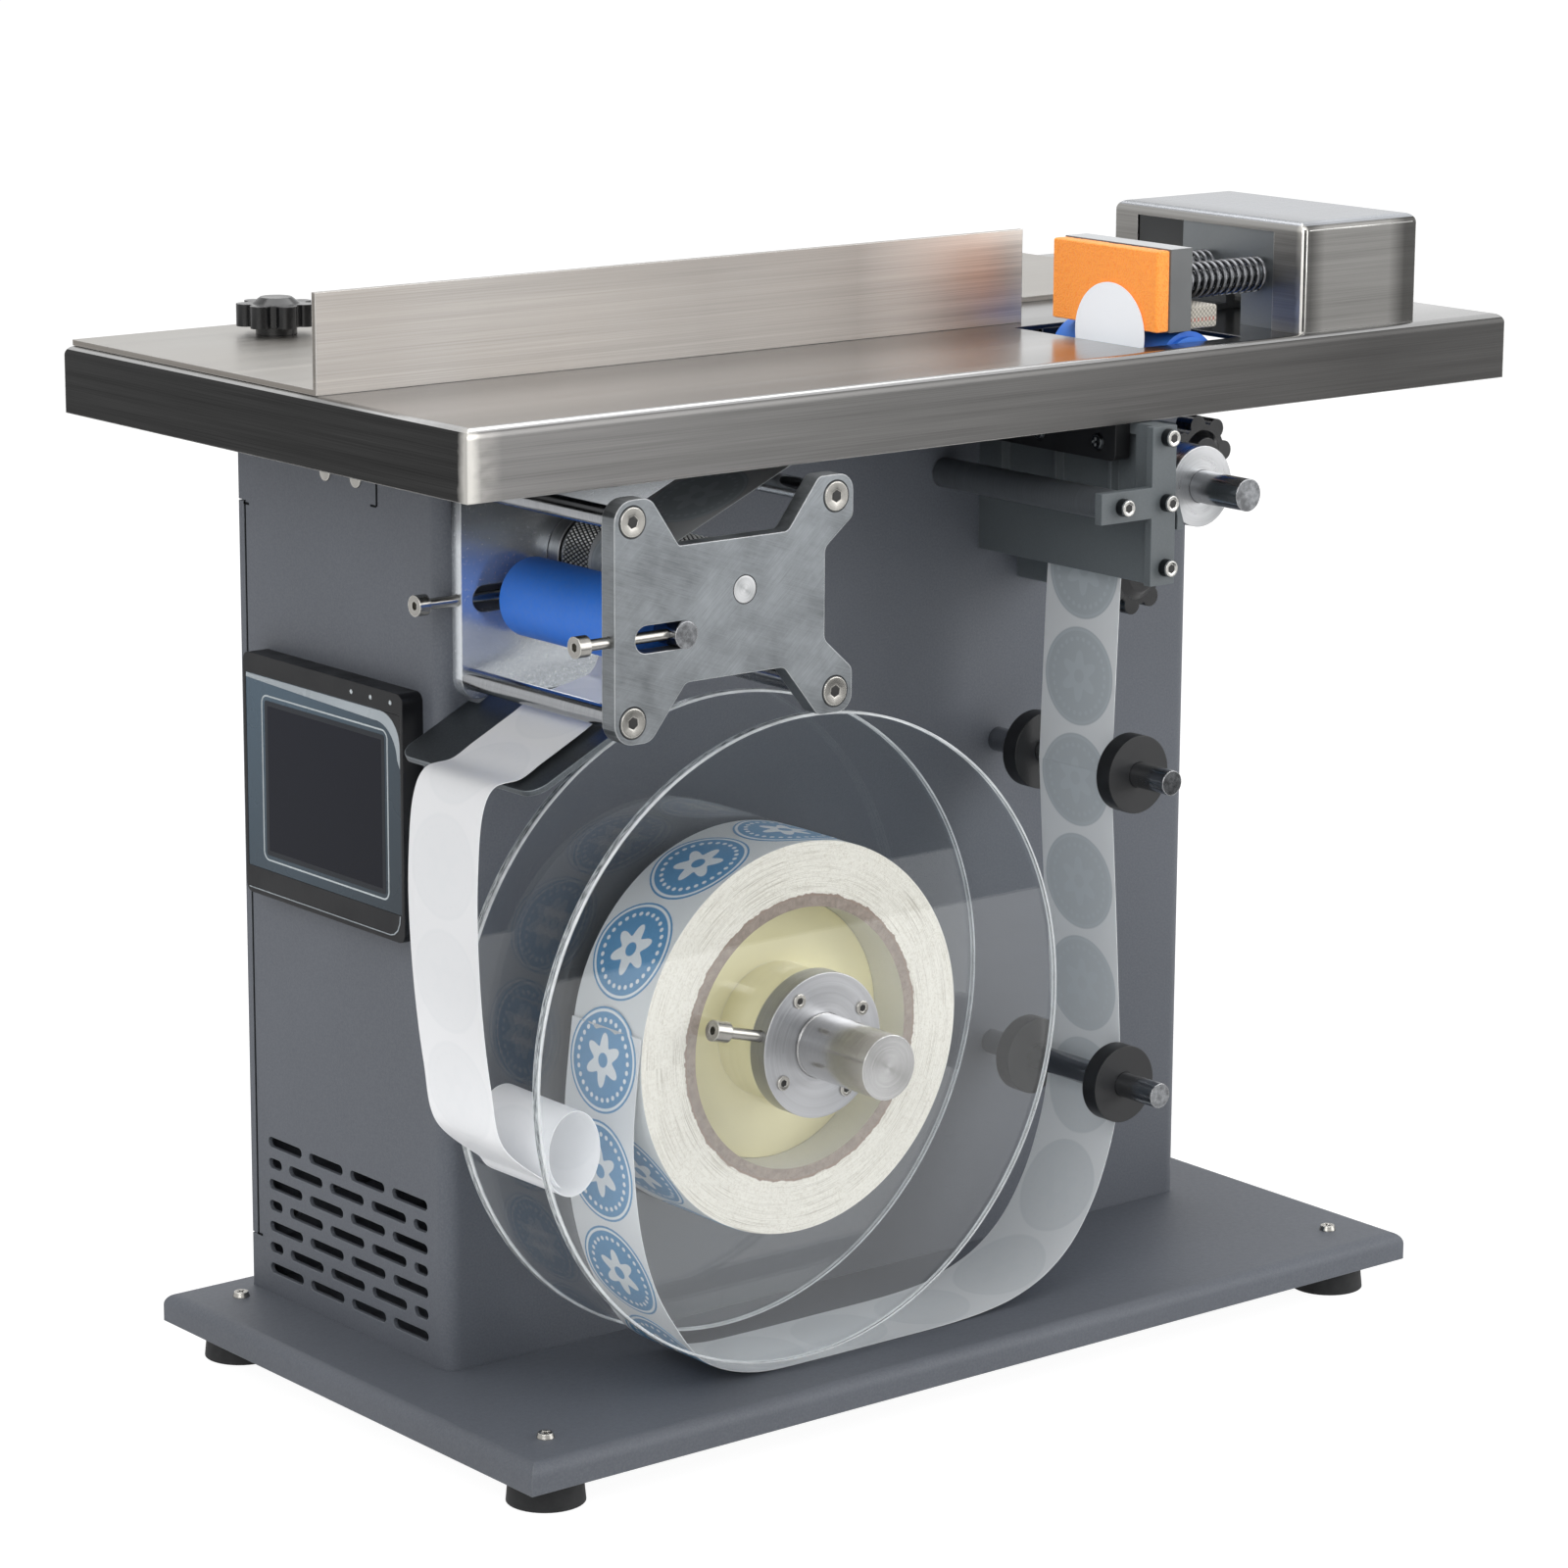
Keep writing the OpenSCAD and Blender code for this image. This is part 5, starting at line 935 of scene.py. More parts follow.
# The web's tone by height is painted shade between the liner rod and the drive roller, under the table; its glow is
# painted light through the paper.
WEB = LinerFilm(
    "label_liner", "e6e9eb", 0.32, discs=((20.0, 0.14), (60.0, 0.26), (110.0, 0.5), (230.0, 0.66)),
    glow=((10.0, 0.01), (40.0, 0.035), (160.0, 0.0)),
    painted_shade=((240.0, 1.0), (258.0, 1.0), (266.0, 0.62), (284.0, 0.62), (296.0, 0.9)),
)  # fmt: skip
# The waste liner's tone by height is painted shade, darker higher up; its glow is painted light through the paper,
# strongest low down.
WASTE = LinerFilm(
    "bare_liner", "f3f4f6", 0.34, through=0.05, ghost="b9c1c6", discs=((80.0, 0.06), (200.0, 0.08)),
    painted_shade=((110.0, 1.0), (150.0, 0.9)), glow=((75.0, 0.08), (110.0, 0.075), (190.0, 0.03)),
)  # fmt: skip
LABEL = PrintedLabel("printed_label", "5f97c2", 0.4)
LABEL_BLANK = Paper("white_label_face", "f6f8fc", 0.5)
ORANGE = Foam("orange_foam", "ff9d40", 0.85)
WOVEN = Webbing("woven_strap", "cfc9bd", 0.85)
FILM = GlassFilm("panel_film", "3a4d5b", 0.24)
SCREEN = GlassFilm("panel_screen", "141722", 0.12, shine=0.1, swing=0.1)
INNER_FRAME = GlassFilm("panel_inner_border", "1b2028", 0.3, shine=0.2, swing=0.1)

NODE_FINISH: dict[Finish, str] = {
    SLATE: "base_plate cabinet_shell rear_cover",
    BRACKET: "bracket_side_plate bracket_front_plate knob_brackets",
    TABLE: "table_top roller_cradles",
    FENCE: "fence",
    HOOD: "hood",
    PLAIN_STEEL: "standoff_rods guide_rods presser_rods pinch_shaft peel_plate",
    SHAFT_STEEL: "reel_shaft",
    COLLAR_ALLOY: "clamp_collars reel_bearing",
    GUIDE_ALLOY: "guide_roller",
    DRIVE_STEEL: "drive_roller",
    PLATE_ALLOY: "drive_front_plate",
    MIRROR_ALLOY: "drive_back_plate",
    BLOCK_ALLOY: "guide_block",
    SCREW_STEEL: "pan_screws adjusting_screws thumb_screws clamp_nuts",
    DARK_STEEL: "drive_motor frame_screws",
    TIE_STEEL: "tie_bar",
    CHUTE_STEEL: "chute_plate",
    PLATED: "power_supply",
    BLUE_RUBBER: "pinch_roller table_roller",
    BLACK_RUBBER: "feet",
    BLACK_KNOB: "fence_knob_left fence_knob_right bracket_knob_upper bracket_knob_lower",
    SENSOR_GREY: "trigger_sensor",
    BLACK_SATIN: "front_collar_upper front_collar_lower rear_guide_collars label_sensor power_inlet rocker_switch",
    GREY_PLATE: "presser_plate",
    PANEL_BODY: "panel_housing",
    CREAM: "spool_hub",
    GREEN_BOARD: "control_board",
    ACRYLIC: "reel_discs",
    ROLL: "label_roll",
    CORE: "paper_core",
    WEB: "label_web",
    WASTE: "waste_liner",
    LABEL_BLANK: "dispensed_label",
    ORANGE: "sponge_pad",
    WOVEN: "bumper_pad",
    SPRING_STEEL: "presser_springs",
    FILM: "panel_glass",
}


class Palette:
    """Builds each finish once, when it is first asked for."""

    def __init__(self) -> None:
        """Starts with no material made."""
        self.made: dict[Finish, bpy.types.Material] = {}

    def __getitem__(self, finish: Finish) -> bpy.types.Material:
        """Gives the finish's material."""
        if finish not in self.made:
            self.made[finish] = finish.build()
        return self.made[finish]

    def dress_nodes(self) -> None:
        """Gives every CAD node its finish."""
        for finish, names in NODE_FINISH.items():
            for name in names.split():
                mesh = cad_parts[name].data
                mesh.materials.clear()
                mesh.materials.append(self[finish])


PALETTE = Palette()


def show(name: str, data: bpy.types.ID) -> bpy.types.Object:
    """Makes an object of a mesh, camera or lamp and puts it into the scene."""
    made = bpy.data.objects.new(name, data)
    bpy.context.scene.collection.objects.link(made)
    return made


def add_piece(
    name: str,
    mesh: bpy.types.Mesh,
    finish: Finish,
    body: Body,
    stands_for: Sequence[str] = (),
    smooth: bool = True,
) -> bpy.types.Object:
    """Adds a finished mesh as a piece that rides on a body.

    Args:
        name: The piece's name.
        mesh: Its mesh, in the row frame.
        finish: Its material.
        body: The CAD body that it rides on.
        stands_for: CAD nodes that it replaces.
        smooth: Whether faces at small angles are shaded as one surface.

    Returns:
        The new object.
    """
    mesh.name = name
    mesh.materials.clear()
    mesh.materials.append(PALETTE[finish])
    mesh.polygons.foreach_set("use_smooth", [smooth] * len(mesh.polygons))
    if smooth:
        mesh.set_sharp_from_angle(angle=SMOOTH_ANGLE)
    piece = show(name, mesh)
    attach(piece, body.value)
    if stands_for:
        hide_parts(*stands_for)
    LOG.info("%s: %d faces on %s", name, len(mesh.polygons), body.value)
    return piece


def from_bmesh(build: BMesh, merged: bool = True, outward: bool = True) -> bpy.types.Mesh:
    """Turns a bmesh into a mesh, with its doubles merged and its faces turned outward where asked."""
    if merged:
        bmesh.ops.remove_doubles(build, verts=build.verts, dist=1e-7)
    if outward:
        bmesh.ops.recalc_face_normals(build, faces=build.faces)
    build.normal_update()
    mesh = bpy.data.meshes.new("piece")
    build.to_mesh(mesh)
    build.free()
    return mesh


def circle(steps: int, start: float = 0.0) -> list[Pair]:
    """Gives the cosine and sine at each step of a full turn, from so many steps in."""
    turns = (math.tau * (k + start) / steps for k in range(steps))
    return [(math.cos(a), math.sin(a)) for a in turns]


def arc(centre: Pair, radius: float, start: float, stop: float, steps: int) -> list[Pair]:
    """Gives points of an arc about a centre, between two angles in degrees."""
    spread = (math.radians(start + (stop - start) * i / steps) for i in range(steps + 1))
    return [(centre[0] + radius * math.cos(a), centre[1] + radius * math.sin(a)) for a in spread]


def bridge(build: BMesh, rows: Sequence[Sequence[Vert]], closed: bool = True) -> None:
    """Joins each row of vertices to the next by quads, round to its start where rows are closed."""
    for a, b in zip(rows, rows[1:]):
        for k in range(len(a) if closed else len(a) - 1):
            n = (k + 1) % len(a)
            build.faces.new((a[k], a[n], b[n], b[k]))


def lathe(build: BMesh, profile: Sequence[Pair], origin: Vector, axis: Triple, steps: int) -> None:
    """Turns a profile about an axis.

    Args:
        build: Takes the turned form.
        profile: Distance along the axis and radius from one end to the other; a radius of 0 closes it.
        origin: The axis's start in the row frame.
        axis: Its direction, a unit vector.
        steps: Divisions of the turn.
    """
    along_axis = Vector(axis)
    side = along_axis.orthogonal().normalized()
    other = along_axis.cross(side)
    rings: list[list[Vert]] = []
    for along, radius in profile:
        centre = origin + along_axis * along * MM
        spots = [(0.0, 0.0)] if radius <= 0 else circle(steps)
        rings.append([build.verts.new(centre + (side * c + other * s) * radius * MM) for c, s in spots])
    for a, b in zip(rings, rings[1:]):
        for k in range(steps):
            n = (k + 1) % steps
            if len(a) == 1:
                build.faces.new((a[0], b[k], b[n]))
            elif len(b) == 1:
                build.faces.new((a[k], b[0], a[n]))
            else:
                build.faces.new((a[k], b[k], b[n], a[n]))


def slab(build: BMesh, low: Triple, high: Triple, bevel: float = 0.0, segments: int = 2) -> None:
    """Adds a box between two corners, its edges rounded by bevel."""
    a, b = place(*low), place(*high)
    matrix = Matrix.Translation((a + b) / 2) @ Matrix.Diagonal((*(b - a), 1.0))
    made = bmesh.ops.create_cube(build, size=1.0, matrix=matrix)
    if bevel:
        edges = dict.fromkeys(edge for vert in made["verts"] for edge in vert.link_edges)
        shape = {"offset": bevel * MM, "segments": segments, "profile": 0.5, "affect": "EDGES"}
        bmesh.ops.bevel(build, geom=list(edges), **shape)


def slabs(*boxes: tuple) -> bpy.types.Mesh:
    """Makes a mesh of boxes, each given as slab() takes it."""
    build = bmesh.new()
    for box in boxes:
        slab(build, *box)
    return from_bmesh(build)


def catmull(points: Sequence[Pair], steps: int) -> list[Pair]:
    """Gives a smooth curve through points with so many steps between each two."""
    last = len(points) - 1
    made: list[Pair] = []
    for i in range(last):
        near = (points[max(i - 1, 0)], points[i], points[i + 1], points[min(i + 2, last)])
        for t in (s / steps for s in range(steps)):
            spot = []
            for a, b, c, d in zip(*near):
                square, cube = 2 * a - 5 * b + 4 * c - d, 3 * b - a - 3 * c + d
                spot.append((2 * b + (c - a) * t + square * t * t + cube * t**3) / 2)
            made.append(tuple(spot))
    return [*made, points[last]]


@dataclass
class Strip:
    """A path in X and Z that a web of paper follows, measured along its length."""

    points: list[Pair]
    step: float = 0.8
    line: list[Pair] = field(default_factory=list)
    length: float = 0.0

    def __post_init__(self) -> None:
        """Resamples the path evenly."""
        total = [0.0]
        for a, b in zip(self.points, self.points[1:]):
            total.append(total[-1] + math.dist(a, b))
        self.length = total[-1]
        count = int(self.length / self.step)
        at = 0
        for i in range(count + 1):
            s = self.length * i / count
            while at < len(total) - 2 and total[at + 1] < s:
                at += 1
            t = (s - total[at]) / max(total[at + 1] - total[at], 1e-9)
            a, b = self.points[at], self.points[at + 1]
            self.line.append((a[0] + (b[0] - a[0]) * t, a[1] + (b[1] - a[1]) * t))

    def at(self, s: float, off: float, y: float) -> Vector:
        """Gives the point at a length along the path, off its left side and at a depth."""
        count = len(self.line) - 1
        f = min(max(s / self.length, 0.0), 1.0) * count
        i = min(int(f), count - 1)
        (ax, az), (bx, bz) = self.line[i], self.line[i + 1]
        t = f - i
        low, high = self.line[max(i - 1, 0)], self.line[min(i + 2, count)]
        dx, dz = high[0] - low[0], high[1] - low[1]
        size = math.hypot(dx, dz) or 1.0
        return place(ax + (bx - ax) * t - dz / size * off, y, az + (bz - az) * t + dx / size * off)

    def length_near(self, x: float, z: float, low: float) -> float:
        """Gives the length at which the path comes nearest to a point, past a given length."""
        count = len(self.line) - 1
        first = int(low / self.length * count)
        best = min(range(first, count + 1), key=lambda i: math.dist(self.line[i], (x, z)))
        return self.length * best / count


@dataclass
class Ribbon:
    """The width, thickness and label pitch of the paper, as a thin closed strip."""

    y0: float = 21.8
    y1: float = 56.0
    thick: float = 0.2
    pitch: float = 34.3

    @property
    def middle(self) -> float:
        """Gives the strip's middle in Y."""
        return (self.y0 + self.y1) / 2

    def build(self, path: Strip, across: int, phase: float, wave: Callable[[float, float], float]) -> bpy.types.Mesh:
        """Builds the strip along a path.

        Args:
            path: The strip's middle line in X and Z.
            across: Divisions of its width.
            phase: Length along the path at which a label's cell starts.
            wave: Gives how far a point stands off the path, by length and share of width.

        Returns:
            The mesh, with the UV map "along" in cells and millimetres.
        """
        build = bmesh.new()
        count = len(path.line)
        spots: dict[Vert, Pair] = {}
        sheets = []
        for half in (self.thick / 2, -self.thick / 2):
            rows = []
            for s in (path.length * i / (count - 1) for i in range(count)):
                row = []
                for share in (k / across for k in range(across + 1)):
                    y = self.y0 + (self.y1 - self.y0) * share
                    vert = build.verts.new(path.at(s, wave(s, share) + half, y))
                    spots[vert] = ((s - phase) / self.pitch, y - self.middle)
                    row.append(vert)
                rows.append(row)
            sheets.append(rows)
        for rows in sheets:
            bridge(build, rows, closed=False)
        top, under = sheets
        for i in range(count - 1):
            for k in (0, across):
                build.faces.new((top[i][k], under[i][k], under[i + 1][k], top[i + 1][k]))
        for i in (0, count - 1):
            for k in range(across):
                build.faces.new((top[i][k], top[i][k + 1], under[i][k + 1], under[i][k]))
        layer = build.loops.layers.uv.new("along")
        for face in build.faces:
            for loop in face.loops:
                loop[layer].uv = spots[loop.vert]
        return from_bmesh(build, merged=False)


@dataclass
class RoundLabels:
    """Round labels that follow a curved strip, as thin closed discs."""

    radius: float = 16.0
    thick: float = 0.12
    rings: int = 7
    steps: int = 40

    def build(self, spot: Callable[[float, float, float], Vector], centres: Iterable[float]) -> bpy.types.Mesh:
        """Builds the labels.

        Args:
            spot: Gives a point from a length along the strip, an offset across it and a height off it.
            centres: Lengths along the strip of the labels' middles.

        Returns:
            The mesh, with the UV map "label" from -1 to 1 on each face.
        """
        build = bmesh.new()
        layer = build.loops.layers.uv.new("label")
        turn = circle(self.steps)
        for middle in centres:
            sheets = []
            for height in (self.thick, 0.0):
                grid = [[build.verts.new(spot(middle, 0.0, height))] * self.steps]
                for r in (self.radius * ring / self.rings for ring in range(1, self.rings + 1)):
                    grid.append([build.verts.new(spot(middle + r * c, r * s, height)) for c, s in turn])
                sheets.append(grid)
            for order, grid in zip((1, -1), sheets):
                self.fill(build, layer, grid, order)
            outer, inner = (grid[self.rings] for grid in sheets)
            for k in range(self.steps):
                n = (k + 1) % self.steps
                for loop in build.faces.new((outer[k], inner[k], inner[n], outer[n])).loops:
                    loop[layer].uv = (0.99, 0.0)
        return from_bmesh(build, merged=False, outward=False)

    def fill(self, build: BMesh, layer: object, grid: list[list[Vert]], order: int) -> None:
        """Fills one side of a label; an order of -1 turns its faces over."""
        turn = circle(self.steps)
        for ring in range(self.rings):
            for k in range(self.steps):
                n = (k + 1) % self.steps
                corners = [(ring, k), (ring + 1, k), (ring + 1, n), (ring, n)]
                corners = ([(0, 0), (1, k), (1, n)] if ring == 0 else corners)[::order]
                face = build.faces.new([grid[r][c] for r, c in corners])
                for loop, (r, c) in zip(face.loops, corners):
                    loop[layer].uv = (r / self.rings * turn[c][0], r / self.rings * turn[c][1])


@dataclass
class PaperPath:
    """The label web, its labels, the wound roll's labels and the bare waste liner."""

    roll_r: float = 61.0
    rod_r: float = 4.2
    nip_r: float = 12.35
    tip: Pair = (253.2, 311.0)
    tip_r: float = 0.95
    liner_rod: Pair = (160.0, 306.0)
    nip_angle: float = 205.2
    ribbon: Ribbon = field(default_factory=Ribbon)
    labels: RoundLabels = field(default_factory=RoundLabels)

    def tangent(self, start: Pair, stop: Pair, less: float) -> float:
        """Gives the angle, in degrees, where a strip leaves one rod for another of a smaller radius."""
        run = (start[0] - stop[0], start[1] - stop[1])
        return 90 + math.degrees(math.atan2(run[1], run[0]) - math.asin(less / math.hypot(*run)))

    def web_points(self) -> list[Pair]:
        """Gives the web's path from the roll's left side to the nip."""
        left, low, width, height = 52.6, 9.5, 197.0, 114.5
        share = [
            (0.0155, 1), (0.001, 0.775), (0.003, 0.615), (0.017, 0.45), (0.043, 0.31), (0.079, 0.2), (0.124, 0.1),
            (0.18, 0.04), (0.256, 0.006), (0.36, 0), (0.5, 0), (0.64, 0.001), (0.728, 0.012), (0.79, 0.034),
            (0.85, 0.078), (0.905, 0.155), (0.95, 0.27), (0.98, 0.4), (0.995, 0.51), (1, 0.6),
        ]  # fmt: skip
        loop = [(left + a * width, low + b * height) for a, b in share]
        rise = [(249.6, 81.6), (246.5, 130.3), (243.4, 175.0), (243.4, 183.0), (245.7, 243.0), (249.0, 270.8)]
        peel_out = self.tangent(self.tip, self.liner_rod, self.rod_r - self.tip_r)
        wrap_in = self.tangent(self.liner_rod, DRIVE_AXIS, self.nip_r - self.rod_r)
        turns = (
            (self.tip, self.tip_r, -5, peel_out, 14),
            (self.liner_rod, self.rod_r, peel_out, wrap_in, 10),
            (DRIVE_AXIS, self.nip_r, wrap_in, self.nip_angle, 30),
        )
        return catmull(loop, 14) + catmull(rise, 10) + [spot for turn in turns for spot in arc(*turn)]

    def waste_points(self) -> list[Pair]:
        """Gives the bare liner's path from the nip over the chute and down into its curl."""
        lip, foot, unit = (11.4, 205.8), 94.0, 12.0
        curl_x, curl_r, curl_from = 30.6, (10.4, 13.8), 228

        def curl(degrees: float, share: float = 1.0) -> Pair:
            a = math.radians(degrees)
            return curl_x + share * curl_r[0] * math.cos(a), foot + share * curl_r[1] * math.sin(a)

        a, chute = math.radians(self.nip_angle), math.radians(26)
        nip = (DRIVE_AXIS[0] + self.nip_r * math.cos(a), DRIVE_AXIS[1] + self.nip_r * math.sin(a))
        slope = (math.cos(chute), math.sin(chute))
        rest = (lip[0] - 1.6 * slope[1], lip[1] + 1.6 * slope[0])
        fall = ((0, 0), (0.25, -0.9), (0.27, -1.7), (0, -2.25), (-0.5, -2.4))
        points = [(nip[0] + unit * u, nip[1] + unit * v) for u, v in fall]
        points += [(rest[0] + slope[0] * 36 * t, rest[1] + slope[1] * 36 * t) for t in (1, 0.75, 0.5, 0.3, 0.08)]
        drop = ((-0.62, 1.01), (-0.98, 0.94), (-1.12, 0.8), (-1.14, 0.63), (-1.02, 0.42), (-0.78, 0.22), (-0.42, 0.05))
        points += [(lip[0] + u * unit, foot + v * 112) for u, v in drop]
        points.append(curl(curl_from - 12))
        curled = [curl(deg, 1 - (deg - curl_from) / 2400) for deg in range(curl_from, 606, 6)]
        return catmull(points, 10) + curled

    def build(self) -> None:
        """Builds the web, its labels, the roll's labels and the waste liner."""
        ribbon, pitch, radius = self.ribbon, self.ribbon.pitch, self.labels.radius
        web = Strip(self.web_points())
        phase = web.length_near(246.0, 140.0, 200.0) % pitch - pitch / 2
        mesh = ribbon.build(web, 8, phase, lambda s, share: 0.0)
        add_piece("label_liner_web", mesh, WEB, Body.FRAME, ("label_web",))
        reach = web.length_near(*self.tip, 300.0) - radius - 4
        leave = math.pi - math.asin(10 / self.roll_r)

        def on_roll(s: float, v: float, h: float) -> Vector:
            a, r = leave + s / self.roll_r, self.roll_r + h
            return place(REEL_AXIS[0] + r * math.cos(a), ribbon.middle + v, REEL_AXIS[1] + r * math.sin(a))

        def on_web(s: float, v: float, h: float) -> Vector:
            if s < 0:
                return on_roll(s, v, h + 0.3)
            return web.at(s, -(ribbon.thick / 2 + 0.02 + h), ribbon.middle + v)

        first = phase + pitch / 2
        centres = [first + pitch * i for i in range(40) if first + pitch * i < reach]
        add_piece("web_labels", self.labels.build(on_web, centres), LABEL, Body.FRAME)
        centres = [first - pitch * i - pitch for i in range(10)]
        mesh = self.labels.build(lambda s, v, h: on_roll(s, v, h + 0.05), centres)
        add_piece("roll_labels", mesh, LABEL, Body.REEL)

        def sway(s: float, share: float) -> float:
            return 0.35 * math.sin(s / 23.0) * (share - 0.5) * min(1.0, max(0.0, (s - 90) / 40))

        mesh = ribbon.build(Strip(self.waste_points()), 10, 0.0, sway)
        add_piece("waste_liner_strip", mesh, WASTE, Body.FRAME, ("waste_liner",))


@dataclass
class PartTree:
    """A Geometry Nodes tree that sets one part at each point it is run on."""

    material: bpy.types.Material

    def spread(self, g: Graph, points: Value, part: Value, **more: Value) -> Outputs:
        """Sets the part at each point, as real geometry with the material."""
        real = g.take("GeometryNodeInstanceOnPoints", {"Points": points, "Instance": part, **more})
        real = g.take("GeometryNodeRealizeInstances", {0: real})
        return {"Geometry": g.take("GeometryNodeSetMaterial", {0: real, "Material": self.material})}


@dataclass
class CoilTree(PartTree):
    """Coil springs along X."""

    def build(self) -> bpy.types.NodeTree:
        """Builds the tree, with named inputs for the coil's sizes."""
        inputs = {"Geometry": "Geometry", **dict.fromkeys(("Turns", "Radius", "Wire Radius", "Length"), "Float")}
        return node_group("GeometryNodeTree", "coil_spring", inputs, self.fill)

    def fill(self, g: Graph, points: Value, turns: Value, radius: Value, wire: Value, length: Value) -> Outputs:
        """Winds the wire and sets it at the points."""
        sizes = {"Rotations": turns, "Start Radius": radius, "End Radius": radius, "Height": length}
        coil = g.take("GeometryNodeCurveSpiral", {"Resolution": 28, **sizes})
        coil = g.take("GeometryNodeTransform", {"Geometry": coil, "Rotation": (0, math.pi / 2, 0)})
        ring = g.take("GeometryNodeCurvePrimitiveCircle", {"Resolution": 12, "Radius": wire})
        tube = {"Curve": coil, "Profile Curve": ring, "Fill Caps": True}
        return self.spread(g, points, g.take("GeometryNodeCurveToMesh", tube))


@dataclass
class SpotTree(PartTree):
    """One modelled part at each point, turned to the point's "aim" and spun at random about it."""

    name: str
    part: bpy.types.Object

    def build(self) -> bpy.types.NodeTree:
        """Builds the tree, with inputs for the part's size and the seed of its spin."""
        inputs = {"Geometry": "Geometry", "Size": "Float", "Seed": "Int"}
        return node_group("GeometryNodeTree", self.name, inputs, self.fill)

    def fill(self, g: Graph, points: Value, size: Value, seed: Value) -> Outputs:
        """Aims, spins and sets the part."""
        aim = g.take("GeometryNodeInputNamedAttribute", {"Name": "aim"}, data_type="FLOAT_VECTOR")
        angle = g.take("FunctionNodeAlignRotationToVector", {"Vector": aim}, axis="Z")
        spin = g.take("FunctionNodeRandomValue", {2: 0.0, 3: 6.0, "Seed": seed}, 1, data_type="FLOAT")
        about = g.take("FunctionNodeAxisAngleToRotation", {0: (0, 0, 1), 1: spin})
        turned = g.take("FunctionNodeRotateRotation", {0: angle, 1: about}, rotation_space="LOCAL")
        part = g.take("GeometryNodeObjectInfo", {"Object": self.part}, "Geometry")
        return self.spread(g, points, part, Rotation=turned, Scale=size)


def grow(points: Sequence[Vector], aim: Triple, tree: bpy.types.NodeTree, values: dict) -> bpy.types.Mesh:
    """Runs a Geometry Nodes tree on points.

    Args:
        points: Where the tree's parts go, in the row frame.
        aim: The direction of each.
        tree: The tree.
        values: Input name to value.

    Returns:
        The result as a plain mesh.
    """
    seed = bpy.data.meshes.new("spots")
    seed.from_pydata([tuple(p) for p in points], [], [])
    for item in seed.attributes.new("aim", "FLOAT_VECTOR", "POINT").data:
        item.vector = aim
    holder = show("spots", seed)
    modifier = holder.modifiers.new("grow", "NODES")
    modifier.node_group = tree
    for socket in tree.interface.items_tree:
        if socket.in_out == "INPUT" and socket.name in values:
            modifier[socket.identifier] = values[socket.name]
    graph = bpy.context.evaluated_depsgraph_get()
    mesh = bpy.data.meshes.new_from_object(holder.evaluated_get(graph))
    bpy.data.objects.remove(holder)
    return mesh


@dataclass(frozen=True)
class HeadSize:
    """Sizes of a socket screw's head: a sunk one narrows towards its foot."""

    across: float
    height: float
    socket: float
    sunk: bool = False


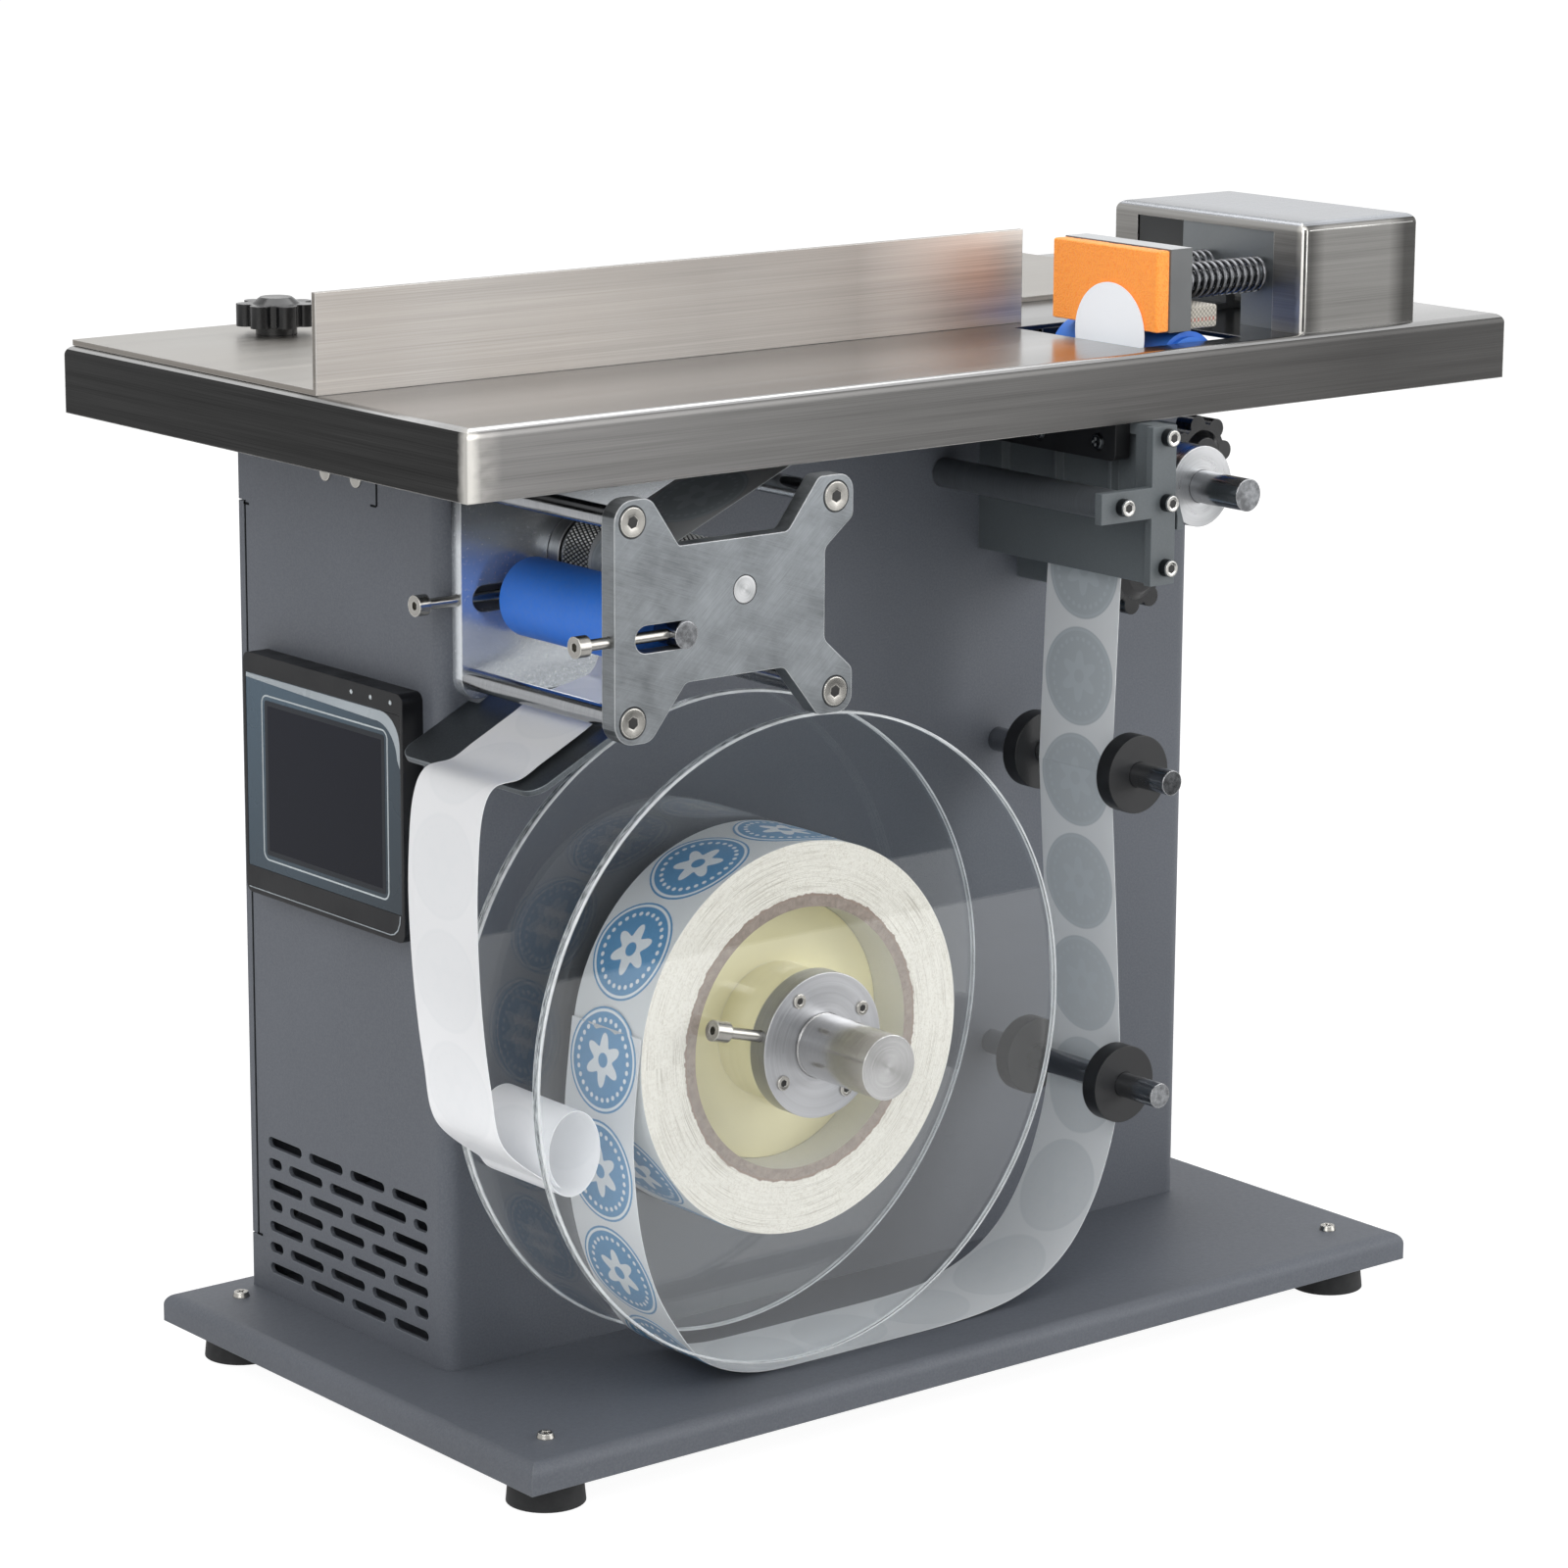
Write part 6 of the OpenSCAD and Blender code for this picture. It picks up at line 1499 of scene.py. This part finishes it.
@dataclass
class SocketScrews:
    """Socket-head screws and their dark sockets, set by a Geometry Nodes tree for each size."""

    steps: int = 48
    seed: int = 4
    toward: Triple = (0.0, -1.0, 0.0)

    def head(self, size: HeadSize) -> bpy.types.Mesh:
        """Models one head along +Z, its face at zero, with a hexagon socket."""
        build = bmesh.new()
        r, edge, bore = size.across / 2, 0.12 * size.height, size.socket / 2
        foot = r * 0.55 if size.sunk else r
        turn, hexagon = circle(self.steps), []
        for k, (c, s) in enumerate(turn):
            sector = (math.tau * k / self.steps + math.pi / 6) % (math.pi / 3) - math.pi / 6
            reach = bore * math.cos(math.pi / 6) / math.cos(sector)
            hexagon.append((reach * c, reach * s))
        rings = [(foot, -size.height), (r, -edge), (r - edge, 0.0), (bore * 1.22, 0.0)]
        outlines = [([(reach * c, reach * s) for c, s in turn], z) for reach, z in rings]
        outlines += [(hexagon, -0.1), (hexagon, -size.height * 0.75)]
        rows = [[build.verts.new((x * MM, y * MM, z * MM)) for x, y in line] for line, z in outlines]
        bridge(build, rows)
        build.faces.new(rows[-1])
        build.faces.new(rows[0][::-1])
        return from_bmesh(build)

    def socket(self, size: HeadSize) -> bpy.types.Mesh:
        """Models a dark hexagon just under the head's face: painted shade on the socket's floor."""
        build = bmesh.new()
        rows = []
        for z, share in ((-0.12, 0.99), (-0.2, 0.9), (-0.3, 0.9)):
            r = size.socket / 2 * share * MM
            rows.append([build.verts.new((r * c, r * s, z * MM)) for c, s in circle(6, 0.5)])
        bridge(build, rows)
        build.faces.new(rows[0])
        build.faces.new(rows[-1][::-1])
        return from_bmesh(build)

    def build(self) -> None:
        """Adds the heads of the front plate, the clamp collar and the bracket."""
        plate = [place(x, -3.35, z) for x in (34.9, 109.3) for z in (226.2, 284.2)]
        self.row("front_plate_screw_heads", plate, SCREW_STEEL, Body.FRAME, HeadSize(8.8, 1.6, 3.7, sunk=True))
        turns = (math.radians(31 + 90 * i) for i in range(4))
        collar = [
            place(REEL_AXIS[0] + 17.8 * math.cos(a), 9.72, REEL_AXIS[1] + 17.8 * math.sin(a)) for a in turns
        ]
        self.row("collar_screw_heads", collar, SCREW_STEEL, Body.REEL, HeadSize(4.6, 1.2, 2.3))
        spots = ((241.4, 248.4), (241.4, 268.7), (241.4, 289.0), (223.1, 269.1))
        bracket = [place(x, -5.75, z) for x, z in spots]
        self.row("bracket_screw_faces", bracket, SOCKET_STEEL, Body.FRAME, HeadSize(4.9, 0.5, 2.9))

    def row(self, name: str, spots: Sequence[Vector], finish: Finish, body: Body, size: HeadSize) -> None:
        """Adds one set of heads and their sockets as two pieces."""
        for ending, mesh, look in (("", self.head(size), finish), ("_sockets", self.socket(size), SOCKET_SHADE)):
            part = bpy.data.objects.new("screw_part", mesh)
            tree = SpotTree(PALETTE[look], name + ending + "_tree", part).build()
            grown = grow(spots, self.toward, tree, {"Size": 1.0, "Seed": self.seed})
            add_piece(name + ending, grown, look, body)
            bpy.data.objects.remove(part)


@dataclass
class ReelDiscs:
    """The two clear discs that hold the roll, turned with small polished chamfers."""

    radius: float = 101.0
    bore: float = 10.15
    fronts: Pair = (17.2, 57.6)
    thick: float = 3.0
    chamfer: float = 0.3
    band: float = 0.75
    steps: int = 256

    def turned(self, profile: Sequence[Pair]) -> bpy.types.Mesh:
        """Turns one profile at both discs."""
        build = bmesh.new()
        for y in self.fronts:
            lathe(build, profile, place(REEL_AXIS[0], y, REEL_AXIS[1]), (0.0, 1.0, 0.0), self.steps)
        return from_bmesh(build)

    def build(self) -> None:
        """Builds the discs and the pale lines of their cut edges."""
        c, r, b, t = self.chamfer, self.radius, self.bore, self.thick
        ring = [(0.0, b + c), (0.0, r - c), (c, r), (t - c, r), (t, r - c), (t, b + c), (t - c, b), (c, b)]
        mesh = self.turned([*ring, ring[0]])
        add_piece("clear_reel_discs", mesh, ACRYLIC, Body.REEL, ("reel_discs",))
        skins = []
        for off in (0.035, 0.01):
            left = [(-off, r - self.band), (-off, r - c + off / 2), (c - off / 2, r + off)]
            skins.append(left + [(t - along, reach) for along, reach in left[::-1]])
        loop = skins[0] + skins[1][::-1]
        add_piece("reel_disc_rims", self.turned([*loop, loop[0]]), RIM, Body.REEL)


@dataclass
class Presser:
    """Foam face, woven strap and coil springs of the sprung presser."""

    pad_low: Triple = (255.2, 18.2, 317.4)
    pad_high: Triple = (260.8, 67.2, 343.4)
    cells: tuple[int, int, int] = (8, 64, 34)
    cut_seed: int = 7
    strap_low: Triple = (269.9, 18.6, 317.8)
    strap_high: Triple = (281.6, 36.9, 324.9)
    threads: float = 1.25
    spring_x: Pair = (270.6, 311.2)
    spring_y: Pair = (31.0, 54.4)
    spring_z: float = 331.1
    spring_r: float = 5.05
    wire_r: float = 0.72
    turns: float = 14.0

    def build(self) -> None:
        """Builds the pieces."""
        self.foam()
        self.strap()
        self.springs()

    def ragged(self, index: Sequence[int]) -> Vector:
        """Gives a point of the foam's surface, rounded at edges and uneven as if cut by hand."""
        low, high = Vector(self.pad_low), Vector(self.pad_high)
        size, mid = high - low, (low + high) / 2
        share = Vector((i / cells for i, cells in zip(index, self.cells)))
        p = Vector((low[n] + size[n] * share[n] for n in range(3)))
        wob = noise.noise_vector(p * 0.9) * 0.18 + noise.noise_vector(p * 0.25) * 0.22
        near = [min(share[n], 1 - share[n]) * size[n] for n in range(3)]
        moved = p.copy()
        for n in range(3):
            if near[n] < 1e-6:
                others = (max(0.0, 1 - near[m] / 0.9) ** 2 for m in range(3) if m != n)
                pull = 0.45 * sum(others) / 2 + (0.3 + abs(wob[n]) * 0.9 if n else 0.0)
                moved[n] += pull if p[n] < mid[n] else -pull
            elif near[n] > 0.4:
                moved[n] += wob[n] * 0.25
        return place(*moved)

    def foam(self) -> None:
        """Builds the foam block, with a fixed seed for its uneven cut."""
        noise.seed_set(self.cut_seed)
        build = bmesh.new()
        grid: dict[tuple[int, ...], Vert] = {}
        for axis in range(3):
            a, b = [n for n in range(3) if n != axis]
            spans = range(self.cells[a]), range(self.cells[b])
            for end, i, j in ((e, i, j) for e in (0, self.cells[axis]) for i in spans[0] for j in spans[1]):
                quad = []
                for di, dj in ((0, 0), (1, 0), (1, 1), (0, 1)):
                    index = [0, 0, 0]
                    index[axis], index[a], index[b] = end, i + di, j + dj
                    key = tuple(index)
                    if key not in grid:
                        grid[key] = build.verts.new(self.ragged(key))
                    quad.append(grid[key])
                build.faces.new(quad)
        piece = add_piece("foam_pad", from_bmesh(build), ORANGE, Body.PRESSER, ("sponge_pad",))

    def strap(self) -> None:
        """Builds the pad of stacked webbing behind the plate, its weave mapped face by face."""
        build = bmesh.new()
        slab(build, self.strap_low, self.strap_high, 0.9, 3)
        bmesh.ops.subdivide_edges(build, edges=build.edges[:], cuts=3, use_grid_fill=True)
        layer = build.loops.layers.uv.new("weave")
        build.normal_update()
        origin = place(0, 0, self.strap_low[2])
        for face in build.faces:
            axis = max(range(3), key=lambda n: abs(face.normal[n]))
            u, v = [n for n in range(3) if n != axis]
            for loop in face.loops:
                at = loop.vert.co
                loop[layer].uv = (at[u] / MM * self.threads, (at[v] - origin[v]) / MM * self.threads)
        mesh = from_bmesh(build)
        piece = add_piece("woven_strap_pad", mesh, WOVEN, Body.PRESSER, ("bumper_pad",))

    def springs(self) -> None:
        """Builds both coil springs round their rods."""
        tree = CoilTree(PALETTE[SPRING_STEEL]).build()
        x0, x1 = self.spring_x
        spots = [place(x0, y, self.spring_z) for y in self.spring_y]
        sizes = {"Radius": self.spring_r * MM, "Wire Radius": self.wire_r * MM, "Length": (x1 - x0) * MM}
        mesh = grow(spots, (1.0, 0.0, 0.0), tree, {"Turns": self.turns, **sizes})
        piece = add_piece("presser_coils", mesh, SPRING_STEEL, Body.FRAME, ("presser_springs",))
        tuple(place(311.9, 42.7, self.spring_z))
        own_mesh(piece)


@dataclass
class Knurl:
    """Diamond knurl round the drive roller, as low four-sided points."""

    ends: Pair = (7.0, 70.0)
    low: float = 12.01
    high: float = 12.4
    columns: int = 104
    rows: int = 50

    def build(self) -> None:
        """Builds the sleeve of points."""
        build = bmesh.new()
        grid = []
        for j in range(self.rows + 1):
            y = self.ends[0] + (self.ends[1] - self.ends[0]) * j / self.rows
            row = []
            for i, (c, s) in enumerate(circle(self.columns)):
                r = self.high if (i + j) % 2 and 0 < j < self.rows else self.low
                row.append(build.verts.new(place(DRIVE_AXIS[0] + r * c, y, DRIVE_AXIS[1] + r * s)))
            grid.append(row)
        for j in range(1, self.rows):
            for i in range(1 - j % 2, self.columns, 2):
                left, right = (i - 1) % self.columns, (i + 1) % self.columns
                around = [grid[j][right], grid[j + 1][i], grid[j][left], grid[j - 1][i]]
                for a, b in zip(around, around[1:] + around[:1]):
                    build.faces.new((grid[j][i], b, a))
        mesh = from_bmesh(build)
        add_piece("drive_roller_knurl", mesh, KNURL_STEEL, Body.KNURLED_ROLLER, smooth=False)


@dataclass
class HoodSeams:
    """Welded corner, folded seam and side plate of the hood."""

    face_y: float = 11.4
    corner_x: float = 310.6
    bottom: float = 314.4
    top: float = 346.6

    def build(self) -> None:
        """Builds the beads, a dark strip of painted shade for the open gap between them, and the plate."""
        x, y, low, high = self.corner_x, self.face_y, self.bottom, self.top
        beads = slabs(
            ((x + 2.2, y - 0.06, low), (x + 2.65, y + 0.1, high), 0.05),
            ((x + 0.35, y - 0.02, low), (x + 0.75, y + 0.3, high), 0.05),
            ((x + 3.4, y - 0.05, high - 0.5), (360.2, y + 0.1, high - 0.2), 0.04),
        )
        gap = slabs(((x + 1.15, y - 0.04, low), (x + 1.8, y + 0.1, high)))
        plate = slabs(((361.7, 15.0, 325.0), (363.1, 94.0, 343.0), 0.4))
        add_piece("hood_weld_beads", beads, BEAD_STEEL, Body.FRAME)
        add_piece("hood_weld_gap", gap, GAP_SHADE, Body.FRAME, smooth=False)
        add_piece("hood_side_plate", plate, HOOD, Body.FRAME)


@dataclass
class ControlPanel:
    """Printed lines, screen, lamps and inner frame of the touch panel on the left end."""

    face_x: float = 20.1
    back_x: float = 20.12
    line_y: Pair = (99.0, 168.0)
    line_z: Pair = (155.8, 208.6)
    inner_y: Pair = (100.8, 166.2)
    inner_z: Pair = (157.6, 206.8)
    corner: Pair = (102.6, 204.1)
    lamp_y: tuple[float, ...] = (97.3, 107.7, 118.0)
    lamp_z: float = 217.4

    def ring(self, y: Pair, z: Pair, r: float, width: float, x0: float) -> bpy.types.Mesh:
        """Builds a rounded rectangular ring on the panel's face.

        Args:
            y: Its outer range in Y.
            z: Its outer range in Z.
            r: Its outer corner radius.
            width: Its line width.
            x0: Its outer face.

        Returns:
            The mesh.
        """
        build = bmesh.new()
        loops = []
        for inset, x in ((0.0, self.back_x), (0.0, x0), (width, x0), (width, self.back_x)):
            rad = max(r - inset, 0.2)
            (y0, y1), (z0, z1) = ((side[0] + inset + rad, side[1] - inset - rad) for side in (y, z))
            middles = ((y1, z1, 0), (y0, z1, 90), (y0, z0, 180), (y1, z0, 270))
            line = [spot for cy, cz, start in middles for spot in arc((cy, cz), rad, start, start + 90, 8)]
            loops.append([build.verts.new(place(x, cy, cz)) for cy, cz in line])
        bridge(build, [*loops, loops[0]])
        return from_bmesh(build, merged=False)

    def strip(self, outer: Sequence[Pair], inner: Sequence[Pair], x0: float, x1: float) -> bpy.types.Mesh:
        """Builds a flat band between two lines of (Y, Z) points, closed to a thin solid."""
        build = bmesh.new()
        lines = ((outer, x0), (inner, x0), (inner, x1), (outer, x1))
        rows = [[build.verts.new(place(x, y, z)) for y, z in line] for line, x in lines]
        bridge(build, [*rows, rows[0]], closed=False)
        for k in (0, -1):
            build.faces.new([row[k] for row in rows])
        return from_bmesh(build)

    def bands(self) -> None:
        """Builds the pale band over the film, a painted highlight, the dark corner outside it and the lower line."""
        x, back, turn = self.face_x, self.back_x, arc(self.corner, 10.0, 90, 180, 10)
        outer = [(176.4, 214.1), (140.0, 214.1), *turn, (92.62, 198.0)]
        inner = [(176.4, 212.7), (140.0, 211.6), *arc((105.2, 199.6), 11.2, 84, 176, 10), (92.78, 198.0)]
        mesh = self.strip(outer, inner, x - 0.07, back)
        add_piece("panel_silver_band", mesh, PALE_GREY, Body.FRAME)
        y, z = self.corner
        edge = [(y - 10.1 * min(1.0, k / 5), z + 10.1 - 10.1 * max(0.0, k / 5 - 1)) for k in range(11)]
        mesh = self.strip(edge, turn, x - 0.05, back)
        add_piece("panel_dark_corner", mesh, PANEL_BODY, Body.FRAME)
        outer = [(93.0, 152.4), (93.3, 150.0), (94.4, 147.6), (96.4, 146.0), (98.4, 145.5), (176.5, 145.5)]
        inner = [(93.4, 152.4), (93.7, 150.0), (94.8, 147.8), (96.7, 146.3), (98.6, 145.8), (176.5, 145.8)]
        mesh = self.strip(outer, inner, 19.9, 20.05)
        add_piece("panel_lower_line", mesh, PALE_GREY, Body.FRAME)

    def build(self) -> None:
        """Builds the pieces."""
        x = self.face_x
        mesh = self.ring(self.line_y, self.line_z, 3.0, 0.55, x - 0.04)
        add_piece("panel_border_line", mesh, WHITE_LINE, Body.FRAME)
        mesh = self.ring(self.inner_y, self.inner_z, 1.0, 1.6, x - 0.06)
        add_piece("panel_inner_frame", mesh, INNER_FRAME, Body.FRAME)
        mesh = slabs(((x - 0.05, 102.2, 159.0), (x + 0.03, 164.8, 205.4)))
        add_piece("panel_screen", mesh, SCREEN, Body.FRAME, smooth=False)
        self.bands()
        dome = [(0.0, 0.0), (0.0, 0.75), (0.12, 0.6), (0.16, 0.0)]
        build = bmesh.new()
        for y in self.lamp_y:
            lathe(build, dome, place(20.0, y, self.lamp_z), (-1.0, 0.0, 0.0), 20)
        add_piece("panel_lamps", from_bmesh(build), WHITE_LINE, Body.FRAME)


@dataclass
class CabinetMarks:
    """Slit, holes and seam of the cabinet's left end, as dark sheets of painted shade just proud of the sheet."""

    face_x: float = 27.5
    screw_y: Pair = (141.4, 125.0)
    screw_z: float = 280.6

    def build(self) -> None:
        """Builds the painted shade of the gaps and the domed screws."""
        gaps = (
            (186.3, 27.0, 186.95, 266.0),
            (184.4, 264.6, 187.4, 265.4),
            (184.4, 27.0, 187.4, 27.8),
            (113.6, 273.6, 114.5, 280.4),
            (114.3, 273.2, 117.4, 273.9),
        )
        front, back = self.face_x - 0.06, self.face_x + 0.05
        mesh = slabs(*(((front, y0, z0), (back, y1, z1)) for y0, z0, y1, z1 in gaps))
        add_piece("cabinet_end_gaps", mesh, GAP_SHADE, Body.FRAME, smooth=False)
        dome = [(-0.05, 0.0), (-0.05, 2.9), (0.5, 2.7), (0.95, 1.8), (1.1, 0.0)]
        build = bmesh.new()
        for y in self.screw_y:
            lathe(build, dome, place(self.face_x, y, self.screw_z), (-1.0, 0.0, 0.0), 32)
        add_piece("cabinet_end_screws", from_bmesh(build), SCREW_STEEL, Body.FRAME)


@dataclass
class Studio:
    """Camera at the photograph's place, soft lamps, pale floor and background; all in metres."""

    eye: Triple = (-1.000518, -1.217370, 0.535597)
    azimuth: float = 38.87918
    elevation: float = 12.79188
    roll: float = 0.28212
    focal: float = 115.106
    sensor: float = 36.0
    floor_size: float = 40.0
    card_x: Pair = (0.13, 0.52)
    card_y: float = -0.554
    card_z: Pair = (0.0005, 0.115)
    lamp_aim: Triple = (0.0, 0.0, 0.2)

    def build(self) -> None:
        """Builds the camera, the lamps, the floor and the background."""
        self.camera()
        self.world()
        self.floor()
        self.dark_card()
        self.lamp("key_softbox", (-1.7, -0.9, 1.3), 1.3, 14.5)
        self.lamp("fill_softbox", (1.5, -1.7, 0.9), 1.6, 22.0)
        self.lamp("top_softbox", (0.25, 0.35, 2.0), 1.8, 27.0)

    def camera(self) -> None:
        """Sets the camera."""
        az, el, roll = (math.radians(v) for v in (self.azimuth, self.elevation, self.roll))
        ahead = Vector((math.sin(az) * math.cos(el), math.cos(az) * math.cos(el), -math.sin(el)))
        right = ahead.cross(Vector((0, 0, 1))).normalized()
        up = right.cross(ahead)
        side = math.cos(roll) * right + math.sin(roll) * up
        top = -math.sin(roll) * right + math.cos(roll) * up
        data = bpy.data.cameras.new("photo_camera")
        data.lens, data.sensor_width = self.focal, self.sensor
        data.clip_start, data.clip_end = 0.05, 50.0
        camera = show("photo_camera", data)
        turn = Matrix((side, top, -ahead)).transposed().to_4x4()
        camera.matrix_world = Matrix.Translation(self.eye) @ turn
        bpy.context.scene.camera = camera

    def lamp(self, name: str, at: Triple, size: float, power: float) -> None:
        """Adds a square soft lamp that looks at the machine."""
        data = bpy.data.lights.new(name, "AREA")
        data.size, data.energy, data.shape = size, power, "SQUARE"
        lamp = show(name, data)
        lamp.location = at
        lamp.rotation_mode = "QUATERNION"
        lamp.rotation_quaternion = (Vector(self.lamp_aim) - Vector(at)).to_track_quat("-Z", "Y")

    def white_to_view(self, graph: Graph) -> Value:
        """Gives 1 for camera, glossy and transmission rays and 0 for others."""
        rays = graph.add("ShaderNodeLightPath").outputs
        camera, glossy, through = (Value(graph, rays[f"Is {kind} Ray"]) for kind in ("Camera", "Glossy", "Transmission"))
        return graph.math("MAXIMUM", graph.math("MAXIMUM", camera, glossy), through)

    def world(self) -> None:
        """Makes the background white to the camera and a plain pale grey as light."""
        world = bpy.data.worlds.new("studio")
        world.use_nodes = True
        graph = Graph(world.node_tree)
        background = next(n for n in world.node_tree.nodes if n.type == "BACKGROUND")
        graph.feed(background.inputs["Color"], (1.0, 1.0, 1.0))
        graph.feed(background.inputs["Strength"], graph.blend(self.white_to_view(graph), 0.46, 1.0))
        bpy.context.scene.world = world

    def sheet(self, name: str, corners: Sequence[Triple], material: bpy.types.Material) -> bpy.types.Object:
        """Adds a flat four-cornered sheet."""
        mesh = bpy.data.meshes.new(name)
        mesh.from_pydata(corners, [], [(0, 1, 2, 3)])
        mesh.materials.append(material)
        return show(name, mesh)

    def dark_card(self) -> None:
        """Stands a dark card on the floor, hidden from camera, diffuse and shadow rays.

        The clear discs reflect it as the darker end of the room.
        """
        (x0, x1), y, (z0, z1) = self.card_x, self.card_y, self.card_z
        card = self.sheet("studio_card", [(x0, y, z0), (x1, y, z0), (x1, y, z1), (x0, y, z1)], PALETTE[CARD])
        card.visible_camera = card.visible_diffuse = card.visible_shadow = False

    def floor(self) -> None:
        """Adds the pale floor, which keeps the object's soft shadow."""
        material = bpy.data.materials.new("pale_floor")
        material.use_nodes = True
        g = Surface(material)
        g.put(Base_Color=(0.86, 0.86, 0.86), Roughness=0.9, Specular_IOR_Level=0.1)
        direct = g.take("ShaderNodeLightPath", output="Is Camera Ray")
        bright = g.blend(direct, 1.0, 1.24)
        glow = g.take("ShaderNodeEmission", {"Color": (1.0, 1.0, 1.0), "Strength": bright})
        share = self.white_to_view(g) * 0.76
        both = g.take("ShaderNodeMixShader", {0: share, 1: Value(g, g.shader.outputs[0]), 2: glow})
        output = next(n for n in g.tree.nodes if n.type == "OUTPUT_MATERIAL")
        g.feed(output.inputs["Surface"], both)
        half = self.floor_size / 2
        corners = [(-half, -half, 0), (half, -half, 0), (half, half, 0), (-half, half, 0)]
        floor = self.sheet("studio_floor", corners, material)


def main() -> None:
    """Dresses the CAD nodes and builds every piece in order."""
    logging.basicConfig(level=logging.INFO, format="%(name)s %(message)s")
    bpy.context.scene.view_settings.view_transform = "Standard"
    PALETTE.dress_nodes()
    Studio().build()
    for part in (ReelDiscs, Presser, PaperPath, ControlPanel, CabinetMarks, SocketScrews, Knurl, HoodSeams):
        part().build()


if __name__ == "__main__":
    main()
